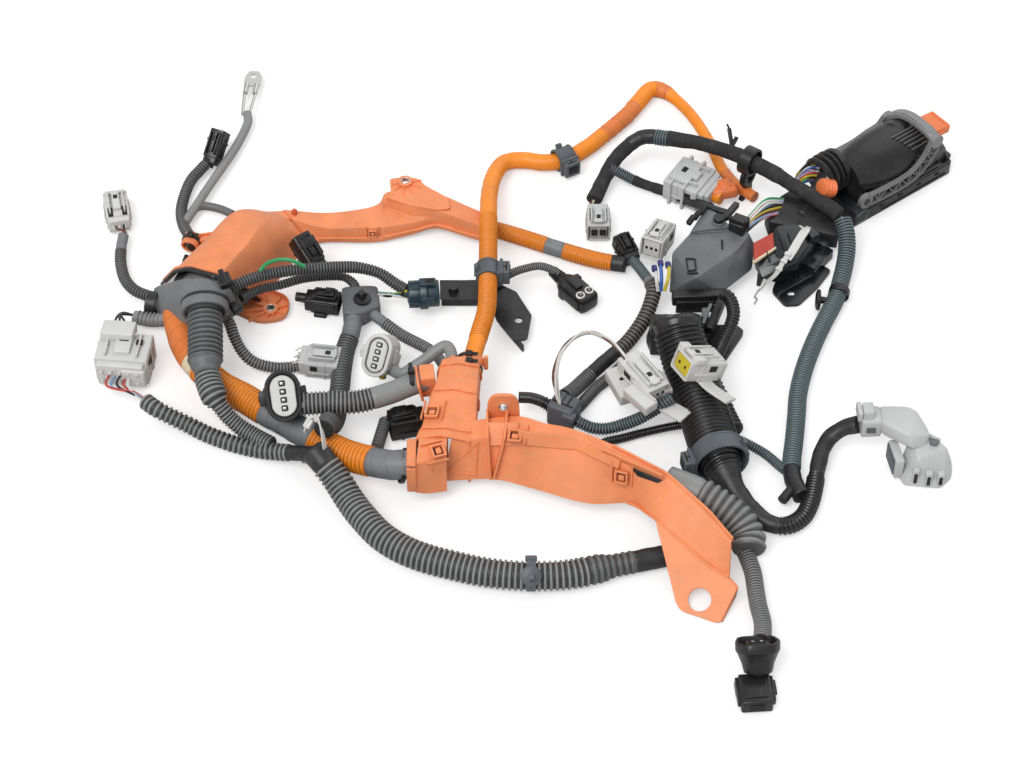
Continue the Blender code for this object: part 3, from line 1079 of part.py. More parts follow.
# Junction cover, its frame, the fuse housing and the clamp
def make_junction_cover():
    cover = Piece("junction_cover", hull([
        (.137, .070, .020), (.146, .104, .046), (.162, .128, .050), (.184, .160, .046), (.204, .166, .044),
        (.226, .144, .044), (.232, .122, .030), (.224, .106, .0128), (.176, .072, .0125), (.158, .060, .0125),
        (.166, .072, .034), (.212, .112, .042)]), CLIP_GREY)
    cover.cut_in_frame(hull([
        (.142, .072, .008), (.150, .104, .040), (.166, .126, .044), (.186, .152, .038), (.204, .156, .036),
        (.220, .142, .036), (.224, .120, .022), (.216, .104, .002), (.174, .078, .002), (.158, .066, .002),
        (.150, .110, .002), (.190, .150, .002)]))
    cover.add_in_frame(rod(.0075, .010, sides=20), (.1805, .147, .050))
    cover.add_in_frame(box((.008, .010, .006), .0008), (.172, .116, .0470))
    cover.add_in_frame(box((.0016, .026, .003)), (.196, .135, .0475), (0, 0, 12))
    cover.seat("centre_conduit", "foam_branch", "foam_loom", "black_loop")

    support = Piece("support_frame", plate(
        [(.122, .052), (.128, .070), (.160, .066), (.205, .068), (.212, .060), (.190, .020), (.178, .018),
         (.176, .040), (.126, .036)], .012, .003), PLUG_BLACK, (0, 0, .0062))
    support.cut(box((.022, .020, .03)), (.188, .048, 0), (0, 0, -20))
    support.add(box((.050, .026, .030), .0015), (.148, .044, .018))
    support.add(rod(TRUNK_RADIUS + .003, .012, "Y", sides=24), (.1455, .029, .0520), (26, 0, 12))
    support.seat("black_trunk", "black_loop", "centre_conduit", "trunk_side")
    support.cut_in_frame(box((.060, .012, .024)), (.180, .075, .014))

    housing = Piece("fuse_housing", hull([
        (.236, .150, .002), (.238, .166, .034), (.262, .190, .040), (.284, .192, .034), (.296, .168, .002),
        (.268, .128, .000), (.246, .120, .000), (.250, .130, .024), (.288, .168, .022)]), PLUG_BLACK)
    housing.add_in_frame(box((.030, .026, .0030), .001), (.262, .116, .0016), (0, 0, 40))
    housing.cut_in_frame(box((.0062, .0062, .02)), (.2585, .1105, .002), (0, 0, 40))
    housing.add_in_frame(box((.014, .034, .012), .001), (.286, .150, .0062), (0, 0, -38))
    housing.add_in_frame(box((.004, .026, .020), .001), (.2335, .134, .012), (0, 0, -20))
    housing.add_in_frame(tube_mesh("wire_neck"))
    housing.seat("foam_loom", "right_hose")


def make_clamp():
    clamp = Piece("loom_clamp", rod(.0110, .006, "Y", sides=24), PLUG_BLACK, (.2255, .2455, .0250), (0, 0, 55))
    clamp.cut(rod(.0068, .02, "Y", sides=24))
    clamp.add(box((.012, .005, .012), .001), (0, 0, -.0145))
    clamp.add(rod(FOAM_RADIUS + .0022, .012, "Y", sides=20), (0, 0, .0190))
    clamp.seat("foam_loom", "foam_branch", "hv_upper_cable")


def block_clip(name, at, turn, route, radius):
    """Grey snap clip round a cable, with its slotted mounting block."""
    clip = Piece(name, rod(radius + .0026, .018, "Y", sides=20), CLIP_GREY, at, turn)
    clip.add(box((.012, .016, .016), .001), (radius + .006, 0, 0))
    clip.cut(box((.0022, .010, .012)), (radius + .008, -.004, .004))
    clip.cut(box((.006, .0026, .012)), (radius + .007, .004, .004))
    clip.seat(*route)
    return clip


def make_clips():
    block_clip("upper_cable_clip", (-.0218, .100, .0412), (0, 0, 0), ["hv_upper_cable"], HV_UPPER_RADIUS)
    block_clip("rear_cable_clip", (.0500, .2845, .0110), (0, 0, -62), ["hv_upper_cable"], HV_UPPER_RADIUS)
    block_clip("trunk_clip", (.1795, -.107, .0242), (0, 0, -166), ["black_trunk", "grey_end"], TRUNK_RADIUS)
    disc_radius = MAIN_RADIUS + .0026
    disc = Piece("disc_clip", rod(disc_radius, .008, "X", sides=20), CLIP_GREY, (.016, -.2278, disc_radius))
    disc.add(rod(.0085, .004, sides=20), (0, -.010, .010), (40, 0, 0))
    disc.add(rod(.0030, .008, sides=12), (0, -.014, .014), (40, 0, 0))
    disc.seat("main_loom")
    disc.cut(box((.020, .050, .010)), (0, 0, -disc_radius))


make_conduits()
make_centre_junction()
make_rear_guard()
make_front_guard()
make_left_hub()
make_left_connectors()
make_lower_left_connectors()
make_round_connector()
make_plug_pair()
make_bracket()
make_two_pin_connector()
make_small_socket()
make_front_connector()
make_right_connector()
make_rear_connectors()
make_trunk_connectors()
make_multiway_connector()
make_junction_cover()
make_clamp()
make_clips()
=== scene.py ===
import math

import bmesh
import bpy
import numpy as np
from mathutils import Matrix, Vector


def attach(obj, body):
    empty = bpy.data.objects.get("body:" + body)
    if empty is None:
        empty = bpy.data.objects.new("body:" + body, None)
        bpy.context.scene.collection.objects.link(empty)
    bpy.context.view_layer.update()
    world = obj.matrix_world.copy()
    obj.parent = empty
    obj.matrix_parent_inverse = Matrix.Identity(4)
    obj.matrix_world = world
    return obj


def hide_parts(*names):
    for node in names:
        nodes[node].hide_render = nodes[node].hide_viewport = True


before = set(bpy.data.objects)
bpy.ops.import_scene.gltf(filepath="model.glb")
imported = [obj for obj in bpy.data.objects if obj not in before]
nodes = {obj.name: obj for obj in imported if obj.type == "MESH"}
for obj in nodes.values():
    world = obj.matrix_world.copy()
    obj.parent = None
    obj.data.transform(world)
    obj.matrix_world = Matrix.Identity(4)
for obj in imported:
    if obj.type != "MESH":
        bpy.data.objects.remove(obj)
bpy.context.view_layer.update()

benchCentre = np.array([0.0202, 0.0272, 0.0])  # routes and places are measured on the bench, this is its middle
floorLift = 0.0001  # whatever would sink into the floor is held this far above it
scene = bpy.context.scene
print("frame loaded:", len(nodes), "nodes")

# Camera and light
cameraPlace = {"height": 1.7835, "back": -1.6331, "aside": -0.0202, "tiltDegrees": 42, "lens": 93.75}
camera = bpy.data.objects.new("camera", bpy.data.cameras.new("camera"))
scene.collection.objects.link(camera)
camera.location = (cameraPlace["aside"], cameraPlace["back"], cameraPlace["height"])
camera.rotation_euler = (math.radians(cameraPlace["tiltDegrees"]), 0, 0)
camera.data.lens = cameraPlace["lens"]
camera.data.sensor_width = 36
camera.data.clip_end = 20
scene.camera = camera
scene.view_settings.view_transform = "Standard"

lamps = {  # strength, direction from which it shines in degrees (turn, height), softness in degrees
    "keyLamp": (1.75, (-35, 58), 34),
    "rimLamp": (0.55, (150, 40), 60),
}


def addLamp(name, strength, turnHeight, softness):
    lamp = bpy.data.objects.new(name, bpy.data.lights.new(name, "SUN"))
    scene.collection.objects.link(lamp)
    lamp.data.energy = strength
    lamp.data.angle = math.radians(softness)
    turn, height = map(math.radians, turnHeight)
    away = Vector((math.sin(turn) * math.cos(height), -math.cos(turn) * math.cos(height), math.sin(height)))
    lamp.rotation_euler = away.to_track_quat("Z", "Y").to_euler()


for name, (strength, turnHeight, softness) in lamps.items():
    addLamp(name, strength, turnHeight, softness)


# Node helpers: a small set of words for wiring shaders
def wire(tree, source, target):
    tree.links.new(source, target)


def node(tree, kind, **values):
    made = tree.nodes.new(kind)
    for key, value in values.items():
        if hasattr(made, key):
            setattr(made, key, value)
        else:
            made.inputs[key].default_value = value
    return made


def mathNode(tree, operation, first, second=None):
    made = tree.nodes.new("ShaderNodeMath")
    made.operation = operation
    for socket, value in zip(made.inputs, (first, second)):
        if value is None:
            continue
        if isinstance(value, (int, float)):
            socket.default_value = value
        else:
            wire(tree, value, socket)
    return made.outputs[0]


def mixColour(tree, share, first, second):
    made = tree.nodes.new("ShaderNodeMix")
    made.data_type = "RGBA"
    made.clamp_factor = True
    for socket, value in ((made.inputs[0], share), (made.inputs[6], first), (made.inputs[7], second)):
        if isinstance(value, (int, float)):
            socket.default_value = value
        elif isinstance(value, tuple):
            socket.default_value = (*value[:3], 1)
        else:
            wire(tree, value, socket)
    return made.outputs[2]


def newGroup(name, inputs, outputs):
    # Shader group with named sockets: inputs are (name, kind, value), outputs (name, kind).
    group = bpy.data.node_groups.new(name, "ShaderNodeTree")
    for label, kind, value in inputs:
        socket = group.interface.new_socket(label, in_out="INPUT", socket_type=kind)
        if value is not None:
            socket.default_value = value
    for label, kind in outputs:
        group.interface.new_socket(label, in_out="OUTPUT", socket_type=kind)
    return group, group.nodes.new("NodeGroupInput").outputs, group.nodes.new("NodeGroupOutput").inputs


floatSocket, colourSocket, vectorSocket = "NodeSocketFloat", "NodeSocketColor", "NodeSocketVector"


def makeUsedPlastic():
    # Colour mottled by slow noise, dust that settles where a second noise is high, pores and scratches as height.
    group, take, give = newGroup("usedPlastic", [
        ("Place", vectorSocket, None), ("Colour", colourSocket, (0.5, 0.5, 0.5, 1)),
        ("Dust Colour", colourSocket, (0.5, 0.48, 0.45, 1)),
        ("Mottle", floatSocket, 0.15), ("Dust", floatSocket, 0.2), ("Roughness", floatSocket, 0.5),
        ("Grain Size", floatSocket, 900.0), ("Scratches", floatSocket, 0.3)],
        [("Colour", colourSocket), ("Roughness", floatSocket), ("Height", floatSocket)])
    slow = node(group, "ShaderNodeTexNoise", Scale=38.0, Detail=4.0, Roughness=0.6)
    dusty = node(group, "ShaderNodeTexNoise", Scale=95.0, Detail=6.0, Roughness=0.72)
    grain = node(group, "ShaderNodeTexNoise", Detail=3.0, Roughness=0.55)
    stretch = node(group, "ShaderNodeMapping")
    stretch.inputs["Scale"].default_value = (420, 60, 240)
    stretch.inputs["Rotation"].default_value = (0.3, 0.5, 0.7)
    lines = node(group, "ShaderNodeTexNoise", Scale=1.0, Detail=2.0, Roughness=0.5)
    for made in (slow, dusty, grain, stretch):
        wire(group, take["Place"], made.inputs["Vector"])
    wire(group, take["Grain Size"], grain.inputs["Scale"])
    wire(group, stretch.outputs[0], lines.inputs["Vector"])
    shade = mathNode(group, "MULTIPLY", mathNode(group, "SUBTRACT", slow.outputs["Fac"], 0.5), take["Mottle"])
    darker = node(group, "ShaderNodeHueSaturation", Hue=0.5, Saturation=1.0)
    wire(group, take["Colour"], darker.inputs["Color"])
    wire(group, mathNode(group, "ADD", mathNode(group, "MULTIPLY", shade, 2.4), 1.0), darker.inputs["Value"])
    settled = mathNode(group, "MULTIPLY", mathNode(group, "SMOOTH_MIN", mathNode(
        group, "MAXIMUM", mathNode(group, "SUBTRACT", dusty.outputs["Fac"], 0.5), 0.0), 0.25), take["Dust"])
    settled = mathNode(group, "MULTIPLY", settled, 4.0)
    scratch = mathNode(group, "GREATER_THAN", lines.outputs["Fac"], 0.71)
    scratch = mathNode(group, "MULTIPLY", scratch, take["Scratches"])
    colour = mixColour(group, settled, darker.outputs[0], take["Dust Colour"])
    colour = mixColour(group, mathNode(group, "MULTIPLY", scratch, 0.35), colour, take["Dust Colour"])
    wire(group, colour, give["Colour"])
    rough = mathNode(group, "ADD", take["Roughness"], mathNode(group, "MULTIPLY", settled, 0.3))
    rough = mathNode(group, "ADD", rough, mathNode(group, "MULTIPLY", shade, 0.5))
    wire(group, mathNode(group, "MINIMUM", rough, 0.95), give["Roughness"])
    height = mathNode(group, "SUBTRACT", grain.outputs["Fac"], mathNode(group, "MULTIPLY", scratch, 0.4))
    wire(group, height, give["Height"])
    return group


def makeTapeWrap():
    # Overlapping turns of tape: a saw wave along the cord, slanted by the angle round it, with wrinkles from noise.
    group, take, give = newGroup("tapeWrap", [("Along Round", vectorSocket, None), ("Pitch", floatSocket, 0.02)],
        [("Edge", floatSocket), ("Height", floatSocket)])
    split = node(group, "ShaderNodeSeparateXYZ")
    wire(group, take["Along Round"], split.inputs[0])
    turns = mathNode(group, "ADD", mathNode(group, "DIVIDE", split.outputs[0], take["Pitch"]), split.outputs[1])
    saw = mathNode(group, "FRACT", turns)
    # thin band at each lap, given out as the mask for painted shade where one turn steps onto the next
    edge = mathNode(group, "LESS_THAN", saw, 0.06)
    wrinkle = node(group, "ShaderNodeTexNoise", Scale=1.0, Detail=3.0)
    squeeze = node(group, "ShaderNodeMapping")
    squeeze.inputs["Scale"].default_value = (260, 9, 1)
    wire(group, take["Along Round"], squeeze.inputs["Vector"])
    wire(group, squeeze.outputs[0], wrinkle.inputs["Vector"])
    wire(group, edge, give["Edge"])
    wire(group, mathNode(group, "ADD", saw, mathNode(group, "MULTIPLY", wrinkle.outputs["Fac"], 0.5)), give["Height"])
    return group


usedPlastic = makeUsedPlastic()
tapeWrap = makeTapeWrap()

# Colour, roughness, mottle, dust, grain height in mm, grain size, scratches, tape pitch (0 without), coat
finishes = {
    "guardOrange": ((0.8, 0.262, 0.103), 0.52, 0.22, 0.3, 0.05, 900, 0.6, 0, 0),
    "cableOrange": ((0.87, 0.255, 0.01), 0.42, 0.2, 0.16, 0.03, 1200, 0.2, 0, 0),
    "orangeTape": ((0.72, 0.19, 0.035), 0.5, 0.25, 0.3, 0.04, 900, 0.3, 0.016, 0),
    "conduitBrown": ((0.135, 0.122, 0.112), 0.5, 0.25, 0.3, 0.03, 1100, 0.2, 0, 0),
    "conduitGrey": ((0.225, 0.228, 0.23), 0.5, 0.25, 0.3, 0.03, 1100, 0.2, 0, 0),
    "conduitDark": ((0.125, 0.128, 0.131), 0.48, 0.25, 0.25, 0.03, 1100, 0.2, 0, 0),
    "greyTape": ((0.17, 0.177, 0.188), 0.46, 0.2, 0.3, 0.05, 700, 0.2, 0.013, 0),
    "conduitBlue": ((0.125, 0.17, 0.182), 0.48, 0.25, 0.25, 0.03, 1100, 0.2, 0, 0),
    "conduitBlack": ((0.02, 0.02, 0.021), 0.28, 0.2, 0.12, 0.03, 1000, 0.2, 0, 0),
    "blackTape": ((0.018, 0.018, 0.02), 0.44, 0.2, 0.25, 0.06, 700, 0.2, 0.014, 0),
    "foamBlack": ((0.022, 0.021, 0.022), 0.85, 0.3, 0.35, 0.25, 420, 0.1, 0.022, 0),
    "smoothGrey": ((0.235, 0.24, 0.24), 0.42, 0.15, 0.3, 0.02, 900, 0.4, 0, 0),
    "hubGrey": ((0.165, 0.169, 0.173), 0.55, 0.3, 0.4, 0.06, 800, 0.4, 0, 0),
    "clipGrey": ((0.085, 0.096, 0.108), 0.45, 0.2, 0.25, 0.03, 900, 0.5, 0, 0),
    "coverGrey": ((0.135, 0.145, 0.152), 0.42, 0.25, 0.28, 0.04, 800, 0.7, 0, 0),
    "plugBlack": ((0.01, 0.01, 0.011), 0.32, 0.2, 0.12, 0.02, 1000, 0.5, 0, 0),
    "housingBlack": ((0.009, 0.01, 0.012), 0.24, 0.2, 0.16, 0.02, 1000, 0.8, 0, 0.15),
    "bracketBlack": ((0.012, 0.012, 0.013), 0.34, 0.3, 0.2, 0.05, 700, 0.8, 0, 0),
    "plugWhite": ((0.6, 0.6, 0.585), 0.42, 0.1, 0.25, 0.02, 900, 0.3, 0, 0),
    "plugPale": ((0.5, 0.505, 0.505), 0.42, 0.14, 0.3, 0.02, 900, 0.3, 0, 0),
    "plugTeal": ((0.016, 0.04, 0.055), 0.34, 0.2, 0.15, 0.02, 900, 0.4, 0, 0),
    "leverGrey": ((0.15, 0.15, 0.154), 0.46, 0.25, 0.3, 0.03, 900, 0.6, 0, 0),
    "barGrey": ((0.22, 0.22, 0.225), 0.46, 0.2, 0.25, 0.03, 900, 0.6, 0, 0),
    "tabOrange": ((0.78, 0.19, 0.055), 0.45, 0.15, 0.2, 0.02, 900, 0.4, 0, 0),
    "tinnedSteel": ((0.6, 0.6, 0.58), 0.3, 0.15, 0.15, 0.02, 600, 0.6, 0, 0),
    "creamPatch": ((0.72, 0.6, 0.42), 0.5, 0.2, 0.3, 0.03, 800, 0.3, 0, 0),
    "tieBlack": ((0.01, 0.01, 0.011), 0.4, 0.15, 0.1, 0.02, 900, 0.2, 0, 0),
    "tieWhite": ((0.62, 0.62, 0.6), 0.4, 0.1, 0.15, 0.02, 900, 0.2, 0, 0),
    "sealOrange": ((0.6, 0.1, 0.03), 0.5, 0.15, 0.1, 0.02, 900, 0.1, 0, 0),
    "sealBlue": ((0.03, 0.03, 0.16), 0.45, 0.15, 0.1, 0.02, 900, 0.1, 0, 0),
    "insertYellow": ((0.55, 0.45, 0.02), 0.45, 0.15, 0.1, 0.02, 900, 0.1, 0, 0),
    "panelRed": ((0.45, 0.05, 0.03), 0.45, 0.2, 0.2, 0.02, 900, 0.3, 0, 0),
    "wireYellow": ((0.6, 0.47, 0.03), 0.38, 0.12, 0.15, 0.01, 900, 0.1, 0, 0),
    "wireBlue": ((0.04, 0.12, 0.42), 0.38, 0.12, 0.15, 0.01, 900, 0.1, 0, 0),
    "wireSky": ((0.2, 0.36, 0.55), 0.38, 0.12, 0.15, 0.01, 900, 0.1, 0, 0),
    "wireGreen": ((0.02, 0.3, 0.1), 0.38, 0.12, 0.15, 0.01, 900, 0.1, 0, 0),
    "wireWhite": ((0.66, 0.65, 0.62), 0.38, 0.12, 0.15, 0.01, 900, 0.1, 0, 0),
    "wireRed": ((0.5, 0.04, 0.03), 0.38, 0.12, 0.15, 0.01, 900, 0.1, 0, 0),
    "wireBrown": ((0.13, 0.055, 0.025), 0.38, 0.12, 0.15, 0.01, 900, 0.1, 0, 0),
    "wireBlack": ((0.012, 0.012, 0.012), 0.38, 0.12, 0.15, 0.01, 900, 0.1, 0, 0),
    "wirePink": ((0.55, 0.28, 0.3), 0.38, 0.12, 0.15, 0.01, 900, 0.1, 0, 0),
    # painted shade: near-black sheets laid over holes, slots and pockets stand in for the dark inside them
    "paintedCavityShade": ((0.004, 0.004, 0.004), 0.6, 0.1, 0.02, 0.01, 900, 0.0, 0, 0),
}
madeFinishes = {}


def finish(name):
    # Material of the table above, made the first time it is asked for.
    if name in madeFinishes:
        return madeFinishes[name]
    colour, roughness, mottle, dust, grainMm, grainSize, scratches, tapePitch, coat = finishes[name]
    made = bpy.data.materials.new(name)
    made.use_nodes = True
    made.diffuse_color = (*colour, 1)
    tree = made.node_tree
    shader = tree.nodes["Principled BSDF"]
    place = node(tree, "ShaderNodeTexCoord")
    skin = node(tree, "ShaderNodeGroup", node_tree=usedPlastic)
    wire(tree, place.outputs["Object"], skin.inputs["Place"])
    skin.inputs["Colour"].default_value = (*colour, 1)
    for socket, value in (("Mottle", mottle), ("Dust", dust), ("Roughness", roughness),
            ("Grain Size", float(grainSize)), ("Scratches", scratches)):
        skin.inputs[socket].default_value = value
    dustShade = 0.55 if max(colour) > 0.3 else 0.3
    skin.inputs["Dust Colour"].default_value = (*[dustShade * 0.5 + 0.5 * value for value in colour], 1)
    colourOut, heightOut = skin.outputs["Colour"], skin.outputs["Height"]
    if tapePitch:
        wrap = node(tree, "ShaderNodeGroup", node_tree=tapeWrap)
        wrap.inputs["Pitch"].default_value = tapePitch
        wire(tree, place.outputs["UV"], wrap.inputs["Along Round"])
        # painted shade: the lap band is darkened at the step of each turn of tape
        colourOut = mixColour(tree, mathNode(tree, "MULTIPLY", wrap.outputs["Edge"], 0.5), colourOut,
            tuple(value * 0.45 for value in colour))
        heightOut = mathNode(tree, "ADD", mathNode(tree, "MULTIPLY", heightOut, 0.3), wrap.outputs["Height"])
    if name.startswith(("conduit", "cable")):  # painted shade darkens the grooves between the ridges
        grooveShade = node(tree, "ShaderNodeAttribute")
        grooveShade.attribute_name = "grooveShade"
        colourOut = mixColour(tree, mathNode(tree, "MULTIPLY", grooveShade.outputs["Fac"],
            0.55 if name == "cableOrange" else 0.92),
            colourOut, tuple(value * (0.35 if name == "cableOrange" else 0.06) for value in colour))
    bump = node(tree, "ShaderNodeBump", Strength=0.5, Distance=grainMm / 1000 * (4 if tapePitch else 1))
    wire(tree, heightOut, bump.inputs["Height"])
    wire(tree, colourOut, shader.inputs["Base Color"])
    wire(tree, skin.outputs["Roughness"], shader.inputs["Roughness"])
    wire(tree, bump.outputs[0], shader.inputs["Normal"])
    shader.inputs["Metallic"].default_value = 1.0 if name == "tinnedSteel" else 0.0
    shader.inputs["Coat Weight"].default_value = coat
    madeFinishes[name] = made
    return made


# Table and surroundings
def makeStage():
    # White table whose camera colour is part its own light, so the shadow stays soft, and a white world.
    size = 30.0
    mesh = bpy.data.meshes.new("table")
    mesh.from_pydata([(-size, -size, 0), (size, -size, 0), (size, size, 0), (-size, size, 0)], [], [(0, 1, 2, 3)])
    table = bpy.data.objects.new("table", mesh)
    scene.collection.objects.link(table)
    table.location.z = -0.0004
    paper = bpy.data.materials.new("tablePaper")
    paper.use_nodes = True
    tree = paper.node_tree
    shader = tree.nodes["Principled BSDF"]
    place = node(tree, "ShaderNodeTexCoord")
    clouds = node(tree, "ShaderNodeTexNoise", Scale=3.0, Detail=2.0)
    wire(tree, place.outputs["Object"], clouds.inputs["Vector"])
    wire(tree, mixColour(tree, clouds.outputs["Fac"], (0.62, 0.62, 0.62), (0.66, 0.66, 0.66)),
        shader.inputs["Base Color"])
    shader.inputs["Roughness"].default_value = 0.9
    shader.inputs["Specular IOR Level"].default_value = 0.0
    seen = node(tree, "ShaderNodeLightPath")
    shader.inputs["Emission Color"].default_value = (1, 1, 1, 1)
    wire(tree, mathNode(tree, "MULTIPLY", seen.outputs["Is Camera Ray"], 0.42), shader.inputs["Emission Strength"])
    mesh.materials.append(paper)
    world = bpy.data.worlds.new("softRoom")
    scene.world = world
    world.use_nodes = True
    tree = world.node_tree
    light = tree.nodes["Background"]
    path = node(tree, "ShaderNodeLightPath")
    wire(tree, mathNode(tree, "ADD", mathNode(tree, "MULTIPLY", path.outputs["Is Camera Ray"], 0.4), 0.6),
        light.inputs["Strength"])
    light.inputs["Color"].default_value = (1, 1, 1, 1)


makeStage()
print("camera, light and table ready")

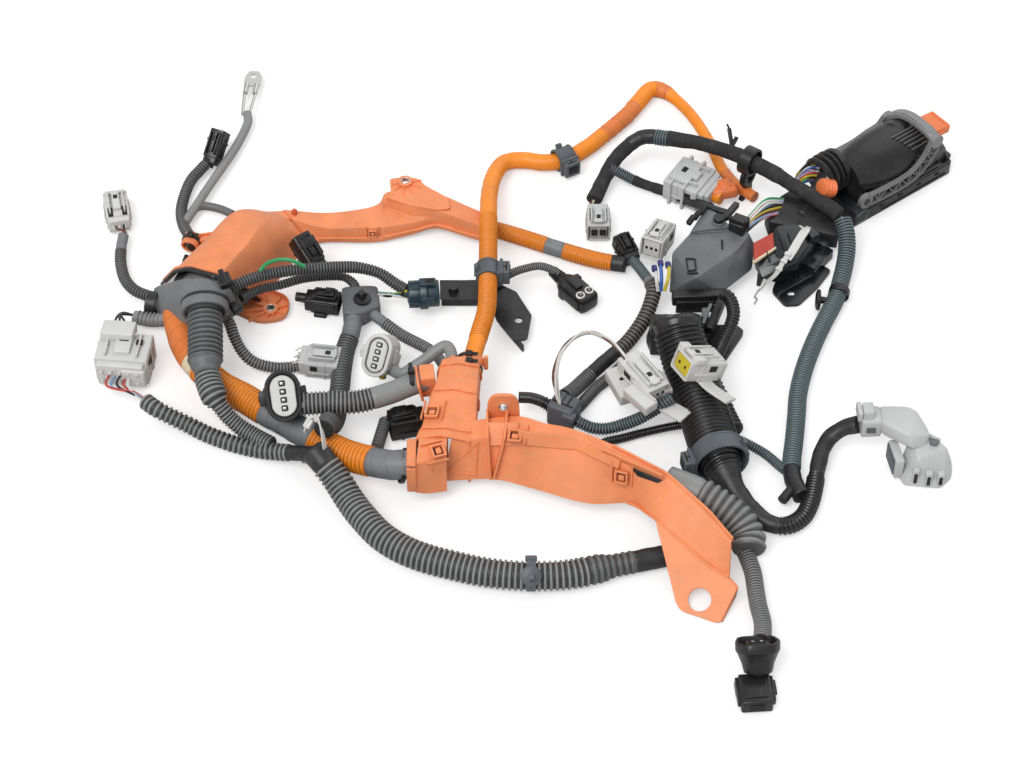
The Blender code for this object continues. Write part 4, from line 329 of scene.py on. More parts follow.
routes = {  # radius, or (share of the length, radius) where it changes, then the listed points on the bench
    "smallLeftConduit": (0.005, [(-0.366, 0.179, 0.01), (-0.367, 0.165, 0.008), (-0.366, 0.148, 0.006),
        (-0.36, 0.126, 0.006), (-0.35, 0.112, 0.006), (-0.338, 0.105, 0.006), (-0.326, 0.1, 0.007)]),
    "rearLeftConduit": (0.005, [(-0.294, 0.2815, 0.009), (-0.3, 0.272, 0.0085), (-0.309, 0.257, 0.007),
        (-0.314, 0.235, 0.006), (-0.315, 0.215, 0.006), (-0.311, 0.195, 0.008), (-0.303, 0.175, 0.012),
        (-0.299, 0.16, 0.014)]),
    "ringLeadSleeve": (0.0043, [(-0.261, 0.351, 0.0088), (-0.26, 0.336, 0.008), (-0.269, 0.303, 0.008),
        (-0.281, 0.271, 0.009), (-0.293, 0.241, 0.009), (-0.303, 0.216, 0.008), (-0.31, 0.198, 0.008)]),
    "foldedStub": (0.004, [(-0.309, 0.201, 0.008), (-0.305, 0.214, 0.007), (-0.299, 0.222, 0.006),
        (-0.291, 0.224, 0.005), (-0.278, 0.22, 0.005), (-0.266, 0.213, 0.005)]),
    "crossingConduit": (0.0052, [(-0.262, 0.065, 0.05), (-0.247, 0.075, 0.052), (-0.228, 0.085, 0.052),
        (-0.206, 0.093, 0.05), (-0.181, 0.1, 0.046), (-0.158, 0.108, 0.04), (-0.14, 0.113, 0.034),
        (-0.122, 0.112, 0.028), (-0.108, 0.104, 0.023), (-0.097, 0.097, 0.021)]),
    "secondCrossing": (0.004, [(-0.246, 0.074, 0.034), (-0.231, 0.087, 0.032), (-0.212, 0.095, 0.03),
        (-0.192, 0.105, 0.028), (-0.172, 0.112, 0.024), (-0.156, 0.115, 0.02), (-0.146, 0.109, 0.017),
        (-0.143, 0.098, 0.016)]),
    "hubLowerConduit": (0.005, [(-0.266, 0.062, 0.036), (-0.256, 0.05, 0.028), (-0.251, 0.038, 0.022),
        (-0.243, 0.026, 0.014), (-0.232, 0.018, 0.009), (-0.216, 0.014, 0.007), (-0.2, 0.014, 0.007),
        (-0.186, 0.015, 0.009)]),
    "leftLeg": (0.0085, [(-0.144, 0.072, 0.014), (-0.147, 0.05, 0.011), (-0.151, 0.033, 0.0092),
        (-0.153, 0.011, 0.009), (-0.154, -0.015, 0.009), (-0.155, -0.035, 0.009), (-0.156, -0.05, 0.011),
        (-0.158, -0.066, 0.02), (-0.16, -0.076, 0.035), (-0.163, -0.091, 0.042)]),
    "rightLeg": (0.005, [(-0.134, 0.082, 0.013), (-0.124, 0.07, 0.014), (-0.111, 0.058, 0.013),
        (-0.099, 0.048, 0.012), (-0.077, 0.029, 0.016), (-0.066, 0.012, 0.022), (-0.06, -0.004, 0.026)]),
    "ovalLead": (0.0098, [(-0.186, -0.06, 0.04), (-0.163, -0.058, 0.04), (-0.136, -0.056, 0.039),
        (-0.11, -0.048, 0.04), (-0.087, -0.038, 0.042), (-0.072, -0.033, 0.043)]),
    "smoothSleeve": (0.0054, [(-0.108, -0.006, 0.0265), (-0.098, -0.015, 0.03), (-0.087, -0.012, 0.036),
        (-0.075, -0.007, 0.042), (-0.065, -0.002, 0.048), (-0.058, -0.001, 0.051), (-0.054, -0.008, 0.05),
        (-0.053, -0.019, 0.047)]),
    "leftLoom": ([(0, 0.015), (0.36, 0.015), (0.39, 0.0112), (0.58, 0.0112), (0.63, 0.0072), (1, 0.0072)], [
        (-0.275, 0.042, 0.058), (-0.273, 0.018, 0.052), (-0.272, -0.001, 0.046), (-0.271, -0.016, 0.042),
        (-0.267, -0.033, 0.039), (-0.261, -0.048, 0.036), (-0.254, -0.056, 0.029), (-0.247, -0.061, 0.022),
        (-0.237, -0.067, 0.016), (-0.225, -0.074, 0.013), (-0.21, -0.084, 0.013)]),
    "lowerLeftConduit": (0.007, [(-0.3245, -0.0365, 0.0175), (-0.314, -0.046, 0.018), (-0.3, -0.052, 0.014),
        (-0.285, -0.058, 0.01), (-0.27, -0.066, 0.008), (-0.253, -0.074, 0.0075), (-0.238, -0.08, 0.0075),
        (-0.219, -0.086, 0.0085), (-0.199, -0.092, 0.013), (-0.184, -0.099, 0.02), (-0.171, -0.106, 0.027)]),
    "hvLowerCable": (0.013, [(-0.307, 0.091, 0.014), (-0.306, 0.071, 0.0138), (-0.3, 0.046, 0.0135),
        (-0.291, 0.024, 0.0135), (-0.277, 0.004, 0.0135), (-0.259, -0.015, 0.0135), (-0.238, -0.029, 0.0135),
        (-0.22, -0.043, 0.0135), (-0.2, -0.057, 0.0135), (-0.181, -0.071, 0.0135), (-0.161, -0.086, 0.014),
        (-0.144, -0.099, 0.018), (-0.125, -0.111, 0.024), (-0.103, -0.121, 0.03), (-0.084, -0.122, 0.034),
        (-0.068, -0.121, 0.036)]),
    "mainLoom": ([(0, 0.012), (0.83, 0.012), (0.86, 0.0095), (1, 0.0095)], [(-0.171, -0.106, 0.032),
        (-0.162, -0.117, 0.028), (-0.151, -0.129, 0.02), (-0.139, -0.147, 0.0135), (-0.127, -0.165, 0.0122),
        (-0.111, -0.185, 0.0122), (-0.093, -0.199, 0.0122), (-0.073, -0.209, 0.0122), (-0.052, -0.216, 0.0122),
        (-0.027, -0.223, 0.0122), (-0.002, -0.227, 0.0122), (0.024, -0.228, 0.0122), (0.049, -0.226, 0.0122),
        (0.074, -0.219, 0.011), (0.095, -0.213, 0.01), (0.112, -0.209, 0.01), (0.134, -0.204, 0.01)]),
    "hvUpperCable": ([(0, 0.0081), (0.74, 0.0081), (0.77, 0.0055), (1, 0.0055)], [(-0.039, -0.025, 0.044),
        (-0.035, -0.01, 0.046), (-0.029, 0.019, 0.046), (-0.023, 0.051, 0.044), (-0.022, 0.085, 0.042),
        (-0.022, 0.117, 0.04), (-0.022, 0.149, 0.038), (-0.022, 0.191, 0.032), (-0.021, 0.226, 0.024),
        (-0.016, 0.259, 0.015), (-0.007, 0.28, 0.009), (0.01, 0.284, 0.0085), (0.031, 0.281, 0.0085),
        (0.047, 0.283, 0.0085), (0.061, 0.291, 0.0085), (0.078, 0.307, 0.0085), (0.095, 0.326, 0.0085),
        (0.112, 0.347, 0.0085), (0.126, 0.369, 0.0085), (0.137, 0.386, 0.008), (0.149, 0.387, 0.007),
        (0.162, 0.375, 0.006), (0.176, 0.353, 0.006), (0.187, 0.328, 0.006), (0.196, 0.3, 0.007),
        (0.202, 0.276, 0.0075), (0.211, 0.256, 0.008), (0.222, 0.243, 0.008), (0.232, 0.232, 0.0085)]),
    "hvRearCable": (0.0078, [(-0.022, 0.19, 0.0095), (-0.002, 0.183, 0.0085), (0.017, 0.175, 0.0083),
        (0.041, 0.164, 0.0082), (0.064, 0.154, 0.0082), (0.085, 0.146, 0.009), (0.106, 0.141, 0.01)]),
    "twoPinLead": (0.0038, [(-0.017, 0.11, 0.0135), (-0.008, 0.12, 0.0135), (0.002, 0.127, 0.014),
        (0.013, 0.131, 0.015), (0.025, 0.133, 0.016), (0.036, 0.13, 0.015), (0.044, 0.124, 0.013)]),
    "foamLoom": (0.0073, [(0.078, 0.229, 0.008), (0.09, 0.258, 0.012), (0.1, 0.274, 0.02),
        (0.111, 0.282, 0.028), (0.122, 0.287, 0.034), (0.133, 0.286, 0.038), (0.147, 0.281, 0.04),
        (0.161, 0.277, 0.042), (0.187, 0.269, 0.042), (0.212, 0.255, 0.044), (0.232, 0.241, 0.044),
        (0.251, 0.225, 0.044), (0.267, 0.21, 0.044), (0.283, 0.197, 0.042), (0.296, 0.187, 0.04),
        (0.306, 0.179, 0.037)]),
    "foamBranch": (0.005, [(0.095, 0.265, 0.016), (0.106, 0.261, 0.012), (0.117, 0.257, 0.008),
        (0.129, 0.252, 0.006), (0.14, 0.247, 0.006), (0.153, 0.24, 0.006), (0.166, 0.229, 0.009),
        (0.179, 0.217, 0.014), (0.188, 0.206, 0.02)]),
    "rightHose": (0.0078, [(0.309, 0.176, 0.034), (0.312, 0.164, 0.028), (0.312, 0.15, 0.021),
        (0.309, 0.134, 0.015), (0.304, 0.116, 0.011), (0.299, 0.099, 0.009), (0.293, 0.085, 0.0083),
        (0.285, 0.068, 0.0082), (0.276, 0.047, 0.0082), (0.267, 0.023, 0.0082), (0.26, 0, 0.0082),
        (0.255, -0.022, 0.0082), (0.252, -0.046, 0.0082), (0.248, -0.074, 0.0085), (0.244, -0.1, 0.009),
        (0.244, -0.12, 0.009), (0.25, -0.139, 0.009)]),
    "blueLink": (0.004, [(0.196, -0.068, 0.005), (0.211, -0.078, 0.005), (0.223, -0.088, 0.005),
        (0.233, -0.101, 0.006), (0.243, -0.114, 0.008)]),
    "shortLink": (0.0045, [(0.247, -0.124, 0.009), (0.24, -0.133, 0.009), (0.233, -0.143, 0.009)]),
    "centreConduit": ([(0, 0.0046), (0.17, 0.0046), (0.2, 0.0064), (1, 0.0064)], [(0.111, 0.147, 0.012),
        (0.117, 0.135, 0.014), (0.124, 0.117, 0.018), (0.13, 0.101, 0.02), (0.128, 0.087, 0.018),
        (0.121, 0.069, 0.013), (0.11, 0.051, 0.009), (0.1, 0.038, 0.0075), (0.089, 0.027, 0.007),
        (0.076, 0.012, 0.007), (0.063, -0.005, 0.008), (0.054, -0.02, 0.013), (0.046, -0.035, 0.022)]),
    "centreSecondConduit": (0.005, [(0.1, 0.018, 0.0055), (0.089, 0.004, 0.0055), (0.077, -0.008, 0.0055),
        (0.069, -0.019, 0.0058), (0.061, -0.031, 0.0062), (0.054, -0.041, 0.007)]),
    "blackCrossConduit": (0.0052, [(0.006, -0.034, 0.02), (0.018, -0.035, 0.02), (0.028, -0.038, 0.018),
        (0.036, -0.043, 0.016), (0.045, -0.049, 0.015), (0.053, -0.054, 0.014), (0.062, -0.058, 0.012),
        (0.071, -0.061, 0.01), (0.083, -0.062, 0.01), (0.097, -0.061, 0.014), (0.111, -0.061, 0.022),
        (0.123, -0.059, 0.03), (0.133, -0.057, 0.038), (0.141, -0.054, 0.043)]),
    "blackThinConduit": (0.0038, [(0.07, -0.082, 0.006), (0.083, -0.074, 0.006), (0.097, -0.069, 0.005),
        (0.111, -0.064, 0.005), (0.126, -0.061, 0.007), (0.139, -0.06, 0.01), (0.154, -0.06, 0.014)]),
    "blackTrunk": ([(0, 0.0215), (0.36, 0.0215), (0.4, 0.0165), (0.46, 0.011), (0.55, 0.0088), (0.6, 0.0075),
    (1, 0.0075)], [
        (0.146, 0.024, 0.056), (0.149, 0.012, 0.05), (0.153, -0.001, 0.044), (0.157, -0.015, 0.038),
        (0.162, -0.031, 0.031), (0.166, -0.048, 0.026), (0.171, -0.067, 0.023), (0.175, -0.087, 0.022),
        (0.179, -0.105, 0.022), (0.184, -0.121, 0.0205), (0.19, -0.135, 0.016), (0.199, -0.148, 0.012),
        (0.21, -0.161, 0.0095), (0.222, -0.169, 0.0085), (0.236, -0.17, 0.0082), (0.249, -0.161, 0.0082),
        (0.257, -0.145, 0.0082), (0.262, -0.126, 0.0082), (0.266, -0.107, 0.009), (0.272, -0.088, 0.012),
        (0.28, -0.076, 0.017), (0.291, -0.073, 0.024), (0.302, -0.075, 0.03)]),
    "trunkSide": (0.0086, [(0.174, -0.005, 0.024), (0.179, -0.019, 0.018), (0.185, -0.032, 0.013),
        (0.19, -0.047, 0.01), (0.196, -0.064, 0.009)]),
    "blackLoop": (0.0057, [(0.19, 0.071, 0.044), (0.197, 0.066, 0.042), (0.2, 0.053, 0.038),
        (0.197, 0.041, 0.033), (0.19, 0.027, 0.028), (0.184, 0.013, 0.026), (0.178, -0.001, 0.025)]),
    "greyEnd": (0.014, [(0.133, -0.143, 0.034), (0.145, -0.149, 0.034), (0.158, -0.155, 0.033),
        (0.17, -0.162, 0.031), (0.183, -0.17, 0.027), (0.194, -0.179, 0.022), (0.2, -0.19, 0.017),
        (0.2, -0.202, 0.0145)]),
    "pigtail": (0.007, [(0.192, -0.185, 0.012), (0.196, -0.195, 0.009), (0.2, -0.207, 0.0075),
        (0.203, -0.222, 0.008), (0.204, -0.24, 0.009), (0.205, -0.258, 0.011), (0.207, -0.277, 0.014),
        (0.206, -0.292, 0.017), (0.2042, -0.301, 0.0195)]),
    "wireNeck": (0.0085, [(0.2995, 0.232, 0.04), (0.2905, 0.2185, 0.033), (0.28, 0.2, 0.027), (0.27, 0.186, 0.026)]),
    "wireArch": (0.0026, [(0.042, -0.047, 0.025), (0.039, -0.041, 0.034), (0.038, -0.03, 0.046),
        (0.042, -0.017, 0.056), (0.051, -0.006, 0.062), (0.062, 0.002, 0.064), (0.074, 0.004, 0.062),
        (0.087, -0.002, 0.058), (0.097, -0.013, 0.054), (0.104, -0.021, 0.05)]),
}

# Cords: a profile carried along a smooth line through the listed points


def smoothLine(points, perSpan=24):
    # Catmull-Rom: each span is the cubic through its ends whose slope at a point is half the chord of its neighbours.
    p = np.asarray(points, float) - benchCentre
    p = np.vstack([2 * p[0] - p[1], p, 2 * p[-1] - p[-2]])
    t = np.linspace(0, 1, perSpan, endpoint=False)[None, :, None]
    a, b, c, d = (p[k:len(p) - 3 + k, None, :] for k in range(4))
    spans = 0.5 * (2 * b + (c - a) * t + (2 * a - 5 * b + 4 * c - d) * t ** 2 + (3 * b - a - 3 * c + d) * t ** 3)
    return np.vstack([spans.reshape(-1, 3), p[-2]])


def runLength(line):
    # Distance along the line at each of its points: running sum of the chord lengths.
    return np.concatenate([[0], np.cumsum(np.linalg.norm(np.diff(line, axis=0), axis=1))])


def alongLine(line, places):
    # Points at the wanted distances, and unit tangents from the slope of the line there.
    reach = runLength(line)
    at = np.stack([np.interp(places, reach, line[:, k]) for k in range(3)], 1)
    near = np.stack([np.interp(places - 0.0015, reach, line[:, k]) for k in range(3)], 1)
    far = np.stack([np.interp(places + 0.0015, reach, line[:, k]) for k in range(3)], 1)
    run = far - near
    return at, run / np.linalg.norm(run, axis=1, keepdims=True)


def ripple(s, angle, seed, size=0.006):
    # Sum of five slanted sines of different lengths and turns, about -1 to 1: dents and wrinkles of soft wrapping.
    total = 0
    for k in range(5):
        turns = (seed * 3 + k * 2) % 5 - 2
        total = total + np.sin(s / size * (0.7 + 0.55 * k) + turns * angle + seed * 1.7 + k * 2.1) / (1 + 0.5 * k)
    return total / 2.6


def skinStations(kind, start, end, pitch, radius):
    # Distances of the rings in one section: six on each ridge, or even steps of a share of the radius.
    if kind in ("ridged", "round"):
        count = max(1, round((end - start) / pitch))
        true = (end - start) / count
        shares = np.array([0.0, 0.1, 0.42, 0.52, 0.62, 0.9]) if kind == "ridged" else np.arange(6) / 6
        return (start + (np.arange(count)[:, None] + shares[None, :]) * true).ravel()
    return np.linspace(start, end, max(3, int((end - start) / max(0.0016, radius * 0.28))), endpoint=False)


def skinHeight(kind, s, start, pitch, depth, angle, seed):
    # How far the surface stands above the bare radius: square-shouldered or round ridges, lapped turns, or wrinkles.
    if kind == "ridged":
        phase = ((s - start) / pitch) % 1
        top = np.clip(np.minimum(phase / 0.1, (0.52 - phase) / 0.1), 0, 1)
        return depth * (top - 0.5) + 0 * angle
    if kind == "round":
        return depth * (0.5 - 0.5 * np.cos(2 * np.pi * (s - start) / pitch)) ** 0.7 - depth / 2 + 0 * angle
    if kind == "taped":
        lap = ((s - start) / pitch + angle / (2 * np.pi)) % 1
        return depth * (0.5 - lap) * 0.6 + depth * 0.5 * ripple(s, angle, seed)
    if kind == "foam":
        lap = ((s - start) / pitch + angle / (2 * np.pi)) % 1
        return depth * ripple(s, angle, seed, 0.011) + depth * 0.35 * ripple(s, 2 * angle, seed + 3,
            0.004) - 0.4 * depth * lap
    return depth * ripple(s, angle, seed, 0.02)


def tube(name, rings, finishNames, ringFinish, places):
    # Rings of points joined into quads, with a flat cap of one face at each end and a UV of distance and turn.
    rows, around = rings.shape[:2]
    index = np.arange(rows * around).reshape(rows, around)
    near, far = index[:-1], index[1:]
    quads = np.stack([near, np.roll(near, -1, 1), np.roll(far, -1, 1), far], -1).reshape(-1, 4)
    mesh = bpy.data.meshes.new(name)
    faces = quads.tolist() + [index[0][::-1].tolist(), index[-1].tolist()]
    mesh.from_pydata(rings.reshape(-1, 3).tolist(), [], faces)
    perFace = np.concatenate([np.repeat(ringFinish[:-1], around), [ringFinish[0], ringFinish[-1]]]).astype(np.int32)
    for each in finishNames:
        mesh.materials.append(finish(each))
    mesh.polygons.foreach_set("material_index", perFace)
    smooth = np.ones(len(faces), bool)
    smooth[-2:] = False
    mesh.polygons.foreach_set("use_smooth", smooth)
    uv = mesh.uv_layers.new(name="alongRound")
    u = np.stack([places[:-1], places[:-1], places[1:], places[1:]], -1)[:, None, :].repeat(around, 1).reshape(-1, 4)
    step = np.arange(around) / around
    v = np.stack([step, step + 1 / around, step + 1 / around, step], -1)[None].repeat(rows - 1, 0).reshape(-1, 4)
    flat = np.stack([u, v], -1).reshape(-1, 2)
    caps = np.zeros((2 * around, 2))
    uv.data.foreach_set("uv", np.vstack([flat, caps]).astype(np.float32).ravel())
    made = bpy.data.objects.new(name, mesh)
    scene.collection.objects.link(made)
    return made


def ringPoints(at, run, radius, around):
    # Circle of each ring: side is level and across the run, up completes it, point = at + r(cos side + sin up).
    side = np.cross(run, [0, 0, 1.0])
    side /= np.linalg.norm(side, axis=1, keepdims=True)
    up = np.cross(side, run)
    angle = 2 * np.pi * np.arange(around) / around
    out = side[:, None, :] * np.cos(angle)[None, :, None] + up[:, None, :] * np.sin(angle)[None, :, None]
    return at[:, None, :] + out * radius[:, :, None]


def cordPiece(name, line, baseRadius, skin, around, seed):
    # Whole cord: sections of skin one after the other, radius = base radius at that share + height of the skin.
    reach = runLength(line)
    total = reach[-1]
    places, heights, grooveShades, finishIndex, names = [], [], [], [], []
    angle = 2 * np.pi * np.arange(around) / around
    start = 0.0
    for end, kind, pitch, depth, finishName in skin:
        end = min(end, total)
        share = (start + end) / 2 / total
        s = skinStations(kind, start, end, pitch, float(baseRadius(share)))
        count = max(1, round((end - start) / pitch)) if pitch else 1
        truePitch = (end - start) / count if kind in ("ridged", "round") else pitch
        heights.append(skinHeight(kind, s[:, None], start, truePitch or 1, depth, angle[None, :], seed)
            + np.zeros((len(s), around)))
        # how deep in a groove each ring point lies: the mask for the painted shade between the ridges
        grooveShades.append(0.5 - heights[-1] / depth if kind in ("ridged", "round") else 0 * heights[-1])
        if finishName not in names:
            names.append(finishName)
        finishIndex.append(np.full(len(s), names.index(finishName)))
        places.append(s)
        start = end
    places = np.concatenate(places + [[total]])
    heights = np.vstack(heights + [heights[-1][-1:]])
    finishIndex = np.concatenate(finishIndex + [[finishIndex[-1][-1]]])
    at, run = alongLine(line, places)
    rings = ringPoints(at, run, baseRadius(places / total)[:, None] + heights, around)
    rings[..., 2] = np.maximum(rings[..., 2], floorLift)
    made = tube(name, rings, names, finishIndex, places)
    grooveShade = made.data.attributes.new("grooveShade", "FLOAT", "POINT")
    grooveShade.data.foreach_set("value", np.vstack(grooveShades + [grooveShades[-1][-1:]]).astype(np.float32).ravel())
    return made, at



# How each cord is dressed: until which of its route's points, kind of skin, pitch mm, depth mm, finish
cords = {
    "smallLeftConduit": dict(skin=[(1.2, "taped", 9, 0.3, "greyTape"), (6, "ridged", 2.9, 0.9, "conduitDark")],
    replaces="small_left_conduit"),
    "rearLeftConduit": dict(skin=[(0.5, "taped", 10, 0.3, "blackTape"), (7, "ridged", 2.9, 0.9, "conduitDark")],
    replaces="rear_left_loom"),
    "ringLeadSleeve": dict(skin=[(6, "smooth", 0, 0.15, "smoothGrey")]),
    "foldedStub": dict(skin=[(5, "smooth", 0, 0.2, "conduitDark")]),
    "crossingConduit": dict(skin=[(0.6, "taped", 10, 0.3, "blackTape"), (9, "ridged", 2.8, 0.9, "conduitDark")]),
    "secondCrossing": dict(skin=[(7, "ridged", 2.6, 0.8, "conduitDark")]),
    "hubLowerConduit": dict(skin=[(7, "ridged", 2.9, 0.9, "conduitGrey")]),
    "leftLeg": dict(skin=[(1.2, "taped", 14, 0.5, "greyTape"), (9, "ridged", 3.3, 1.1, "conduitDark")],
    replaces="centre_junction"),
    "rightLeg": dict(skin=[(1.6, "taped", 12, 0.4, "greyTape"), (4.2, "ridged", 2.8, 0.9, "conduitGrey"),
    (6, "taped", 10, 0.3, "greyTape")]),
    "ovalLead": dict(skin=[(2.5, "ridged", 3.5, 1.3, "conduitGrey"), (5, "smooth", 0, 0.2, "smoothGrey")],
    replaces="oval_lead"),
    "smoothSleeve": dict(skin=[(7, "smooth", 0, 0.15, "smoothGrey")], replaces="smooth_sleeve"),
    "leftLoom": dict(skin=[(0.4, "smooth", 0, 0.3, "conduitDark"), (2.8, "round", 4.8, 1.9, "conduitDark"),
    (3.7, "smooth", 0, 0.5, "conduitDark"),
    (5.6, "ridged", 4.2, 1.5, "conduitGrey"), (10, "ridged", 3.2, 1.1, "conduitGrey")],
    replaces="left_loom"),
    "lowerLeftConduit": dict(skin=[(8.4, "ridged", 4.9, 1.5, "conduitGrey"),
    (10, "taped", 12, 0.4, "blackTape")], replaces="lower_left_conduit"),
    "hvLowerCable": dict(skin=[(3.4, "taped", 22, 0.4, "orangeTape"), (3.9, "smooth", 0, 0.4, "creamPatch"),
    (7.1, "ridged", 3.6, 0.8, "cableOrange"),
    (9.4, "taped", 15, 0.7, "greyTape"), (12.2, "ridged", 4.0, 1.2, "cableOrange"),
    (15, "taped", 15, 0.7, "greyTape")], replaces="hv_lower_cable"),
    "mainLoom": dict(skin=[(1.2, "taped", 15, 0.6, "blackTape"), (12.6, "ridged", 4.8, 1.6, "conduitGrey"),
    (14.5, "round", 6.0, 1.3, "conduitDark"), (16, "taped", 14, 0.6, "blackTape")],
    replaces="main_loom"),
    "hvUpperCable": dict(skin=[(1.8, "taped", 18, 0.35, "cableOrange"), (6.7, "ridged", 3.0, 0.9, "cableOrange"),
    (13.3, "taped", 17, 0.35, "cableOrange"), (13.9, "ridged", 2.6, 0.8, "cableOrange"),
    (15.6, "taped", 19, 0.35, "cableOrange"), (17.6, "taped", 9, 0.9, "orangeTape"),
    (19.4, "smooth", 0, 0.2, "cableOrange"), (20.6, "taped", 8, 0.9, "orangeTape"),
    (25.4, "smooth", 0, 0.25, "cableOrange"), (28, "taped", 9, 0.7, "orangeTape")],
    replaces="hv_upper_cable"),
    "hvRearCable": dict(skin=[(2.65, "ridged", 2.5, 0.7, "cableOrange"), (3.35, "taped", 8, 0.3, "greyTape"),
    (5.4, "ridged", 2.5, 0.7, "cableOrange"), (6, "taped", 9, 0.4, "blackTape")],
    replaces="hv_rear_cable"),
    "foamLoom": dict(skin=[(3.3, "foam", 30, 0.8, "foamBlack"), (5.4, "taped", 16, 0.9, "blackTape"),
    (6.3, "ridged", 2.6, 1.0, "conduitBlue"), (15, "foam", 26, 0.9, "foamBlack")],
    replaces="foam_loom"),
    "foamBranch": dict(skin=[(2.0, "ridged", 2.6, 0.9, "conduitBlue"), (6.2, "foam", 18, 0.8, "foamBlack"),
    (8, "taped", 9, 0.5, "blackTape")]),
    "rightHose": dict(skin=[(14.4, "ridged", 2.9, 1.0, "conduitBlue"), (16, "taped", 9, 0.5, "blackTape")],
    replaces="right_hose"),
    "blueLink": dict(skin=[(4, "ridged", 2.6, 0.8, "conduitBlue")]),
    "shortLink": dict(skin=[(2, "taped", 7, 0.3, "blackTape")]),
    "centreConduit": dict(skin=[(2.2, "ridged", 2.8, 0.8, "conduitBlue"), (2.6, "taped", 9, 0.4, "greyTape"),
    (7.6, "ridged", 4.0, 1.3, "conduitBrown"), (9.4, "taped", 14, 0.5, "blackTape"),
    (12, "ridged", 3.2, 1.1, "conduitDark")], replaces="centre_conduit"),
    "centreSecondConduit": dict(skin=[(5, "ridged", 2.8, 0.9, "conduitDark")], replaces="centre_second_conduit"),
    "blackCrossConduit": dict(skin=[(2.0, "smooth", 0, 0.2, "conduitBlack"),
    (5.6, "ridged", 2.8, 0.9, "conduitBlack"),
    (13, "ridged", 2.8, 0.9, "conduitBlue")], replaces="black_cross_conduit"),
    "blackThinConduit": dict(skin=[(6, "ridged", 2.4, 0.7, "conduitBlack")], replaces="black_thin_conduit"),
    "blackTrunk": dict(skin=[(0.6, "smooth", 0, 0.3, "conduitBlack"), (9.0, "round", 4.6, 2.4, "conduitBlack"),
    (11.5, "taped", 15, 1.0, "blackTape"), (13.5, "taped", 12, 0.6, "blackTape"),
    (17.5, "ridged", 3.2, 1.1, "conduitBlack"), (22, "foam", 15, 0.8, "blackTape")],
    replaces="black_trunk"),
    "trunkSide": dict(skin=[(4, "round", 4.6, 1.6, "conduitBlack")]),
    "blackLoop": dict(skin=[(6, "round", 3.1, 1.1, "conduitBlack")], replaces="black_loop"),
    "greyEnd": dict(skin=[(2.2, "smooth", 0, 0.4, "smoothGrey"), (7, "round", 6.8, 2.4, "conduitGrey")],
    replaces="grey_end_loom"),
    "pigtail": dict(skin=[(8, "ridged", 3.0, 1.0, "conduitGrey")]),
    "twoPinLead": dict(skin=[(9, "ridged", 2.0, 0.6, "conduitGrey")]),
    "wireNeck": dict(skin=[(3, "foam", 12, 0.8, "blackTape")]),
}
aroundOf = {"blackTrunk": 44, "hvLowerCable": 40, "mainLoom": 36, "leftLoom": 40, "greyEnd": 36}


def makeCord(name, settings, seed):
    # One cord: route to line, route points to distances, then the dressed tube. It rides and replaces as declared.
    radius, points = routes[name]
    line = smoothLine(points)
    reach = runLength(line)
    stations = [(0, radius), (1, radius)] if isinstance(radius, float) else radius

    def baseRadius(share):
        return np.interp(share, [s for s, _ in stations], [r for _, r in stations])

    skin = [(float(np.interp(until * 24, np.arange(len(reach)), reach)), kind, pitch / 1000, depth / 1000, finishName)
            for until, kind, pitch, depth, finishName in settings["skin"]]
    widest = max(r for _, r in stations)
    around = aroundOf.get(name, 28 if widest > 0.0065 else 22)
    made, path = cordPiece(name, line, baseRadius, skin, around, seed)
    if "replaces" in settings:
        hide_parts(settings["replaces"])
    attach(made, "root")
    return made


madeCords = {name: makeCord(name, settings, seed) for seed, (name, settings) in enumerate(cords.items(), 2)}
print("cords laid:", len(madeCords))


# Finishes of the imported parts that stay
nodeFinish = {
    "guardOrange": ["rear_guard", "front_guard"],
    "hubGrey": ["left_hub"],
    "plugWhite": ["three_way_connector", "large_white_connector", "oval_white_connector", "white_block_connector",
    "white_connector_group", "yellow_insert_connector"],
    "plugPale": ["clear_left_connector", "small_clear_connector", "large_clear_connector", "elbow_connector"],
    "plugBlack": ["two_way_connector", "oval_black_connector", "rear_plug", "lower_plug", "small_black_connector",
    "front_connector", "small_block_connector", "two_pin_connector", "loom_clamp"],
    "plugTeal": ["round_connector"],
    "tinnedSteel": ["ring_terminals"],
    "bracketBlack": ["folded_bracket", "support_frame"],
    "clipGrey": ["upper_cable_clip", "rear_cable_clip", "trunk_clip", "disc_clip", "wire_clip"],
    "housingBlack": ["multiway_housing", "slide_plate", "bellows_boot", "fuse_housing"],
    "leverGrey": ["truss_lever"],
    "tabOrange": ["lock_tab"],
    "coverGrey": ["junction_cover"],
    "wireWhite": ["wire_arch"],
}
for finishName, members in nodeFinish.items():
    for member in members:
        mesh = nodes[member].data
        mesh.materials.clear()
        mesh.materials.append(finish(finishName))
print("packed parts finished")


# Body builders: each gives points, faces and a finish; a piece joins several of them into one mesh


def turnMatrix(turn):
    # Rotation from three angles in degrees, about X first, then Y, then Z.
    a, b, c = np.radians(turn)
    rx = np.array([[1, 0, 0], [0, np.cos(a), -np.sin(a)], [0, np.sin(a), np.cos(a)]])
    ry = np.array([[np.cos(b), 0, np.sin(b)], [0, 1, 0], [-np.sin(b), 0, np.cos(b)]])
    rz = np.array([[np.cos(c), -np.sin(c), 0], [np.sin(c), np.cos(c), 0], [0, 0, 1]])
    return rz @ ry @ rx


def put(body, at=(0, 0, 0), turn=(0, 0, 0)):
    # The same body turned, then moved: point = rotation times point + place.
    points, faces, finishName = body
    return points @ turnMatrix(turn).T + np.asarray(at, float), faces, finishName


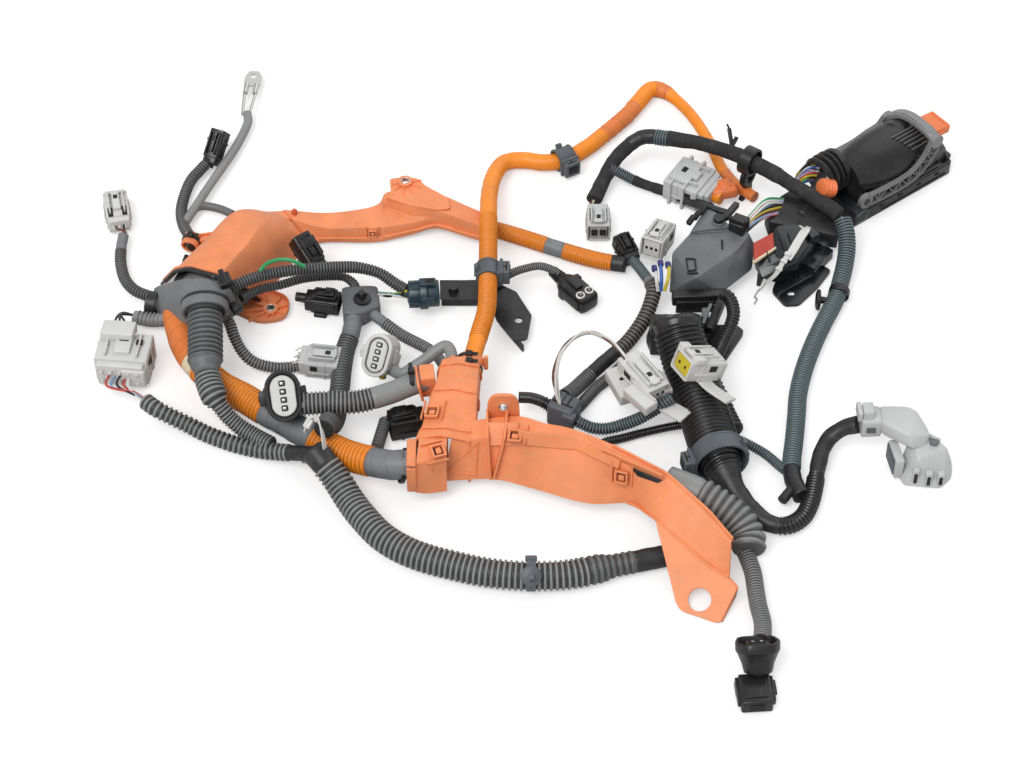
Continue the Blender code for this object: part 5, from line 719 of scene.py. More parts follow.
def gridFaces(rows, columns, closedRound=True, capped=True):
    # Quads of a grid whose rows are rings, with one many-sided face over each end.
    index = np.arange(rows * columns).reshape(rows, columns)
    if closedRound:
        quads = np.stack([index[:-1], np.roll(index, -1, 1)[:-1], np.roll(index, -1, 1)[1:], index[1:]], -1)
    else:
        quads = np.stack([index[:-1, :-1], index[:-1, 1:], index[1:, 1:], index[1:, :-1]], -1)
    faces = quads.reshape(-1, 4).tolist()
    if capped and closedRound:
        faces += [index[0][::-1].tolist(), index[-1].tolist()]
    return faces


def lofted(stations, finishName, steps=4):
    # Rounded rectangles along Y: each station is y, width, height, corner radius and the middle's shift in X and Z.
    quarter = np.linspace(0, np.pi / 2, steps)
    angle = (np.arange(4)[:, None] * np.pi / 2 + quarter).ravel()
    signX, signZ = np.repeat([1, -1, -1, 1], steps), np.repeat([1, 1, -1, -1], steps)
    full = np.array([[*station, 0, 0][:6] for station in stations], float)
    y, wide, high, corner, shiftX, shiftZ = (full[:, k, None] for k in range(6))
    corner = np.minimum(corner, np.minimum(wide, high) / 2)
    x = signX * (wide / 2 - corner) + corner * np.cos(angle) + shiftX
    z = signZ * (high / 2 - corner) + corner * np.sin(angle) + shiftZ
    points = np.stack([x, y + 0 * x, z], -1)
    return points.reshape(-1, 3), gridFaces(len(full), len(angle)), finishName


def softBox(wide, long, high, finishName, edge=0.0008, corner=None, at=(0, 0, 0), turn=(0, 0, 0), taper=1.0):
    # Block along Y whose ends roll over in quarter circles of the edge radius; the +Y end is scaled by taper.
    corner = edge if corner is None else corner
    roll = np.linspace(0, np.pi / 2, 4)
    stations = []
    for sign, share in ((-1, 1.0), (1, taper)):
        for k in (roll[::-1] if sign < 0 else roll):
            inset = edge * (1 - np.cos(k))
            stations.append((sign * (long / 2 - edge + edge * np.sin(k)), wide * share - 2 * inset,
                high * share - 2 * inset, max(corner - inset, 0.00005)))
    return put(lofted(stations, finishName), at, turn)


def cup(wide, long, high, wall, depth, finishName, corner=0.002, at=(0, 0, 0), turn=(0, 0, 0)):
    # Socket shell open at +Y: outside from the back to the rim, over the rim, and down the inside to its floor.
    edge = min(0.0006, wall / 3)
    inner = max(corner - wall, 0.0003)
    stations = [(-long / 2, wide - 2 * edge, high - 2 * edge, corner), (-long / 2 + edge, wide, high, corner),
        (long / 2 - edge, wide, high, corner), (long / 2, wide - 2 * edge, high - 2 * edge, corner),
        (long / 2, wide - 2 * wall + edge, high - 2 * wall + edge, inner),
        (long / 2 - edge, wide - 2 * wall, high - 2 * wall, inner),
        (long / 2 - depth, wide - 2 * wall, high - 2 * wall, inner)]
    return put(lofted(stations, finishName), at, turn)


def turnedBody(profile, finishName, sides=32, at=(0, 0, 0), turn=(0, 0, 0)):
    # Turned solid about Y: rings of (radius, y) pairs, closed by a flat face at each end.
    r, y = np.array(profile, float).T
    angle = 2 * np.pi * np.arange(sides) / sides
    points = np.stack([r[:, None] * np.cos(angle), y[:, None] + 0 * angle, r[:, None] * np.sin(angle)], -1)
    return put((points.reshape(-1, 3), gridFaces(len(r), sides), finishName), at, turn)


def rodBody(radius, long, finishName, sides=20, edge=0.0004, at=(0, 0, 0), turn=(0, 0, 0)):
    half = long / 2
    return turnedBody([(radius - edge, -half), (radius, -half + edge), (radius, half - edge), (radius - edge, half)],
        finishName, sides, at, turn)


def pipeBody(radius, wall, long, finishName, sides=28, at=(0, 0, 0), turn=(0, 0, 0)):
    # Short open tube about Y: its ring section, a small rectangle, turned once round and joined to itself.
    half, edge = long / 2, min(0.0004, wall / 3)
    section = np.array([(radius, -half + edge), (radius, half - edge), (radius - edge, half),
        (radius - wall + edge, half),
        (radius - wall, half - edge), (radius - wall, -half + edge), (radius - wall + edge, -half),
        (radius - edge, -half)])
    angle = 2 * np.pi * np.arange(sides) / sides
    points = np.stack([section[:, 0, None] * np.cos(angle), section[:, 1, None] + 0 * angle,
        section[:, 0, None] * np.sin(angle)], -1)
    index = np.arange(len(section) * sides).reshape(len(section), sides)
    nextRow = np.roll(index, -1, 0)
    faces = np.stack([index, np.roll(index, -1, 1), np.roll(nextRow, -1, 1), nextRow], -1).reshape(-1, 4).tolist()
    return put((points.reshape(-1, 3), faces, finishName), at, turn)


def strandBody(points, radius, finishName, sides=10, perSpan=8):
    # Round wire through bench points: rings on a smooth line, as for the cords, closed at both ends.
    line = smoothLine(points, perSpan) + benchCentre
    reach = runLength(line)
    places = np.linspace(0, reach[-1], max(6, int(reach[-1] / (radius * 1.6))))
    at, run = alongLine(line, places)
    rings = ringPoints(at, run, np.full((len(places), 1), radius), sides)
    rings[..., 2] = np.maximum(rings[..., 2], floorLift)
    return rings.reshape(-1, 3), gridFaces(len(places), sides), finishName


def bandBody(points, wide, thick, finishName, across=(0, 0, 1), perSpan=8):
    # Flat strap through bench points: a rounded rectangle carried along, its width square to the run and to across.
    line = smoothLine(points, perSpan) + benchCentre
    reach = runLength(line)
    places = np.linspace(0, reach[-1], max(8, int(reach[-1] / 0.0015)))
    at, run = alongLine(line, places)
    side = np.cross(run, np.asarray(across, float))
    side /= np.linalg.norm(side, axis=1, keepdims=True)
    up = np.cross(side, run)
    corner = min(wide, thick) * 0.3
    u = np.array([wide / 2, wide / 2, wide / 2 - corner, -wide / 2 + corner, -wide / 2, -wide / 2, -wide / 2 + corner,
        wide / 2 - corner])
    v = np.array([-0.25, 0.25, 0.5, 0.5, 0.25, -0.25, -0.5, -0.5]) * thick
    rings = at[:, None, :] + side[:, None, :] * u[None, :, None] + up[:, None, :] * v[None, :, None]
    return rings.reshape(-1, 3), gridFaces(len(places), 8), finishName


def plateBody(outline, thick, finishName, corner=0.0, holes=(), at=(0, 0, 0), turn=(0, 0, 0), bevel=0.0003):
    # Flat plate in XY: a filled outline with rounded corners and holes, thickened, with a small bevel on its edges.
    curve = bpy.data.curves.new("outline", "CURVE")
    curve.dimensions = "2D"
    curve.fill_mode = "BOTH"
    curve.extrude = thick / 2 - bevel
    curve.bevel_depth = bevel
    curve.bevel_resolution = 1
    curve.offset = -bevel
    rings = [roundCorners(outline, corner)] + [
        [(x + r * math.cos(k * math.pi / 14),
        y + r * math.sin(k * math.pi / 14)) for k in range(28)] if not isinstance(r, tuple)
        else [(x - r[0] / 2, y - r[1] / 2), (x + r[0] / 2, y - r[1] / 2), (x + r[0] / 2, y + r[1] / 2),
        (x - r[0] / 2, y + r[1] / 2)]
        for x, y, r in holes]
    for ring in rings:
        spline = curve.splines.new("POLY")
        spline.points.add(len(ring) - 1)
        spline.points.foreach_set("co", np.array([(x, y, 0, 1) for x, y in ring], np.float32).ravel())
        spline.use_cyclic_u = True
    guide = bpy.data.objects.new("outline", curve)
    scene.collection.objects.link(guide)
    made = bpy.data.meshes.new_from_object(guide.evaluated_get(bpy.context.evaluated_depsgraph_get()))
    bpy.data.objects.remove(guide)
    points = np.empty(len(made.vertices) * 3)
    made.vertices.foreach_get("co", points)
    faces = [list(face.vertices) for face in made.polygons]
    bpy.data.meshes.remove(made)
    return put((points.reshape(-1, 3), faces, finishName), at, turn)


def roundCorners(outline, corner, steps=4):
    # Each corner becomes a short curve whose middle is drawn towards it, from and to points at the corner's reach.
    if not corner:
        return [tuple(p) for p in outline]
    ring = np.asarray(outline, float)
    before, after = np.roll(ring, 1, 0) - ring, np.roll(ring, -1, 0) - ring
    toBefore, toAfter = np.linalg.norm(before, axis=1, keepdims=True), np.linalg.norm(after, axis=1, keepdims=True)
    start = ring + before / toBefore * np.minimum(corner, 0.45 * toBefore)
    end = ring + after / toAfter * np.minimum(corner, 0.45 * toAfter)
    t = np.linspace(0, 1, steps)[None, :, None]
    made = (1 - t) ** 2 * start[:, None] + 2 * t * (1 - t) * ring[:, None] + t * t * end[:, None]
    return [tuple(p) for p in made.reshape(-1, 2)]


def hullBody(corners, finishName, bevel=0.0015, segments=2, at=(0, 0, 0), turn=(0, 0, 0)):
    # Smallest convex body round its corners, with its edges rounded.
    bm = bmesh.new()
    for corner in corners:
        bm.verts.new(corner)
    made = bmesh.ops.convex_hull(bm, input=bm.verts)
    bmesh.ops.delete(bm, geom=[v for v in made["geom_interior"] if isinstance(v, bmesh.types.BMVert)],
        context="VERTS")
    bmesh.ops.dissolve_limit(bm, angle_limit=0.06, verts=bm.verts, edges=bm.edges)
    if bevel:
        bmesh.ops.bevel(bm, geom=list(bm.edges), offset=bevel, segments=segments, profile=0.5, affect="EDGES",
            clamp_overlap=True)
    bm.verts.index_update()
    points = np.array([v.co for v in bm.verts])
    faces = [[v.index for v in face.verts] for face in bm.faces]
    bm.free()
    return put((points, faces, finishName), at, turn)


def shellBody(rows, wall, finishName, along=6, sharp=0.0012):
    # Moulded wall: rows of section points joined by smooth curves along the rows, folds across them rounded,
    # then a second skin set back by the wall along the surface normals and stitched to the first at the rim.
    rows = np.asarray(rows, float)
    lines = np.stack([smoothLine(rows[:, k], along) + benchCentre for k in range(rows.shape[1])], 1)
    folded = []
    for k in range(lines.shape[1]):
        if k in (0, lines.shape[1] - 1):
            folded.append(lines[:, k])
            continue
        back, ahead = lines[:, k - 1] - lines[:, k], lines[:, k + 1] - lines[:, k]
        back /= np.linalg.norm(back, axis=1, keepdims=True)
        ahead /= np.linalg.norm(ahead, axis=1, keepdims=True)
        start, end = lines[:, k] + back * sharp, lines[:, k] + ahead * sharp
        folded += [start, 0.25 * start + 0.5 * lines[:, k] + 0.25 * end, end]
    outer = np.stack(folded, 1)
    slopeA, slopeB = np.gradient(outer, axis=0), np.gradient(outer, axis=1)
    normal = np.cross(slopeA, slopeB)
    normal /= np.maximum(np.linalg.norm(normal, axis=2, keepdims=True), 1e-12)
    middle = outer.reshape(-1, 3).mean(0)
    if (normal * (outer - middle)).sum() < 0:
        normal = -normal
    inner = outer - normal * wall
    rowsCount, columns = outer.shape[:2]
    index = np.arange(rowsCount * columns).reshape(rowsCount, columns)
    second = index + rowsCount * columns
    faces = np.stack([index[:-1, :-1], index[:-1, 1:], index[1:, 1:], index[1:, :-1]], -1).reshape(-1, 4).tolist()
    faces += np.stack([second[:-1, :-1], second[1:, :-1], second[1:, 1:], second[:-1, 1:]], -1).reshape(-1,
        4).tolist()
    for edge, other in ((index[0], second[0]), (index[-1], second[-1]), (index[:, 0], second[:, 0]),
            (index[:, -1], second[:, -1])):
        faces += np.stack([edge[:-1], edge[1:], other[1:], other[:-1]], -1).tolist()
    return np.vstack([outer.reshape(-1, 3), inner.reshape(-1, 3)]), faces, finishName


def detailName(node):
    # A node's name in camel case, with Detail after it.
    first, *others = node.split("_")
    return first + "".join(word.capitalize() for word in others) + "Detail"


def piece(name, bodies, replaces=None, sharpDegrees=32):
    # Joins bodies given in bench metres into one object at the origin, faces outwards, riding on the root.
    points, faces, faceFinish, names, count = [], [], [], [], 0
    for bodyPoints, bodyFaces, finishName in bodies:
        if finishName not in names:
            names.append(finishName)
        points.append(np.maximum(bodyPoints, [-np.inf, -np.inf, floorLift]) - benchCentre)
        faces += [[corner + count for corner in face] for face in bodyFaces]
        faceFinish += [names.index(finishName)] * len(bodyFaces)
        count += len(bodyPoints)
    mesh = bpy.data.meshes.new(name)
    mesh.from_pydata(np.vstack(points).tolist(), [], faces)
    for each in names:
        mesh.materials.append(finish(each))
    mesh.polygons.foreach_set("material_index", np.array(faceFinish, np.int32))
    bm = bmesh.new()
    bm.from_mesh(mesh)
    bmesh.ops.recalc_face_normals(bm, faces=bm.faces)
    bm.to_mesh(mesh)
    bm.free()
    mesh.polygons.foreach_set("use_smooth", np.ones(len(mesh.polygons), bool))
    mesh.set_sharp_from_angle(angle=math.radians(sharpDegrees))
    made = bpy.data.objects.new(name, mesh)
    scene.collection.objects.link(made)
    if replaces:
        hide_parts(*([replaces] if isinstance(replaces, str) else replaces))
    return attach(made, "root")



def surfaceFrame(rows, i, j):
    # Place on the rows' surface by linear mixing of four corners; axes run along the rows, up the section, outwards.
    rows = np.asarray(rows, float)
    r, c = min(int(i), len(rows) - 2), min(int(j), rows.shape[1] - 2)
    a, b = i - r, j - c
    p00, p01, p10, p11 = rows[r, c], rows[r, c + 1], rows[r + 1, c], rows[r + 1, c + 1]
    place = (1 - a) * (1 - b) * p00 + (1 - a) * b * p01 + a * (1 - b) * p10 + a * b * p11
    run, rise = (1 - b) * (p10 - p00) + b * (p11 - p01), (1 - a) * (p01 - p00) + a * (p11 - p10)
    out = np.cross(run, rise)
    out /= np.linalg.norm(out)
    middle = rows.reshape(-1, 3).mean(0) * (1, 1, 0)
    if out @ (place - middle) < 0:
        out = -out
    run /= np.linalg.norm(run)
    return place, np.stack([run, np.cross(out, run), out], 1)


def stick(body, rows, i, j, lift=0.0, spin=0.0, size=1.0):
    # Body stood on a shell: its X runs along the rows, Y up the section, Z outwards, after a spin about Z.
    place, axes = surfaceFrame(rows, i, j)
    points, faces, finishName = put(body, turn=(0, 0, spin))
    return size * points @ axes.T + place + axes[:, 2] * lift, faces, finishName


def plateInPlane(corners, facing, thick, finishName, corner=0.0, holes=()):
    # Flat plate through corners in space: they are laid into the plane's own axes, filled there, and put back.
    corners = np.asarray(corners, float)
    out = np.asarray(facing, float) / np.linalg.norm(facing)
    right = np.cross([0, 0, 1.0], out) if abs(out[2]) < 0.95 else np.array([1.0, 0, 0])
    right -= out * (right @ out)
    right /= np.linalg.norm(right)
    axes = np.stack([right, np.cross(out, right), out], 1)
    flat = (corners - corners[0]) @ axes
    rings = [(*((np.asarray(c, float) - corners[0]) @ axes)[:2], r) for c, r in holes]
    points, faces, finishName = plateBody(flat[:, :2].tolist(), thick, finishName, corner, rings)
    return points @ axes.T + corners[0] + out * float(flat[:, 2].mean()), faces, finishName


def loopLatch(finishName="guardOrange"):
    # Snap latch: a raised strap with two side rails, and a rounded loop standing on it round a small tooth.
    loop = []
    for x, y, wide, long in ((0, 0.0052, 0.0122, 0.002), (0, -0.0052, 0.0122, 0.002), (0.0052, 0, 0.002, 0.01),
            (-0.0052, 0, 0.002, 0.01)):
        loop.append(softBox(wide, long, 0.0034, finishName, 0.0007, at=(x, y, 0.0026)))
    rails = [softBox(0.0014, 0.02, 0.0028, finishName, 0.0005, at=(x, 0.003, 0.001)) for x in (-0.0092, 0.0092)]
    # the thin near-black square under the loop is painted shade inside its window
    return loop + rails + [softBox(0.0056, 0.0048, 0.0036, finishName, 0.0008, at=(0, -0.0004, 0.0016)),
        softBox(0.0078, 0.0078, 0.0008, "paintedCavityShade", 0.0003, at=(0, 0, 0.0008))]


frontGuard = {
    "wall": 0.0022,
    "boltHole": 0.0041,
    "footHole": 0.0098,
    "trough": [
        [(-0.06, -0.124, 0.012), (-0.052, -0.108, 0.048), (-0.044, -0.09, 0.052), (-0.042, -0.08, 0.034)],
        [(-0.016, -0.122, 0.012), (-0.005, -0.106, 0.05), (0.003, -0.085, 0.054), (0.005, -0.077, 0.034)],
        [(0.018, -0.134, 0.014), (0.024, -0.111, 0.051), (0.028, -0.094, 0.055), (0.03, -0.085, 0.035)],
        [(0.064, -0.152, 0.016), (0.057, -0.116, 0.052), (0.053, -0.102, 0.056), (0.055, -0.093, 0.036)],
        [(0.103, -0.158, 0.022), (0.092, -0.139, 0.054), (0.089, -0.123, 0.058), (0.091, -0.114, 0.038)],
        [(0.122, -0.187, 0.034), (0.134, -0.166, 0.058), (0.132, -0.156, 0.06), (0.134, -0.148, 0.044)],
        [(0.167, -0.2285, 0.022), (0.165, -0.197, 0.05), (0.166, -0.19, 0.051), (0.168, -0.184, 0.04)],
        [(0.181, -0.237, 0.021), (0.182, -0.218, 0.044), (0.184, -0.214, 0.045), (0.186, -0.21, 0.038)]],
    "neck": [
        [(-0.064, -0.019, 0.034), (-0.062, -0.02, 0.055), (-0.046, -0.021, 0.06), (-0.028, -0.022, 0.056),
        (-0.027, -0.021, 0.034)],
        [(-0.068, -0.04, 0.026), (-0.066, -0.044, 0.056), (-0.049, -0.045, 0.06), (-0.029, -0.047, 0.056),
        (-0.029, -0.044, 0.026)],
        [(-0.074, -0.062, 0.018), (-0.072, -0.065, 0.053), (-0.052, -0.068, 0.058), (-0.03, -0.07, 0.053),
        (-0.031, -0.068, 0.018)],
        [(-0.082, -0.09, 0.01), (-0.078, -0.092, 0.05), (-0.056, -0.096, 0.055), (-0.031, -0.098, 0.05),
        (-0.033, -0.095, 0.01)],
        [(-0.09, -0.118, 0.004), (-0.084, -0.108, 0.05), (-0.062, -0.108, 0.054), (-0.036, -0.11, 0.048),
        (-0.036, -0.12, 0.006)]],
    "mouth": [
        [(-0.083, -0.141, 0.017), (-0.082, -0.137, 0.05), (-0.08, -0.119, 0.054), (-0.08, -0.104, 0.05),
        (-0.08, -0.101, 0.017)],
        [(-0.072, -0.1395, 0.014), (-0.072, -0.1335, 0.049), (-0.07, -0.116, 0.053), (-0.07, -0.101, 0.049),
        (-0.07, -0.098, 0.014)],
        [(-0.056, -0.135, 0.012), (-0.056, -0.127, 0.048), (-0.056, -0.112, 0.052), (-0.056, -0.097, 0.048),
        (-0.056, -0.095, 0.012)]],
}


def makeFrontGuard(s=frontGuard):
    # Trough with a lipped cover, bolt tab between two gussets, neck, mouth, latches and the holed foot.
    trough, orange = s["trough"], "guardOrange"
    bodies = [shellBody(trough, s["wall"], orange, 10, 0.0022), shellBody(s["neck"], s["wall"], orange, 10, 0.0035),
        shellBody(s["mouth"], s["wall"], orange, 8, 0.0045)]
    rows = np.asarray(trough)
    # Cover lip: a raised band that runs along the fold from the tab to the open hooked end
    lipLine = [surfaceFrame(rows, i, 1.0)[0] + (0, -0.0006, 0.0016) for i in np.linspace(1.35, 4.0, 9)]
    bodies.append(bandBody(lipLine, 0.0125, 0.0022, orange, across=(0, 0.86, -0.5)))
    bodies.append(bandBody([p + (0, 0.001, -0.0085) for p in lipLine], 0.0022, 0.003, orange, across=(0, 0.3, 1)))
    # Band from the second latch towards the foot, with its fold line
    foldLine = [surfaceFrame(rows, i, 0.04)[0] + (0, -0.001, 0.001) for i in np.linspace(3.9, 7.0, 10)]
    bodies.append(bandBody(foldLine, 0.003, 0.0022, orange, across=(0, 0.5, 1)))
    farLine = [surfaceFrame(rows, i, 1.9)[0] + (0, 0, 0.0006) for i in np.linspace(3.9, 7.0, 10)]
    bodies.append(bandBody(farLine, 0.0024, 0.0026, orange, across=(0, 0, 1)))
    # Its top flange runs on past the latch and ends free, over a near-black patch of painted shadow below it
    flange = [surfaceFrame(rows, i, 1.15)[0] + (0, -0.001, 0.003) for i in np.linspace(3.6, 4.86, 6)]
    bodies.append(bandBody(flange, 0.012, 0.0022, orange, across=(0, 0.9, 0.2)))
    underFlangeShadow = [surfaceFrame(rows, i, j) for i, j in ((4.2, 1.02), (4.84, 1.02), (4.76, 0.9), (4.34, 0.86))]
    bodies.append(hullBody([place + axes[:, 2] * lift for place, axes in underFlangeShadow for lift in (0.0002, 0.0008)],
        "paintedCavityShade", 0.0002))
    # Latches
    for i, j, spin in ((1.27, 1.0, 0), (3.97, 0.68, 4)):
        bodies += [stick(b, rows, i, j, 0.0008, spin) for b in loopLatch()]
    neck = np.asarray(s["neck"])
    for rowsHere, i, j, spin in ((neck, 2.6, 1.35, 90), (np.asarray(s["mouth"]), 1.5, 1.4, 90)):
        bodies += [stick(b, rowsHere, i, j, 0.0006, spin) for b in loopLatch()]
    # Bolt tab with its raised ring and the two gussets that run down the face
    tabX, tabY, tabZ = -0.0075, -0.0815, 0.062
    outline = [(-0.0145, -0.018), (0.0145, -0.018), (0.0135, 0.006), (0.0085, 0.015), (-0.0085, 0.015),
        (-0.0135, 0.006)]
    bodies.append(plateBody(outline, 0.0034, orange, 0.006, holes=[(0, 0.001, s["boltHole"])], at=(tabX, tabY, tabZ),
        turn=(90, 0, 0)))
    bodies.append(pipeBody(s["boltHole"] + 0.0026, 0.0026, 0.0046, orange, at=(tabX, tabY, tabZ + 0.001)))
    bodies.append(pipeBody(s["boltHole"] + 0.0003, 0.001, 0.0052, "tinnedSteel", at=(tabX, tabY, tabZ + 0.001)))
    for side, lean in ((-0.014, 0.003), (0.0035, -0.012)):
        x = tabX + side
        bodies.append(hullBody([(x - 0.001, -0.083, 0.06), (x + 0.001, -0.083, 0.06), (x - 0.001, -0.081, 0.034),
            (x + 0.001, -0.081, 0.034),
            (x + lean * 0.2 - 0.001, -0.111, 0.0535), (x + lean * 0.2 + 0.001, -0.111, 0.0535),
            (x + lean - 0.001, -0.1265, 0.016), (x + lean + 0.001, -0.1265, 0.016),
            (x + lean - 0.001, -0.116, 0.016), (x + lean + 0.001, -0.116, 0.016)], orange,
            0.0004))
    bodies.append(softBox(0.026, 0.0022, 0.02, orange, 0.0005, at=(tabX, -0.103, 0.05), turn=(-52, 0, 0)))
    # Triangular rib window on the face left of the gussets
    corners = [surfaceFrame(rows, i, j) for i, j in ((0.05, 0.25), (0.5, 0.92), (0.62, 0.12))]
    for (a, frameA), (b, _) in zip(corners, corners[1:] + corners[:1]):
        bodies.append(bandBody([a + frameA[:, 2] * 0.001, (a + b) / 2 + frameA[:, 2] * 0.001,
            b + frameA[:, 2] * 0.001],
            0.0018, 0.0034, orange, across=frameA[:, 2]))
    # Ribs across the neck and its collar with the two tie bands
    for i in (0.35, 1.6, 3.3):
        line = [surfaceFrame(neck, i, j)[0] + surfaceFrame(neck, i, j)[1][:, 2] * 0.0008 for j in np.linspace(0.3,
            3.7, 9)]
        bodies.append(bandBody(line, 0.0018, 0.0022, orange, across=(0, 1, 0)))
    collar = {"x": -0.0375, "y": -0.019, "z": 0.045, "radius": 0.0118}
    bodies.append(pipeBody(collar["radius"], 0.0022, 0.016, orange, at=(collar["x"], collar["y"], collar["z"]),
        turn=(6, 0, -14)))
    for side in (-1, 1):
        bodies.append(softBox(0.004, 0.003, 0.016, orange, 0.0006,
            at=(collar["x"] + side * 0.0145, collar["y"] + 0.002, collar["z"] + 0.002)))
    # Foot: sloping plate with the round hole, its cheek and stiffening edge
    foot = [(0.121, -0.186, 0.035), (0.1673, -0.2275, 0.023), (0.1811, -0.2366, 0.0208), (0.1884, -0.2449, 0.0179),
            (0.1739, -0.2686, 0.002), (0.1698, -0.269, 0.0018), (0.1412, -0.2566, 0.0018), (0.1372, -0.2507, 0.004)]
    bodies.append(plateInPlane(foot, (-0.208, -0.477, 0.854), 0.0024, orange, 0.004,
        holes=[((0.157, -0.2495, 0.0075), s["footHole"])]))
    bodies.append(hullBody([(0.1811, -0.2366, 0.0218), (0.1739, -0.269, 0.001), (0.1885, -0.24, 0.0006),
        (0.189, -0.244, 0.0186),
        (0.1825, -0.236, 0.0212), (0.1752, -0.268, 0.0006)], orange, 0.0004))
    # Ear beside the neck that carries the oval connector's lead, with its rails
    bodies.append(softBox(0.013, 0.018, 0.024, orange, 0.0012, at=(-0.0745, -0.0345, 0.043), turn=(0, 0, 8)))
    bodies.append(softBox(0.0022, 0.026, 0.02, orange, 0.0006, at=(-0.0815, -0.04, 0.045), turn=(0, -10, 8)))
    # Jaws of the left mouth
    bodies.append(softBox(0.008, 0.03, 0.0026, orange, 0.0008, at=(-0.086, -0.126, 0.052), turn=(0, 10, 0)))
    bodies.append(softBox(0.008, 0.0026, 0.03, orange, 0.0008, at=(-0.086, -0.14, 0.033), turn=(0, 0, 0)))
    ties = [ringTie((collar["x"], collar["y"] + dy, collar["z"]), 0.0121, 0.0042, (6, 0, -14)) for dy in (-0.004,
        0.0045)]
    ties += [ringTie((-0.0885, -0.035, 0.043), 0.0122, 0.0042, (0, 0, 97)),
        ringTie((-0.0945, -0.1225, 0.0285), 0.014, 0.0042, (12, 0, 96))]
    for tie in ties:
        bodies += tie
    return piece("frontGuardMoulding", bodies, "front_guard")


def ringTie(at, radius, wide, turn, finishName="tieBlack", head=True):
    # Cable tie: a thin band round the cable, its square head on top and the cut tail beyond it.
    bodies = [pipeBody(radius, 0.0012, wide, finishName, 28, at=at, turn=turn)]
    if head:
        axes = turnMatrix(turn)
        top = np.asarray(at, float) + axes @ np.array([0, 0, radius + 0.001])
        bodies.append(softBox(0.0058, wide + 0.001, 0.004, finishName, 0.0006, at=top, turn=turn))
        tail = np.asarray(at, float) + axes @ np.array([0.0052, 0, radius + 0.0018])
        bodies.append(softBox(0.006, wide * 0.8, 0.0011, finishName, 0.0003, at=tail,
            turn=(turn[0], turn[1] - 14, turn[2])))
    return bodies


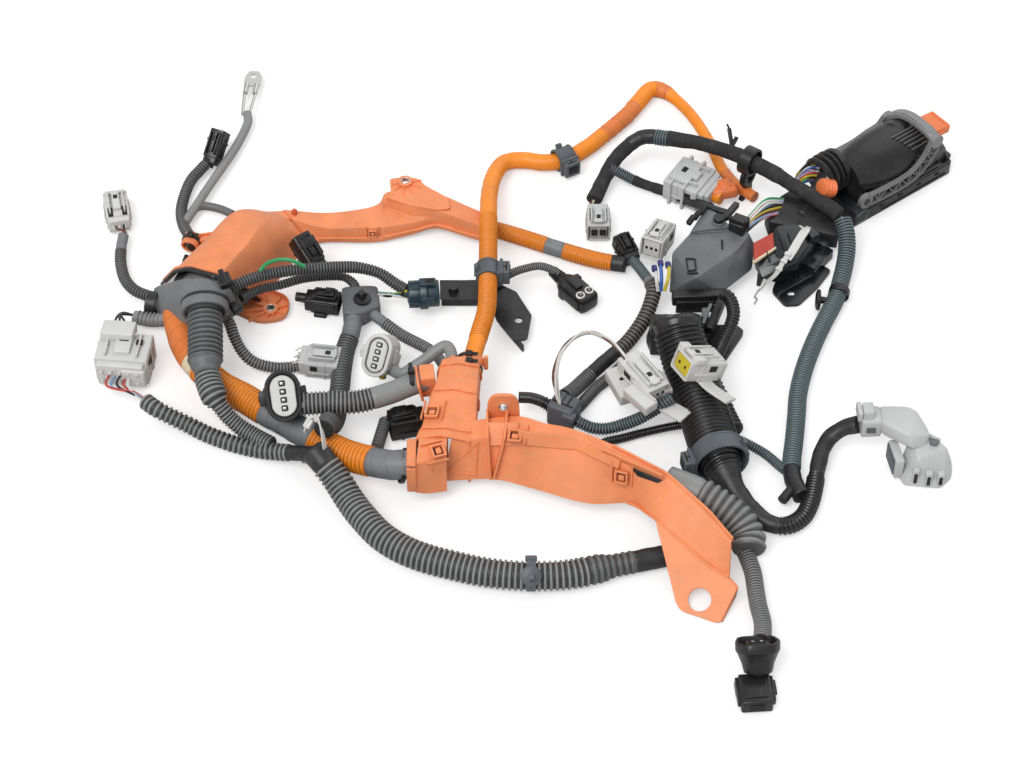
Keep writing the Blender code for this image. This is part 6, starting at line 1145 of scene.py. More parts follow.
rearGuard = {
    "wall": 0.0022,
    "boltHole": 0.0041,
    "hood": [
        [(-0.324, 0.126, 0.001), (-0.306, 0.1, 0.044), (-0.292, 0.093, 0.055), (-0.264, 0.078, 0.06),
        (-0.244, 0.092, 0.03), (-0.232, 0.104, 0.001)],
        [(-0.312, 0.148, 0.001), (-0.294, 0.118, 0.047), (-0.282, 0.112, 0.057), (-0.252, 0.098, 0.061),
        (-0.233, 0.111, 0.032), (-0.222, 0.122, 0.001)],
        [(-0.298, 0.17, 0.001), (-0.281, 0.138, 0.048), (-0.27, 0.132, 0.058), (-0.24, 0.118, 0.062),
        (-0.222, 0.13, 0.034), (-0.212, 0.14, 0.001)],
        [(-0.27, 0.206, 0.001), (-0.258, 0.178, 0.044), (-0.248, 0.17, 0.052), (-0.226, 0.158, 0.054),
        (-0.206, 0.164, 0.03), (-0.196, 0.168, 0.001)],
        [(-0.236, 0.214, 0.001), (-0.228, 0.2, 0.022), (-0.22, 0.192, 0.026), (-0.206, 0.182, 0.026),
        (-0.198, 0.174, 0.016), (-0.186, 0.172, 0.001)]],
    "arm": [
        [(-0.222, 0.212, 0.001), (-0.216, 0.202, 0.022), (-0.213, 0.197, 0.0235), (-0.2095, 0.1915, 0.024),
        (-0.206, 0.186, 0.024), (-0.2, 0.178, 0.006), (-0.196, 0.172, 0.0055), (-0.195, 0.171, 0.001)],
        [(-0.1778, 0.2059, 0.001), (-0.1768, 0.2019, 0.018), (-0.1765, 0.1955, 0.0184), (-0.1762, 0.1886, 0.0186),
        (-0.1759, 0.1822, 0.017), (-0.1763, 0.1795, 0.0075), (-0.1762, 0.1765, 0.007), (-0.1765, 0.177, 0.003)],
        [(-0.1421, 0.2114, 0.001), (-0.1411, 0.2074, 0.018), (-0.1408, 0.1994, 0.0186), (-0.1404, 0.1911, 0.0188),
        (-0.1402, 0.1822, 0.017), (-0.1405, 0.1795, 0.0075), (-0.1404, 0.1763, 0.007), (-0.1405, 0.1768, 0.003)],
        [(-0.1272, 0.2189, 0.001), (-0.1262, 0.2149, 0.018), (-0.1259, 0.2075, 0.0186), (-0.1256, 0.1992, 0.0188),
        (-0.1251, 0.1825, 0.017), (-0.1255, 0.1805, 0.0075), (-0.1254, 0.1774, 0.007), (-0.1255, 0.1779, 0.003)],
        [(-0.1195, 0.2245, 0.001), (-0.1185, 0.2205, 0.027), (-0.1181, 0.211, 0.0275), (-0.118, 0.2085, 0.0186),
        (-0.1176, 0.1835, 0.017), (-0.1179, 0.1815, 0.008), (-0.1178, 0.1784, 0.0075), (-0.118, 0.179, 0.0035)],
        [(-0.0958, 0.2262, 0.001), (-0.0948, 0.2222, 0.028), (-0.0942, 0.2, 0.0285), (-0.0943, 0.197, 0.0184),
        (-0.0942, 0.189, 0.017), (-0.0944, 0.1876, 0.0095), (-0.0944, 0.1848, 0.009), (-0.0945, 0.1854, 0.005)],
        [(-0.0721, 0.2232, 0.001), (-0.0711, 0.2192, 0.027), (-0.0705, 0.1945, 0.0275), (-0.0706, 0.1935, 0.02),
        (-0.0708, 0.1932, 0.0165), (-0.0709, 0.1928, 0.012), (-0.0708, 0.1902, 0.0112), (-0.0709, 0.1908, 0.0075)],
        [(-0.0406, 0.2068, 0.001), (-0.0396, 0.2028, 0.0245), (-0.0394, 0.1818, 0.025), (-0.0395, 0.1812, 0.019),
        (-0.0395, 0.1808, 0.016), (-0.0395, 0.1802, 0.012), (-0.0395, 0.1777, 0.0112), (-0.0396, 0.1783, 0.0075)],
        [(-0.0198, 0.196, 0.001), (-0.0188, 0.192, 0.0225), (-0.0187, 0.1745, 0.023), (-0.0188, 0.1738, 0.018),
        (-0.0188, 0.1733, 0.0155), (-0.0188, 0.1726, 0.012), (-0.0188, 0.1699, 0.0112), (-0.0188, 0.1705, 0.0075)]],
    "fin": [(-0.1165, 0.2365), (-0.1143, 0.216), (-0.1195, 0.211), (-0.0942, 0.1998), (-0.0705, 0.1942),
    (-0.058, 0.196),
            (-0.06, 0.21), (-0.0681, 0.2165), (-0.0748, 0.2215), (-0.0825, 0.2275), (-0.089, 0.237),
            (-0.1024, 0.239)],
    "boss": (-0.1013, 0.2307, 0.029),
    "eyelet": (-0.222, 0.087, 0.004),
}


def makeRearGuard(s=rearGuard):
    # Hood with a rolled rim, long arm with a lower lip, star-ribbed fin, ribbed eyelet and the clip arm.
    orange = "guardOrange"
    hood, arm = np.asarray(s["hood"]), np.asarray(s["arm"])
    bodies = [shellBody(s["hood"], s["wall"], orange, 10, 0.006), shellBody(s["arm"], s["wall"], orange, 10, 0.0007)]
    bodies.append(hullBody([(-0.24, 0.213, 0.001), (-0.218, 0.212, 0.001), (-0.232, 0.2, 0.0215),
        (-0.214, 0.2015, 0.0215), (-0.222, 0.191, 0.0255), (-0.206, 0.186, 0.024),
                            # neck between hood and arm
        (-0.24, 0.195, 0.001), (-0.216, 0.19, 0.001)], orange, 0.002, 2))
    bodies.append(hullBody([(-0.208, 0.185, 0.0235), (-0.202, 0.18, 0.012), (-0.199, 0.1765, 0.012),
        (-0.205, 0.183, 0.0245), (-0.21, 0.18, 0.01),
        (-0.203, 0.176, 0.004), (-0.215, 0.188, 0.02)], orange, 0.001, 1))
    rim = [surfaceFrame(hood, 0.03, j)[0] + surfaceFrame(hood, 0.03, j)[1][:, 2] * 0.001 for j in np.linspace(0.1,
        4.9, 18)]
    bodies.append(bandBody(rim, 0.005, 0.003, orange, across=(0.5, 0.86, 0)))
    rim = [p + np.array([-0.002, -0.0036, 0]) for p in rim]
    bodies.append(bandBody(rim, 0.003, 0.005, "tieBlack", across=(0.5, 0.86, 0)))
    # Raised line along the lip, where the cover closes on the trough
    line = [surfaceFrame(arm, i, 5.0)[0] + (0, -0.0016, 0.0004) for i in np.linspace(0.6, 7.9, 24)]
    bodies.append(bandBody(line, 0.0026, 0.0014, orange, across=(0, 0, 1)))
    bodies += [stick(b, arm, 2.6, 4.55, 0.0008, 0, 0.62) for b in loopLatch()]
    bodies += [stick(b, arm, 6.9, 4.4, 0.0008, 0, 0.5) for b in loopLatch()]
    x, y, z = s["boss"]
    bodies.append(plateBody(s["fin"], 0.0022, orange, 0.003, holes=[(x, y, s["boltHole"])], at=(0, 0, z - 0.0009)))
    bodies.append(pipeBody(s["boltHole"] + 0.003, 0.003, 0.0044, orange, at=(x, y, z + 0.0013), turn=(90, 0, 0)))
    bodies.append(pipeBody(s["boltHole"] + 0.0002, 0.0009, 0.005, "tinnedSteel", at=(x, y, z + 0.0013),
        turn=(90, 0, 0)))
    for k in range(10):
        angle = 2 * math.pi * k / 10 + 0.2
        reach = 0.008 + 0.0036 * math.cos(angle + 0.9)
        middle = (x + (0.006 + reach / 2) * math.cos(angle), y + (0.006 + reach / 2) * math.sin(angle), z + 0.0006)
        if middle[1] + reach / 2 * math.sin(angle) < 0.234:
            bodies.append(softBox(0.0011, reach, 0.002, orange, 0.0004, at=middle,
                turn=(0, 0, math.degrees(angle) - 90)))
    bodies.append(hullBody([(-0.1165, 0.2365, 0.028), (-0.1143, 0.216, 0.028), (-0.115, 0.236, 0.028),
        (-0.113, 0.216, 0.028),
        (-0.114, 0.224, 0.01), (-0.113, 0.218, 0.01)], orange, 0.0006))
    x, y, z = s["eyelet"]
    tab = [(-0.264, 0.112), (-0.24, 0.12), (-0.205, 0.101), (-0.207, 0.077), (-0.232, 0.072), (-0.264, 0.09)]
    bodies.append(plateBody(tab, 0.003, orange, 0.01, holes=[(x, y, s["boltHole"])], at=(0, 0, z - 0.0014)))
    ring = roundCorners(tab, 0.01, 5)
    bodies.append(bandBody([(px, py, z + 0.0014) for px, py in ring + ring[:1]], 0.0016, 0.0056, orange,
        across=(0, 0, 1), perSpan=3))
    bodies.append(pipeBody(s["boltHole"] + 0.0028, 0.0028, 0.0066, orange, at=(x, y, z + 0.0012), turn=(90, 0, 0)))
    bodies.append(pipeBody(s["boltHole"] + 0.0002, 0.0009, 0.0072, "tinnedSteel", at=(x, y, z + 0.0012),
        turn=(90, 0, 0)))
    for angle, reach in ((20, 0.01), (62, 0.012), (105, 0.016), (150, 0.022), (185, 0.024), (215, 0.018), (255, 0.01),
            (290, 0.008), (335, 0.008)):
        turn = math.radians(angle)
        middle = (x + (0.0058 + reach / 2) * math.cos(turn), y + (0.0058 + reach / 2) * math.sin(turn), z + 0.0012)
        bodies.append(softBox(0.0013, reach, 0.0048, orange, 0.0004, at=middle, turn=(0, 0, angle - 90)))
    bodies.append(strandBody([(-0.262, 0.112, 0.005), (-0.25, 0.12, 0.008), (-0.236, 0.128, 0.012)], 0.0016, orange))
    # Clip arm with its saddle and the nub on the arm
    bodies.append(softBox(0.03, 0.006, 0.0095, orange, 0.0014, at=(-0.2835, 0.1705, 0.0125), turn=(0, 0, 12)))
    bodies.append(softBox(0.03, 0.002, 0.014, orange, 0.0008, at=(-0.283, 0.1745, 0.012), turn=(0, 0, 12)))
    bodies.append(pipeBody(0.0084, 0.0022, 0.013, orange, at=(-0.3008, 0.168, 0.0128), turn=(8, 0, -15)))
    bodies += ringTie((-0.3006, 0.169, 0.0128), 0.0094, 0.0045, (8, 0, -15))
    bodies.append(turnedBody([(0.0016, -0.003), (0.003, -0.001), (0.0026, 0.002), (0.0014, 0.0035)], "sealOrange", 16,
        at=(-0.205, 0.196, 0.0245), turn=(90, 0, 0)))
    # Fir-tree pin under the clip arm
    pin = [(0.0012, 0.0)] + [(r, 0.0012 + 0.0016 * k + d) for k in range(5) for r,
        d in ((0.0032 - 0.0003 * k, 0), (0.0014, 0.001))]
    bodies.append(turnedBody(pin, "tieBlack", 14, at=(-0.304, 0.156, 0.006), turn=(0, 0, 158)))
    return piece("rearGuardMoulding", bodies, "rear_guard")


makeFrontGuard()
makeRearGuard()
print("guards made")


# Connectors, each built lying on its own Y with the mating face ahead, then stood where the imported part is


def plugBodies(s):
    # Socket shell, recessed insert with terminal mouths, latch arm between two rails, side ribs and wire collar.
    (wide, long, high), shell, core = s["size"], s["shell"], s.get("core", s["shell"])
    columns, rows = s["ways"]
    bodies = [cup(wide, long, high, 0.0016, min(0.01, long * 0.4), shell, 0.002),
        softBox(wide - 0.006, 0.008, high - 0.006, core, 0.0006, at=(0, long / 2 - 0.0055, 0))]
    pitchX, pitchZ = (wide - 0.0076) / columns, (high - 0.0076) / rows
    for column in range(columns):
        for row in range(rows):
            x, z = (column - (columns - 1) / 2) * pitchX, (row - (rows - 1) / 2) * pitchZ
            # terminal mouths: thin near-black sheets of painted shade
            bodies.append(softBox(min(0.0026, pitchX * 0.6), 0.001, min(0.003, pitchZ * 0.6), "paintedCavityShade", 0.0003,
                at=(x, long / 2 - 0.0017, z)))
            bodies.append(rodBody(0.0014, 0.006, s.get("seal", core), 12, at=(x, -long / 2 - 0.0065, z)))
    top = high / 2
    # the near-black strip on the latch arm is painted shade in its slot
    bodies += [softBox(wide * 0.3, long * 0.7, 0.0016, shell, 0.0006, at=(0, long * 0.08, top + 0.003)),
        softBox(wide * 0.3, 0.004, 0.0048, shell, 0.0006, at=(0, -long * 0.24, top + 0.0012)),
        softBox(wide * 0.44, 0.0026, 0.0032, shell, 0.0006, at=(0, long * 0.36, top + 0.0026)),
        softBox(wide * 0.18, 0.005, 0.0012, "paintedCavityShade", 0.0003, at=(0, long * 0.16, top + 0.0036))]
    for side in (-1, 1):
        bodies.append(softBox(0.0016, long * 0.8, 0.005, shell, 0.0005, at=(side * wide * 0.3, 0, top + 0.0018)))
        bodies.append(softBox(0.0016, long * 0.66, 0.0026, shell, 0.0004,
            at=(side * (wide / 2 + 0.0004), -long * 0.06, -high * 0.12)))
        # near-black side pockets: painted shade
        bodies.append(softBox(0.0012, long * 0.22, 0.006, "paintedCavityShade", 0.0003,
            at=(side * (wide / 2 - 0.0002), -long * 0.22, high * 0.18)))
    bodies += [softBox(wide + 0.0016, 0.0024, high + 0.0014, shell, 0.0006, corner=0.0024, at=(0, long * 0.1, 0)),
        softBox(wide * 0.88, 0.008, high * 0.84, shell, 0.0012, at=(0, -long / 2 - 0.002, 0))]
    return bodies


def stand(bodies, at, turn):
    return [put(body, at, turn) for body in bodies]


def leadBodies(at, turn, starts, target, heading, radius, colours):
    # Thin wires from the back of a plug: each leaves straight, sags a little and gathers into the conduit's mouth.
    axes = turnMatrix(turn)
    target, heading = np.asarray(target, float), np.asarray(heading, float) / np.linalg.norm(heading)
    bodies = []
    for k, (start, colour) in enumerate(zip(starts, colours)):
        begin = np.asarray(at, float) + axes @ np.asarray(start, float)
        away = axes @ np.array([0, -1.0, 0])
        spread = radius * 1.25 * np.array([math.cos(2.4 * k), math.sin(2.4 * k), 0.4 * math.sin(3.1 * k)])
        span = np.linalg.norm(target - begin)
        bodies.append(strandBody([begin, begin + away * span * 0.3 + spread * 0.5,
            target - heading * span * 0.3 + spread,
            target + heading * 0.004 + spread * 0.6], radius, colour, 8))
    return bodies


plugs = {  # size, place, turn, ways, and where the wires run: conduit's route name
    "three_way_connector": dict(size=(0.023, 0.034, 0.017), at=(-0.3755, 0.214, 0.01), turn=(0, 0, 12), ways=(3, 1),
    shell="plugWhite",
    lead="smallLeftConduit", colours=("wireBrown", "wireRed", "wireBlack"),
    slot="plug_white"),
    "two_way_connector": dict(size=(0.015, 0.028, 0.018), at=(-0.2862, 0.2965, 0.0175), turn=(38, 0, -22),
    ways=(2, 1), shell="plugBlack",
    lead="rearLeftConduit", colours=("wireBlack", "wireWhite"), slot="plug_black"),
    "large_white_connector": dict(size=(0.048, 0.034, 0.03), at=(-0.348, 0.018, 0.0155), turn=(0, 0, -6), ways=(5, 2),
    shell="plugWhite",
    lead="lowerLeftConduit", colours=("wireRed", "wireSky", "wireBlack", "wireRed",
    "wireWhite"), slot="plug_white"),
    "clear_left_connector": dict(size=(0.026, 0.03, 0.018), at=(-0.17, 0.018, 0.01), turn=(0, 0, -98), ways=(4, 1),
    shell="plugPale",
    lead="hubLowerConduit", last=True, colours=("wireWhite", "wireBlack", "wirePink"),
    slot="plug_pale_grey"),
    "rear_plug": dict(size=(0.018, 0.03, 0.02), at=(-0.19, 0.137, 0.032), turn=(30, 0, 38), ways=(2, 1),
    shell="plugBlack", slot="plug_black"),
    "lower_plug": dict(size=(0.018, 0.026, 0.016), at=(-0.171, 0.092, 0.0105), turn=(0, 0, -100), ways=(2, 1),
    shell="plugBlack", slot="plug_black"),
    "small_black_connector": dict(size=(0.02, 0.026, 0.022), at=(-0.0955, -0.059, 0.014), turn=(0, 0, 104),
    ways=(2, 1), shell="plugBlack", slot="plug_black"),
    "small_clear_connector": dict(size=(0.022, 0.026, 0.02), at=(0.0815, 0.1935, 0.0115), turn=(0, 0, 180),
    ways=(2, 1), shell="plugPale",
    lead="foamLoom", colours=("wireYellow", "wireBrown", "wireWhite"),
    slot="plug_pale_grey"),
    "large_clear_connector": dict(size=(0.04, 0.036, 0.024), at=(0.17, 0.2465, 0.013), turn=(0, 0, 58), ways=(3, 1),
    shell="plugPale", slot="plug_pale_grey"),
    "white_block_connector": dict(size=(0.022, 0.034, 0.022), at=(0.1356, 0.159, 0.0235), turn=(12, 0, 156),
    ways=(3, 1), shell="plugWhite", slot="plug_white"),
    "small_block_connector": dict(size=(0.017, 0.022, 0.016), at=(0.106, 0.16, 0.0135), turn=(10, 0, 24), ways=(2, 1),
    shell="plugBlack", slot="plug_black"),
    "white_connector_group": dict(pieceName="whiteConnector_groupDetail",
    size=(0.024, 0.044, 0.02), at=(0.1165, -0.0345, 0.044), turn=(0, 0, -148),
    ways=(3, 1), shell="plugWhite", slot="plug_white"),
    "yellow_insert_connector": dict(size=(0.026, 0.036, 0.02), at=(0.162, -0.033, 0.0625), turn=(24, 6, 118),
    ways=(2, 1), shell="plugWhite",
    core="insertYellow", slot="plug_white"),
}


def extraBodies(name):
    # What sets single connectors apart: second halves, pockets, boots, straps and printed-free label pads.
    if name == "large_white_connector":
        return [softBox(0.03, 0.02, 0.011, "plugWhite", 0.0016, at=(-0.007, 0.014, 0.0185), turn=(-8, 0, 0)),
                # near-black slots and pocket: painted shade
                softBox(0.0018, 0.003, 0.014, "paintedCavityShade", 0.0003, at=(0.0236, -0.002, 0.001)),
                softBox(0.0018, 0.003, 0.014, "paintedCavityShade", 0.0003, at=(0.0236, 0.006, 0.001)),
                softBox(0.006, 0.006, 0.0016, "paintedCavityShade", 0.0004, at=(0.014, 0.004, 0.0176)),
                softBox(0.022, 0.014, 0.02, "plugWhite", 0.002, at=(0.012, -0.018, -0.001)),
                softBox(0.01, 0.01, 0.008, "plugWhite", 0.001, at=(-0.016, 0.02, 0.01))]
    if name == "three_way_connector":
        # near-black slots on top are painted shade
        return [softBox(0.0048, 0.012, 0.001, "paintedCavityShade", 0.0003, at=(x, -0.011, 0.0084)) for x in (-0.0066,
            0.0066)] + [
            softBox(0.02, 0.004, 0.006, "plugWhite", 0.0008, at=(0, 0.014, 0.008))]
    if name == "clear_left_connector":
        return [softBox(0.0016, 0.022, 0.005, "plugPale", 0.0004, at=(x, 0.0, 0.0115)) for x in (-0.008, 0.008)] + [
            strandBody([(x, -0.014, 0.004), (x * 1.3, -0.021, 0.006), (x * 1.1, -0.027, 0.002)], 0.0007, "wireWhite",
            6) for x in (-0.007, 0, 0.007)]
    if name in ("rear_plug", "lower_plug"):
        return [softBox(0.016, 0.012, 0.007, "plugBlack", 0.0012, at=(0.003, -0.004, -0.01)),
            rodBody(0.0044, 0.016, "blackTape", 18, at=(-0.002, -0.021, 0)),
                softBox(0.01, 0.009, 0.0012, "plugBlack", 0.0005, at=(0, 0.004, 0.0145)),
                softBox(0.0022, 0.02, 0.008, "plugBlack", 0.0006, at=(0.0098, 0, 0.004))]
    if name == "small_black_connector":
        return [rodBody(0.0036, 0.022, "blackTape", 16, at=(-0.006, -0.022, -0.006), turn=(0, 0, -24)),
            softBox(0.012, 0.012, 0.006, "plugBlack", 0.001, at=(0.002, 0.002, 0.0125))]
    if name == "small_clear_connector":
        # near-black slots and mouths are painted shade
        return [softBox(0.0024, 0.016, 0.0016, "paintedCavityShade", 0.0004, at=(x, -0.002, 0.0102)) for x in (-0.007,
            0.007)] + [
            softBox(0.006, 0.0016, 0.007, "paintedCavityShade", 0.0003, at=(-0.004, 0.0131, 0.001)),
            softBox(0.006, 0.0016, 0.007, "paintedCavityShade", 0.0003, at=(0.004, 0.0131, 0.001))]
    if name == "large_clear_connector":
        return [softBox(0.046, 0.003, 0.028, "plugPale", 0.0008, at=(0, y, 0)) for y in (-0.004, 0.01)] + [
            softBox(0.03, 0.012, 0.018, "plugPale", 0.002, at=(0, -0.022, 0)),
            rodBody(0.0075, 0.012, "cableOrange", 22, at=(0, -0.03, 0)),
            softBox(0.012, 0.02, 0.004, "plugPale", 0.001, at=(-0.01, 0.004, 0.014)),
            softBox(0.012, 0.02, 0.004, "plugPale", 0.001, at=(0.01, 0.004, 0.014))]
    if name == "white_block_connector":
        return [softBox(0.0012, 0.03, 0.003, "plugWhite", 0.0004, at=(x, 0, 0.0116)) for x in (-0.008, -0.004, 0.004,
            0.008)]
    if name == "white_connector_group":
        return [softBox(0.022, 0.036, 0.012, "plugWhite", 0.0014, at=(0.012, -0.014, -0.0125), turn=(0, 0, -10)),
                softBox(0.014, 0.03, 0.01, "plugWhite", 0.0012, at=(0.018, 0.02, 0.004), turn=(0, 0, 8)),
                softBox(0.01, 0.024, 0.008, "plugWhite", 0.001, at=(-0.013, 0.01, -0.004), turn=(0, 0, -14)),
                softBox(0.0016, 0.03, 0.004, "plugWhite", 0.0004, at=(0.013, 0.018, 0.0092), turn=(0, 0, 8)),
                softBox(0.006, 0.003, 0.0012, "paintedCavityShade", 0.0003, at=(0.012, -0.016, -0.0062)),
                softBox(0.016, 0.04, 0.003, "plugWhite", 0.001, at=(-0.004, 0.032, -0.0085), turn=(6, 0, 16))]
    if name == "yellow_insert_connector":
        strap = [(-0.008, -0.004, -0.01), (-0.022, -0.007, -0.011), (-0.042, -0.014, -0.01)]
        return [bandBody(strap, 0.015, 0.0026, "plugWhite", across=(0, 0, 1)),
            softBox(0.02, 0.016, 0.012, "plugWhite", 0.002, at=(0, -0.012, 0.006)),
                softBox(0.008, 0.01, 0.006, "plugWhite", 0.001, at=(0.01, 0.012, 0.012)),
                softBox(0.008, 0.012, 0.006, "plugWhite", 0.001, at=(-0.011, 0.01, 0.012))]
    return []


def makePlugs():
    # Every boxed connector from the table above, with its extras and the wires to its conduit.
    for name, s in plugs.items():
        bodies = stand(plugBodies(s) + extraBodies(name), s["at"], s["turn"])
        if "lead" in s:
            route = np.asarray(routes[s["lead"]][1])
            mouth, inside = (route[-1], route[-2]) if s.get("last") else (route[0], route[1])
            (wide, long, _), count = s["size"], len(s["colours"])
            starts = [((k - (count - 1) / 2) * wide * 0.5 / count, -long / 2 - 0.005,
                0.001 * (-1) ** k) for k in range(count)]
            bodies += leadBodies(s["at"], s["turn"], starts, mouth, inside - mouth, 0.0011, s["colours"])
        piece(s.get("pieceName", detailName(name)), bodies, name)


def ovalRing(wide, high, y, sides=36):
    # Flat-sided oval in XZ: half circles of the width, parted by the straight run.
    angle = 2 * np.pi * np.arange(sides) / sides
    radius, straight = wide / 2, max(high / 2 - wide / 2, 0)
    return np.stack([radius * np.cos(angle), y + 0 * angle, radius * np.sin(angle) + np.where(np.sin(angle) >= 0,
        straight, -straight)], 1)


def ovalBody(stations, finishName):
    # Ovals along Y, each station y, width, height.
    points = np.stack([ovalRing(wide, high, y) for y, wide, high in stations])
    return points.reshape(-1, 3), gridFaces(len(stations), points.shape[1]), finishName


ovals = {
    "oval_black_connector": dict(at=(-0.2, -0.056, 0.046), turn=(50, 0, 190), width=0.03, height=0.044, depth=0.026,
    pins=4,
    shell="plugBlack", core="plugWhite", slot="plug_black"),
    "oval_white_connector": dict(at=(-0.116, 0.004, 0.034), turn=(44, 0, 158), width=0.024, height=0.038, depth=0.03,
    pins=4,
    shell="plugWhite", core="plugWhite", slot="plug_white"),
}


def makeOvals():
    # Oval sealed connectors: a rolled outer rim, a moat, and the insert with square mouths round their terminals.
    for name, s in ovals.items():
        w, h, d = s["width"], s["height"], s["depth"] / 2
        wall = 0.0026
        bodies = [ovalBody([(-d, w - 0.004, h - 0.004), (-d + 0.002, w - 0.001, h - 0.001),
            (d - 0.01, w - 0.001, h - 0.001), (d - 0.009, w + 0.0012, h + 0.0012),
            (d - 0.0008, w + 0.0012, h + 0.0012), (d, w, h),
            (d, w - 2 * wall + 0.001, h - 2 * wall + 0.001),
            (d - 0.0006, w - 2 * wall, h - 2 * wall), (d - 0.007, w - 2 * wall, h - 2 * wall)],
            s["shell"]),
            ovalBody([(d - 0.0075, w - 2 * wall - 0.003, h - 2 * wall - 0.003),
            (d - 0.0012, w - 2 * wall - 0.003, h - 2 * wall - 0.003),
            (d - 0.0006, w - 2 * wall - 0.0042, h - 2 * wall - 0.0042)], s["core"])]
        pitch = (h - w + w * 0.5) / s["pins"]
        for k in range(s["pins"]):
            z = (k - (s["pins"] - 1) / 2) * pitch
            # square mouths: near-black sheets of painted shade round the terminals
            bodies.append(softBox(0.0058, 0.0012, pitch * 0.72, "paintedCavityShade", 0.0003, corner=0.0012,
                at=(0, d - 0.0008, z)))
            bodies.append(softBox(0.003, 0.0014, pitch * 0.34,
                "tinnedSteel" if name == "oval_black_connector" else s["core"], 0.0003, at=(0.0002, d - 0.0004, z)))
        bodies += [softBox(w + 0.003, 0.007, h * 0.42, s["shell"], 0.001, at=(0, -0.002, 0)),
            softBox(0.008, 0.016, h * 0.3, s["shell"], 0.001, at=(w / 2 + 0.0018, 0.0, 0)),
            softBox(0.0024, 0.018, 0.006, s["shell"], 0.0006, at=(w / 2 + 0.0052, -0.001, 0)),
            ovalBody([(-d - 0.006, w * 0.6, h * 0.55), (-d - 0.001, w * 0.7, h * 0.66),
            (-d + 0.001, w * 0.8, h * 0.8)], s["shell"])]
        if name == "oval_black_connector":
            bodies.append(rodBody(0.0118, 0.014, "blackTape", 28, at=(-0.014, -0.008, -0.004), turn=(0, 8, 90)))
            bodies += [softBox(0.0016, 0.005, 0.0046, "plugWhite", 0.0004,
                at=(-w / 2 - 0.0006, d - 0.006, z)) for z in (-0.01, 0.008)]
        else:
            bodies += [rodBody(0.0016, 0.012, "plugWhite", 12, at=(x, -d - 0.01, z)) for x,
                z in ((-0.004, -0.006), (0.003, 0.002), (-0.002, 0.008))]
            bodies.append(softBox(0.014, 0.01, 0.014, "plugWhite", 0.0012, at=(-0.004, -0.018, -0.004)))
        bodies = stand(bodies, s["at"], s["turn"])
        if name == "oval_white_connector":
            for k, colour in enumerate(("wireYellow", "wireBlack", "wireGreen")):
                bodies.append(strandBody([(-0.1185 + 0.002 * k, -0.006, 0.018), (-0.1165 + 0.0016 * k, -0.0115, 0.02),
                    (-0.112, -0.01 + 0.001 * k, 0.0245), (-0.1055, -0.008, 0.0275)], 0.0011, colour, 8))
        piece("ovalBlackDetail" if "black" in name else "ovalWhiteDetail", bodies, name)


def makeRoundConnector():
    # Two mated round halves: ribbed plug, socket ring with a flange, and the coloured wires behind.
    at, turn = (-0.0812, 0.093, 0.0205), (0, 0, 4 - 90)
    teal = "plugTeal"
    bodies = [turnedBody([(0.006, -0.015), (0.0085, -0.0142), (0.0112, -0.0135), (0.0115, -0.0128), (0.0115, -0.004),
        (0.0108, -0.0034)], teal, 40),
        turnedBody([(0.012, -0.004), (0.014, -0.0034), (0.0144, -0.0026), (0.0144, 0.003), (0.0136, 0.004),
        (0.0124, 0.0046), (0.0124, 0.0128), (0.012, 0.014),
        (0.0108, 0.0145), (0.0106, 0.012)], teal, 40)]
    for k in range(10):
        a = 2 * math.pi * k / 10
        bodies.append(softBox(0.0022, 0.0105, 0.0024, teal, 0.0005,
            at=(0.0116 * math.cos(a), -0.0085, 0.0116 * math.sin(a)), turn=(0, -math.degrees(a), 0)))
    # the near-black slot on the latch is painted shade
    bodies += [softBox(0.009, 0.015, 0.004, teal, 0.001, at=(0, 0.004, 0.0145)),
        softBox(0.005, 0.008, 0.002, "paintedCavityShade", 0.0004, at=(0, 0.006, 0.016)),
        softBox(0.003, 0.012, 0.006, teal, 0.0008, at=(0.0125, 0.004, 0.004))]
    bodies = stand(bodies, at, turn)
    for k, colour in enumerate(("wireYellow", "wireSky", "wireBlack", "wireGreen", "wireWhite")):
        a = 2.4 * k
        bodies.append(strandBody([(-0.125, 0.1 - 0.0016 * k, 0.016 + 0.0006 * k),
            (-0.114, 0.0965 + 0.002 * math.sin(a), 0.0155), (-0.105, 0.094 + 0.002 * math.cos(a), 0.018),
            (-0.095, 0.093 + 0.004 * math.sin(a), 0.0205 + 0.004 * math.cos(a))], 0.0012,
            colour, 8))
    piece("roundConnectorDetail", bodies, "round_connector")


def makeTwoPin():
    # Sealed two-pin plug: bevelled body, two white seals with keyed pins and a ribbed boot.
    black = "plugBlack"
    bodies = [lofted([(-0.02, 0.012, 0.01, 0.003), (-0.019, 0.018, 0.014, 0.004), (-0.017, 0.0212, 0.017, 0.004),
        (-0.006, 0.0216, 0.0178, 0.004), (0.006, 0.0216, 0.0178, 0.004),
        (0.008, 0.0246, 0.0196, 0.004), (0.0125, 0.0246, 0.0196, 0.004), (0.014, 0.02, 0.0165, 0.004),
        (0.02, 0.015, 0.013, 0.004)], black),
        softBox(0.008, 0.016, 0.003, black, 0.0008, at=(0, 0.004, 0.0102)),
        softBox(0.0016, 0.026, 0.01, black, 0.0005, at=(0.0112, -0.002, 0)),
        softBox(0.0016, 0.026, 0.01, black, 0.0005, at=(-0.0112, -0.002, 0))]
    for k in range(5):
        bodies.append(rodBody(0.0066 - 0.0003 * k, 0.003, black, 20, 0.0009, at=(0, 0.0208 + 0.0034 * k, 0.001)))
    for side in (-1, 1):
        place = (side * 0.0052, -0.011, 0.0092)
        bodies += [pipeBody(0.0043, 0.0016, 0.002, "wireWhite", 24, at=place, turn=(90, 0, 0)),
            rodBody(0.0028, 0.0022, black, 16, at=place, turn=(90, 0, 0)),
            softBox(0.0008, 0.0022, 0.0026, "wireWhite", 0.0002, at=(place[0], place[1], place[2] + 0.0002))]
    bodies = stand(bodies, (0.06, 0.1035, 0.0105), (0, 0, 39))
    made = piece("twoPinDetail", bodies, "two_pin_connector")
    return made


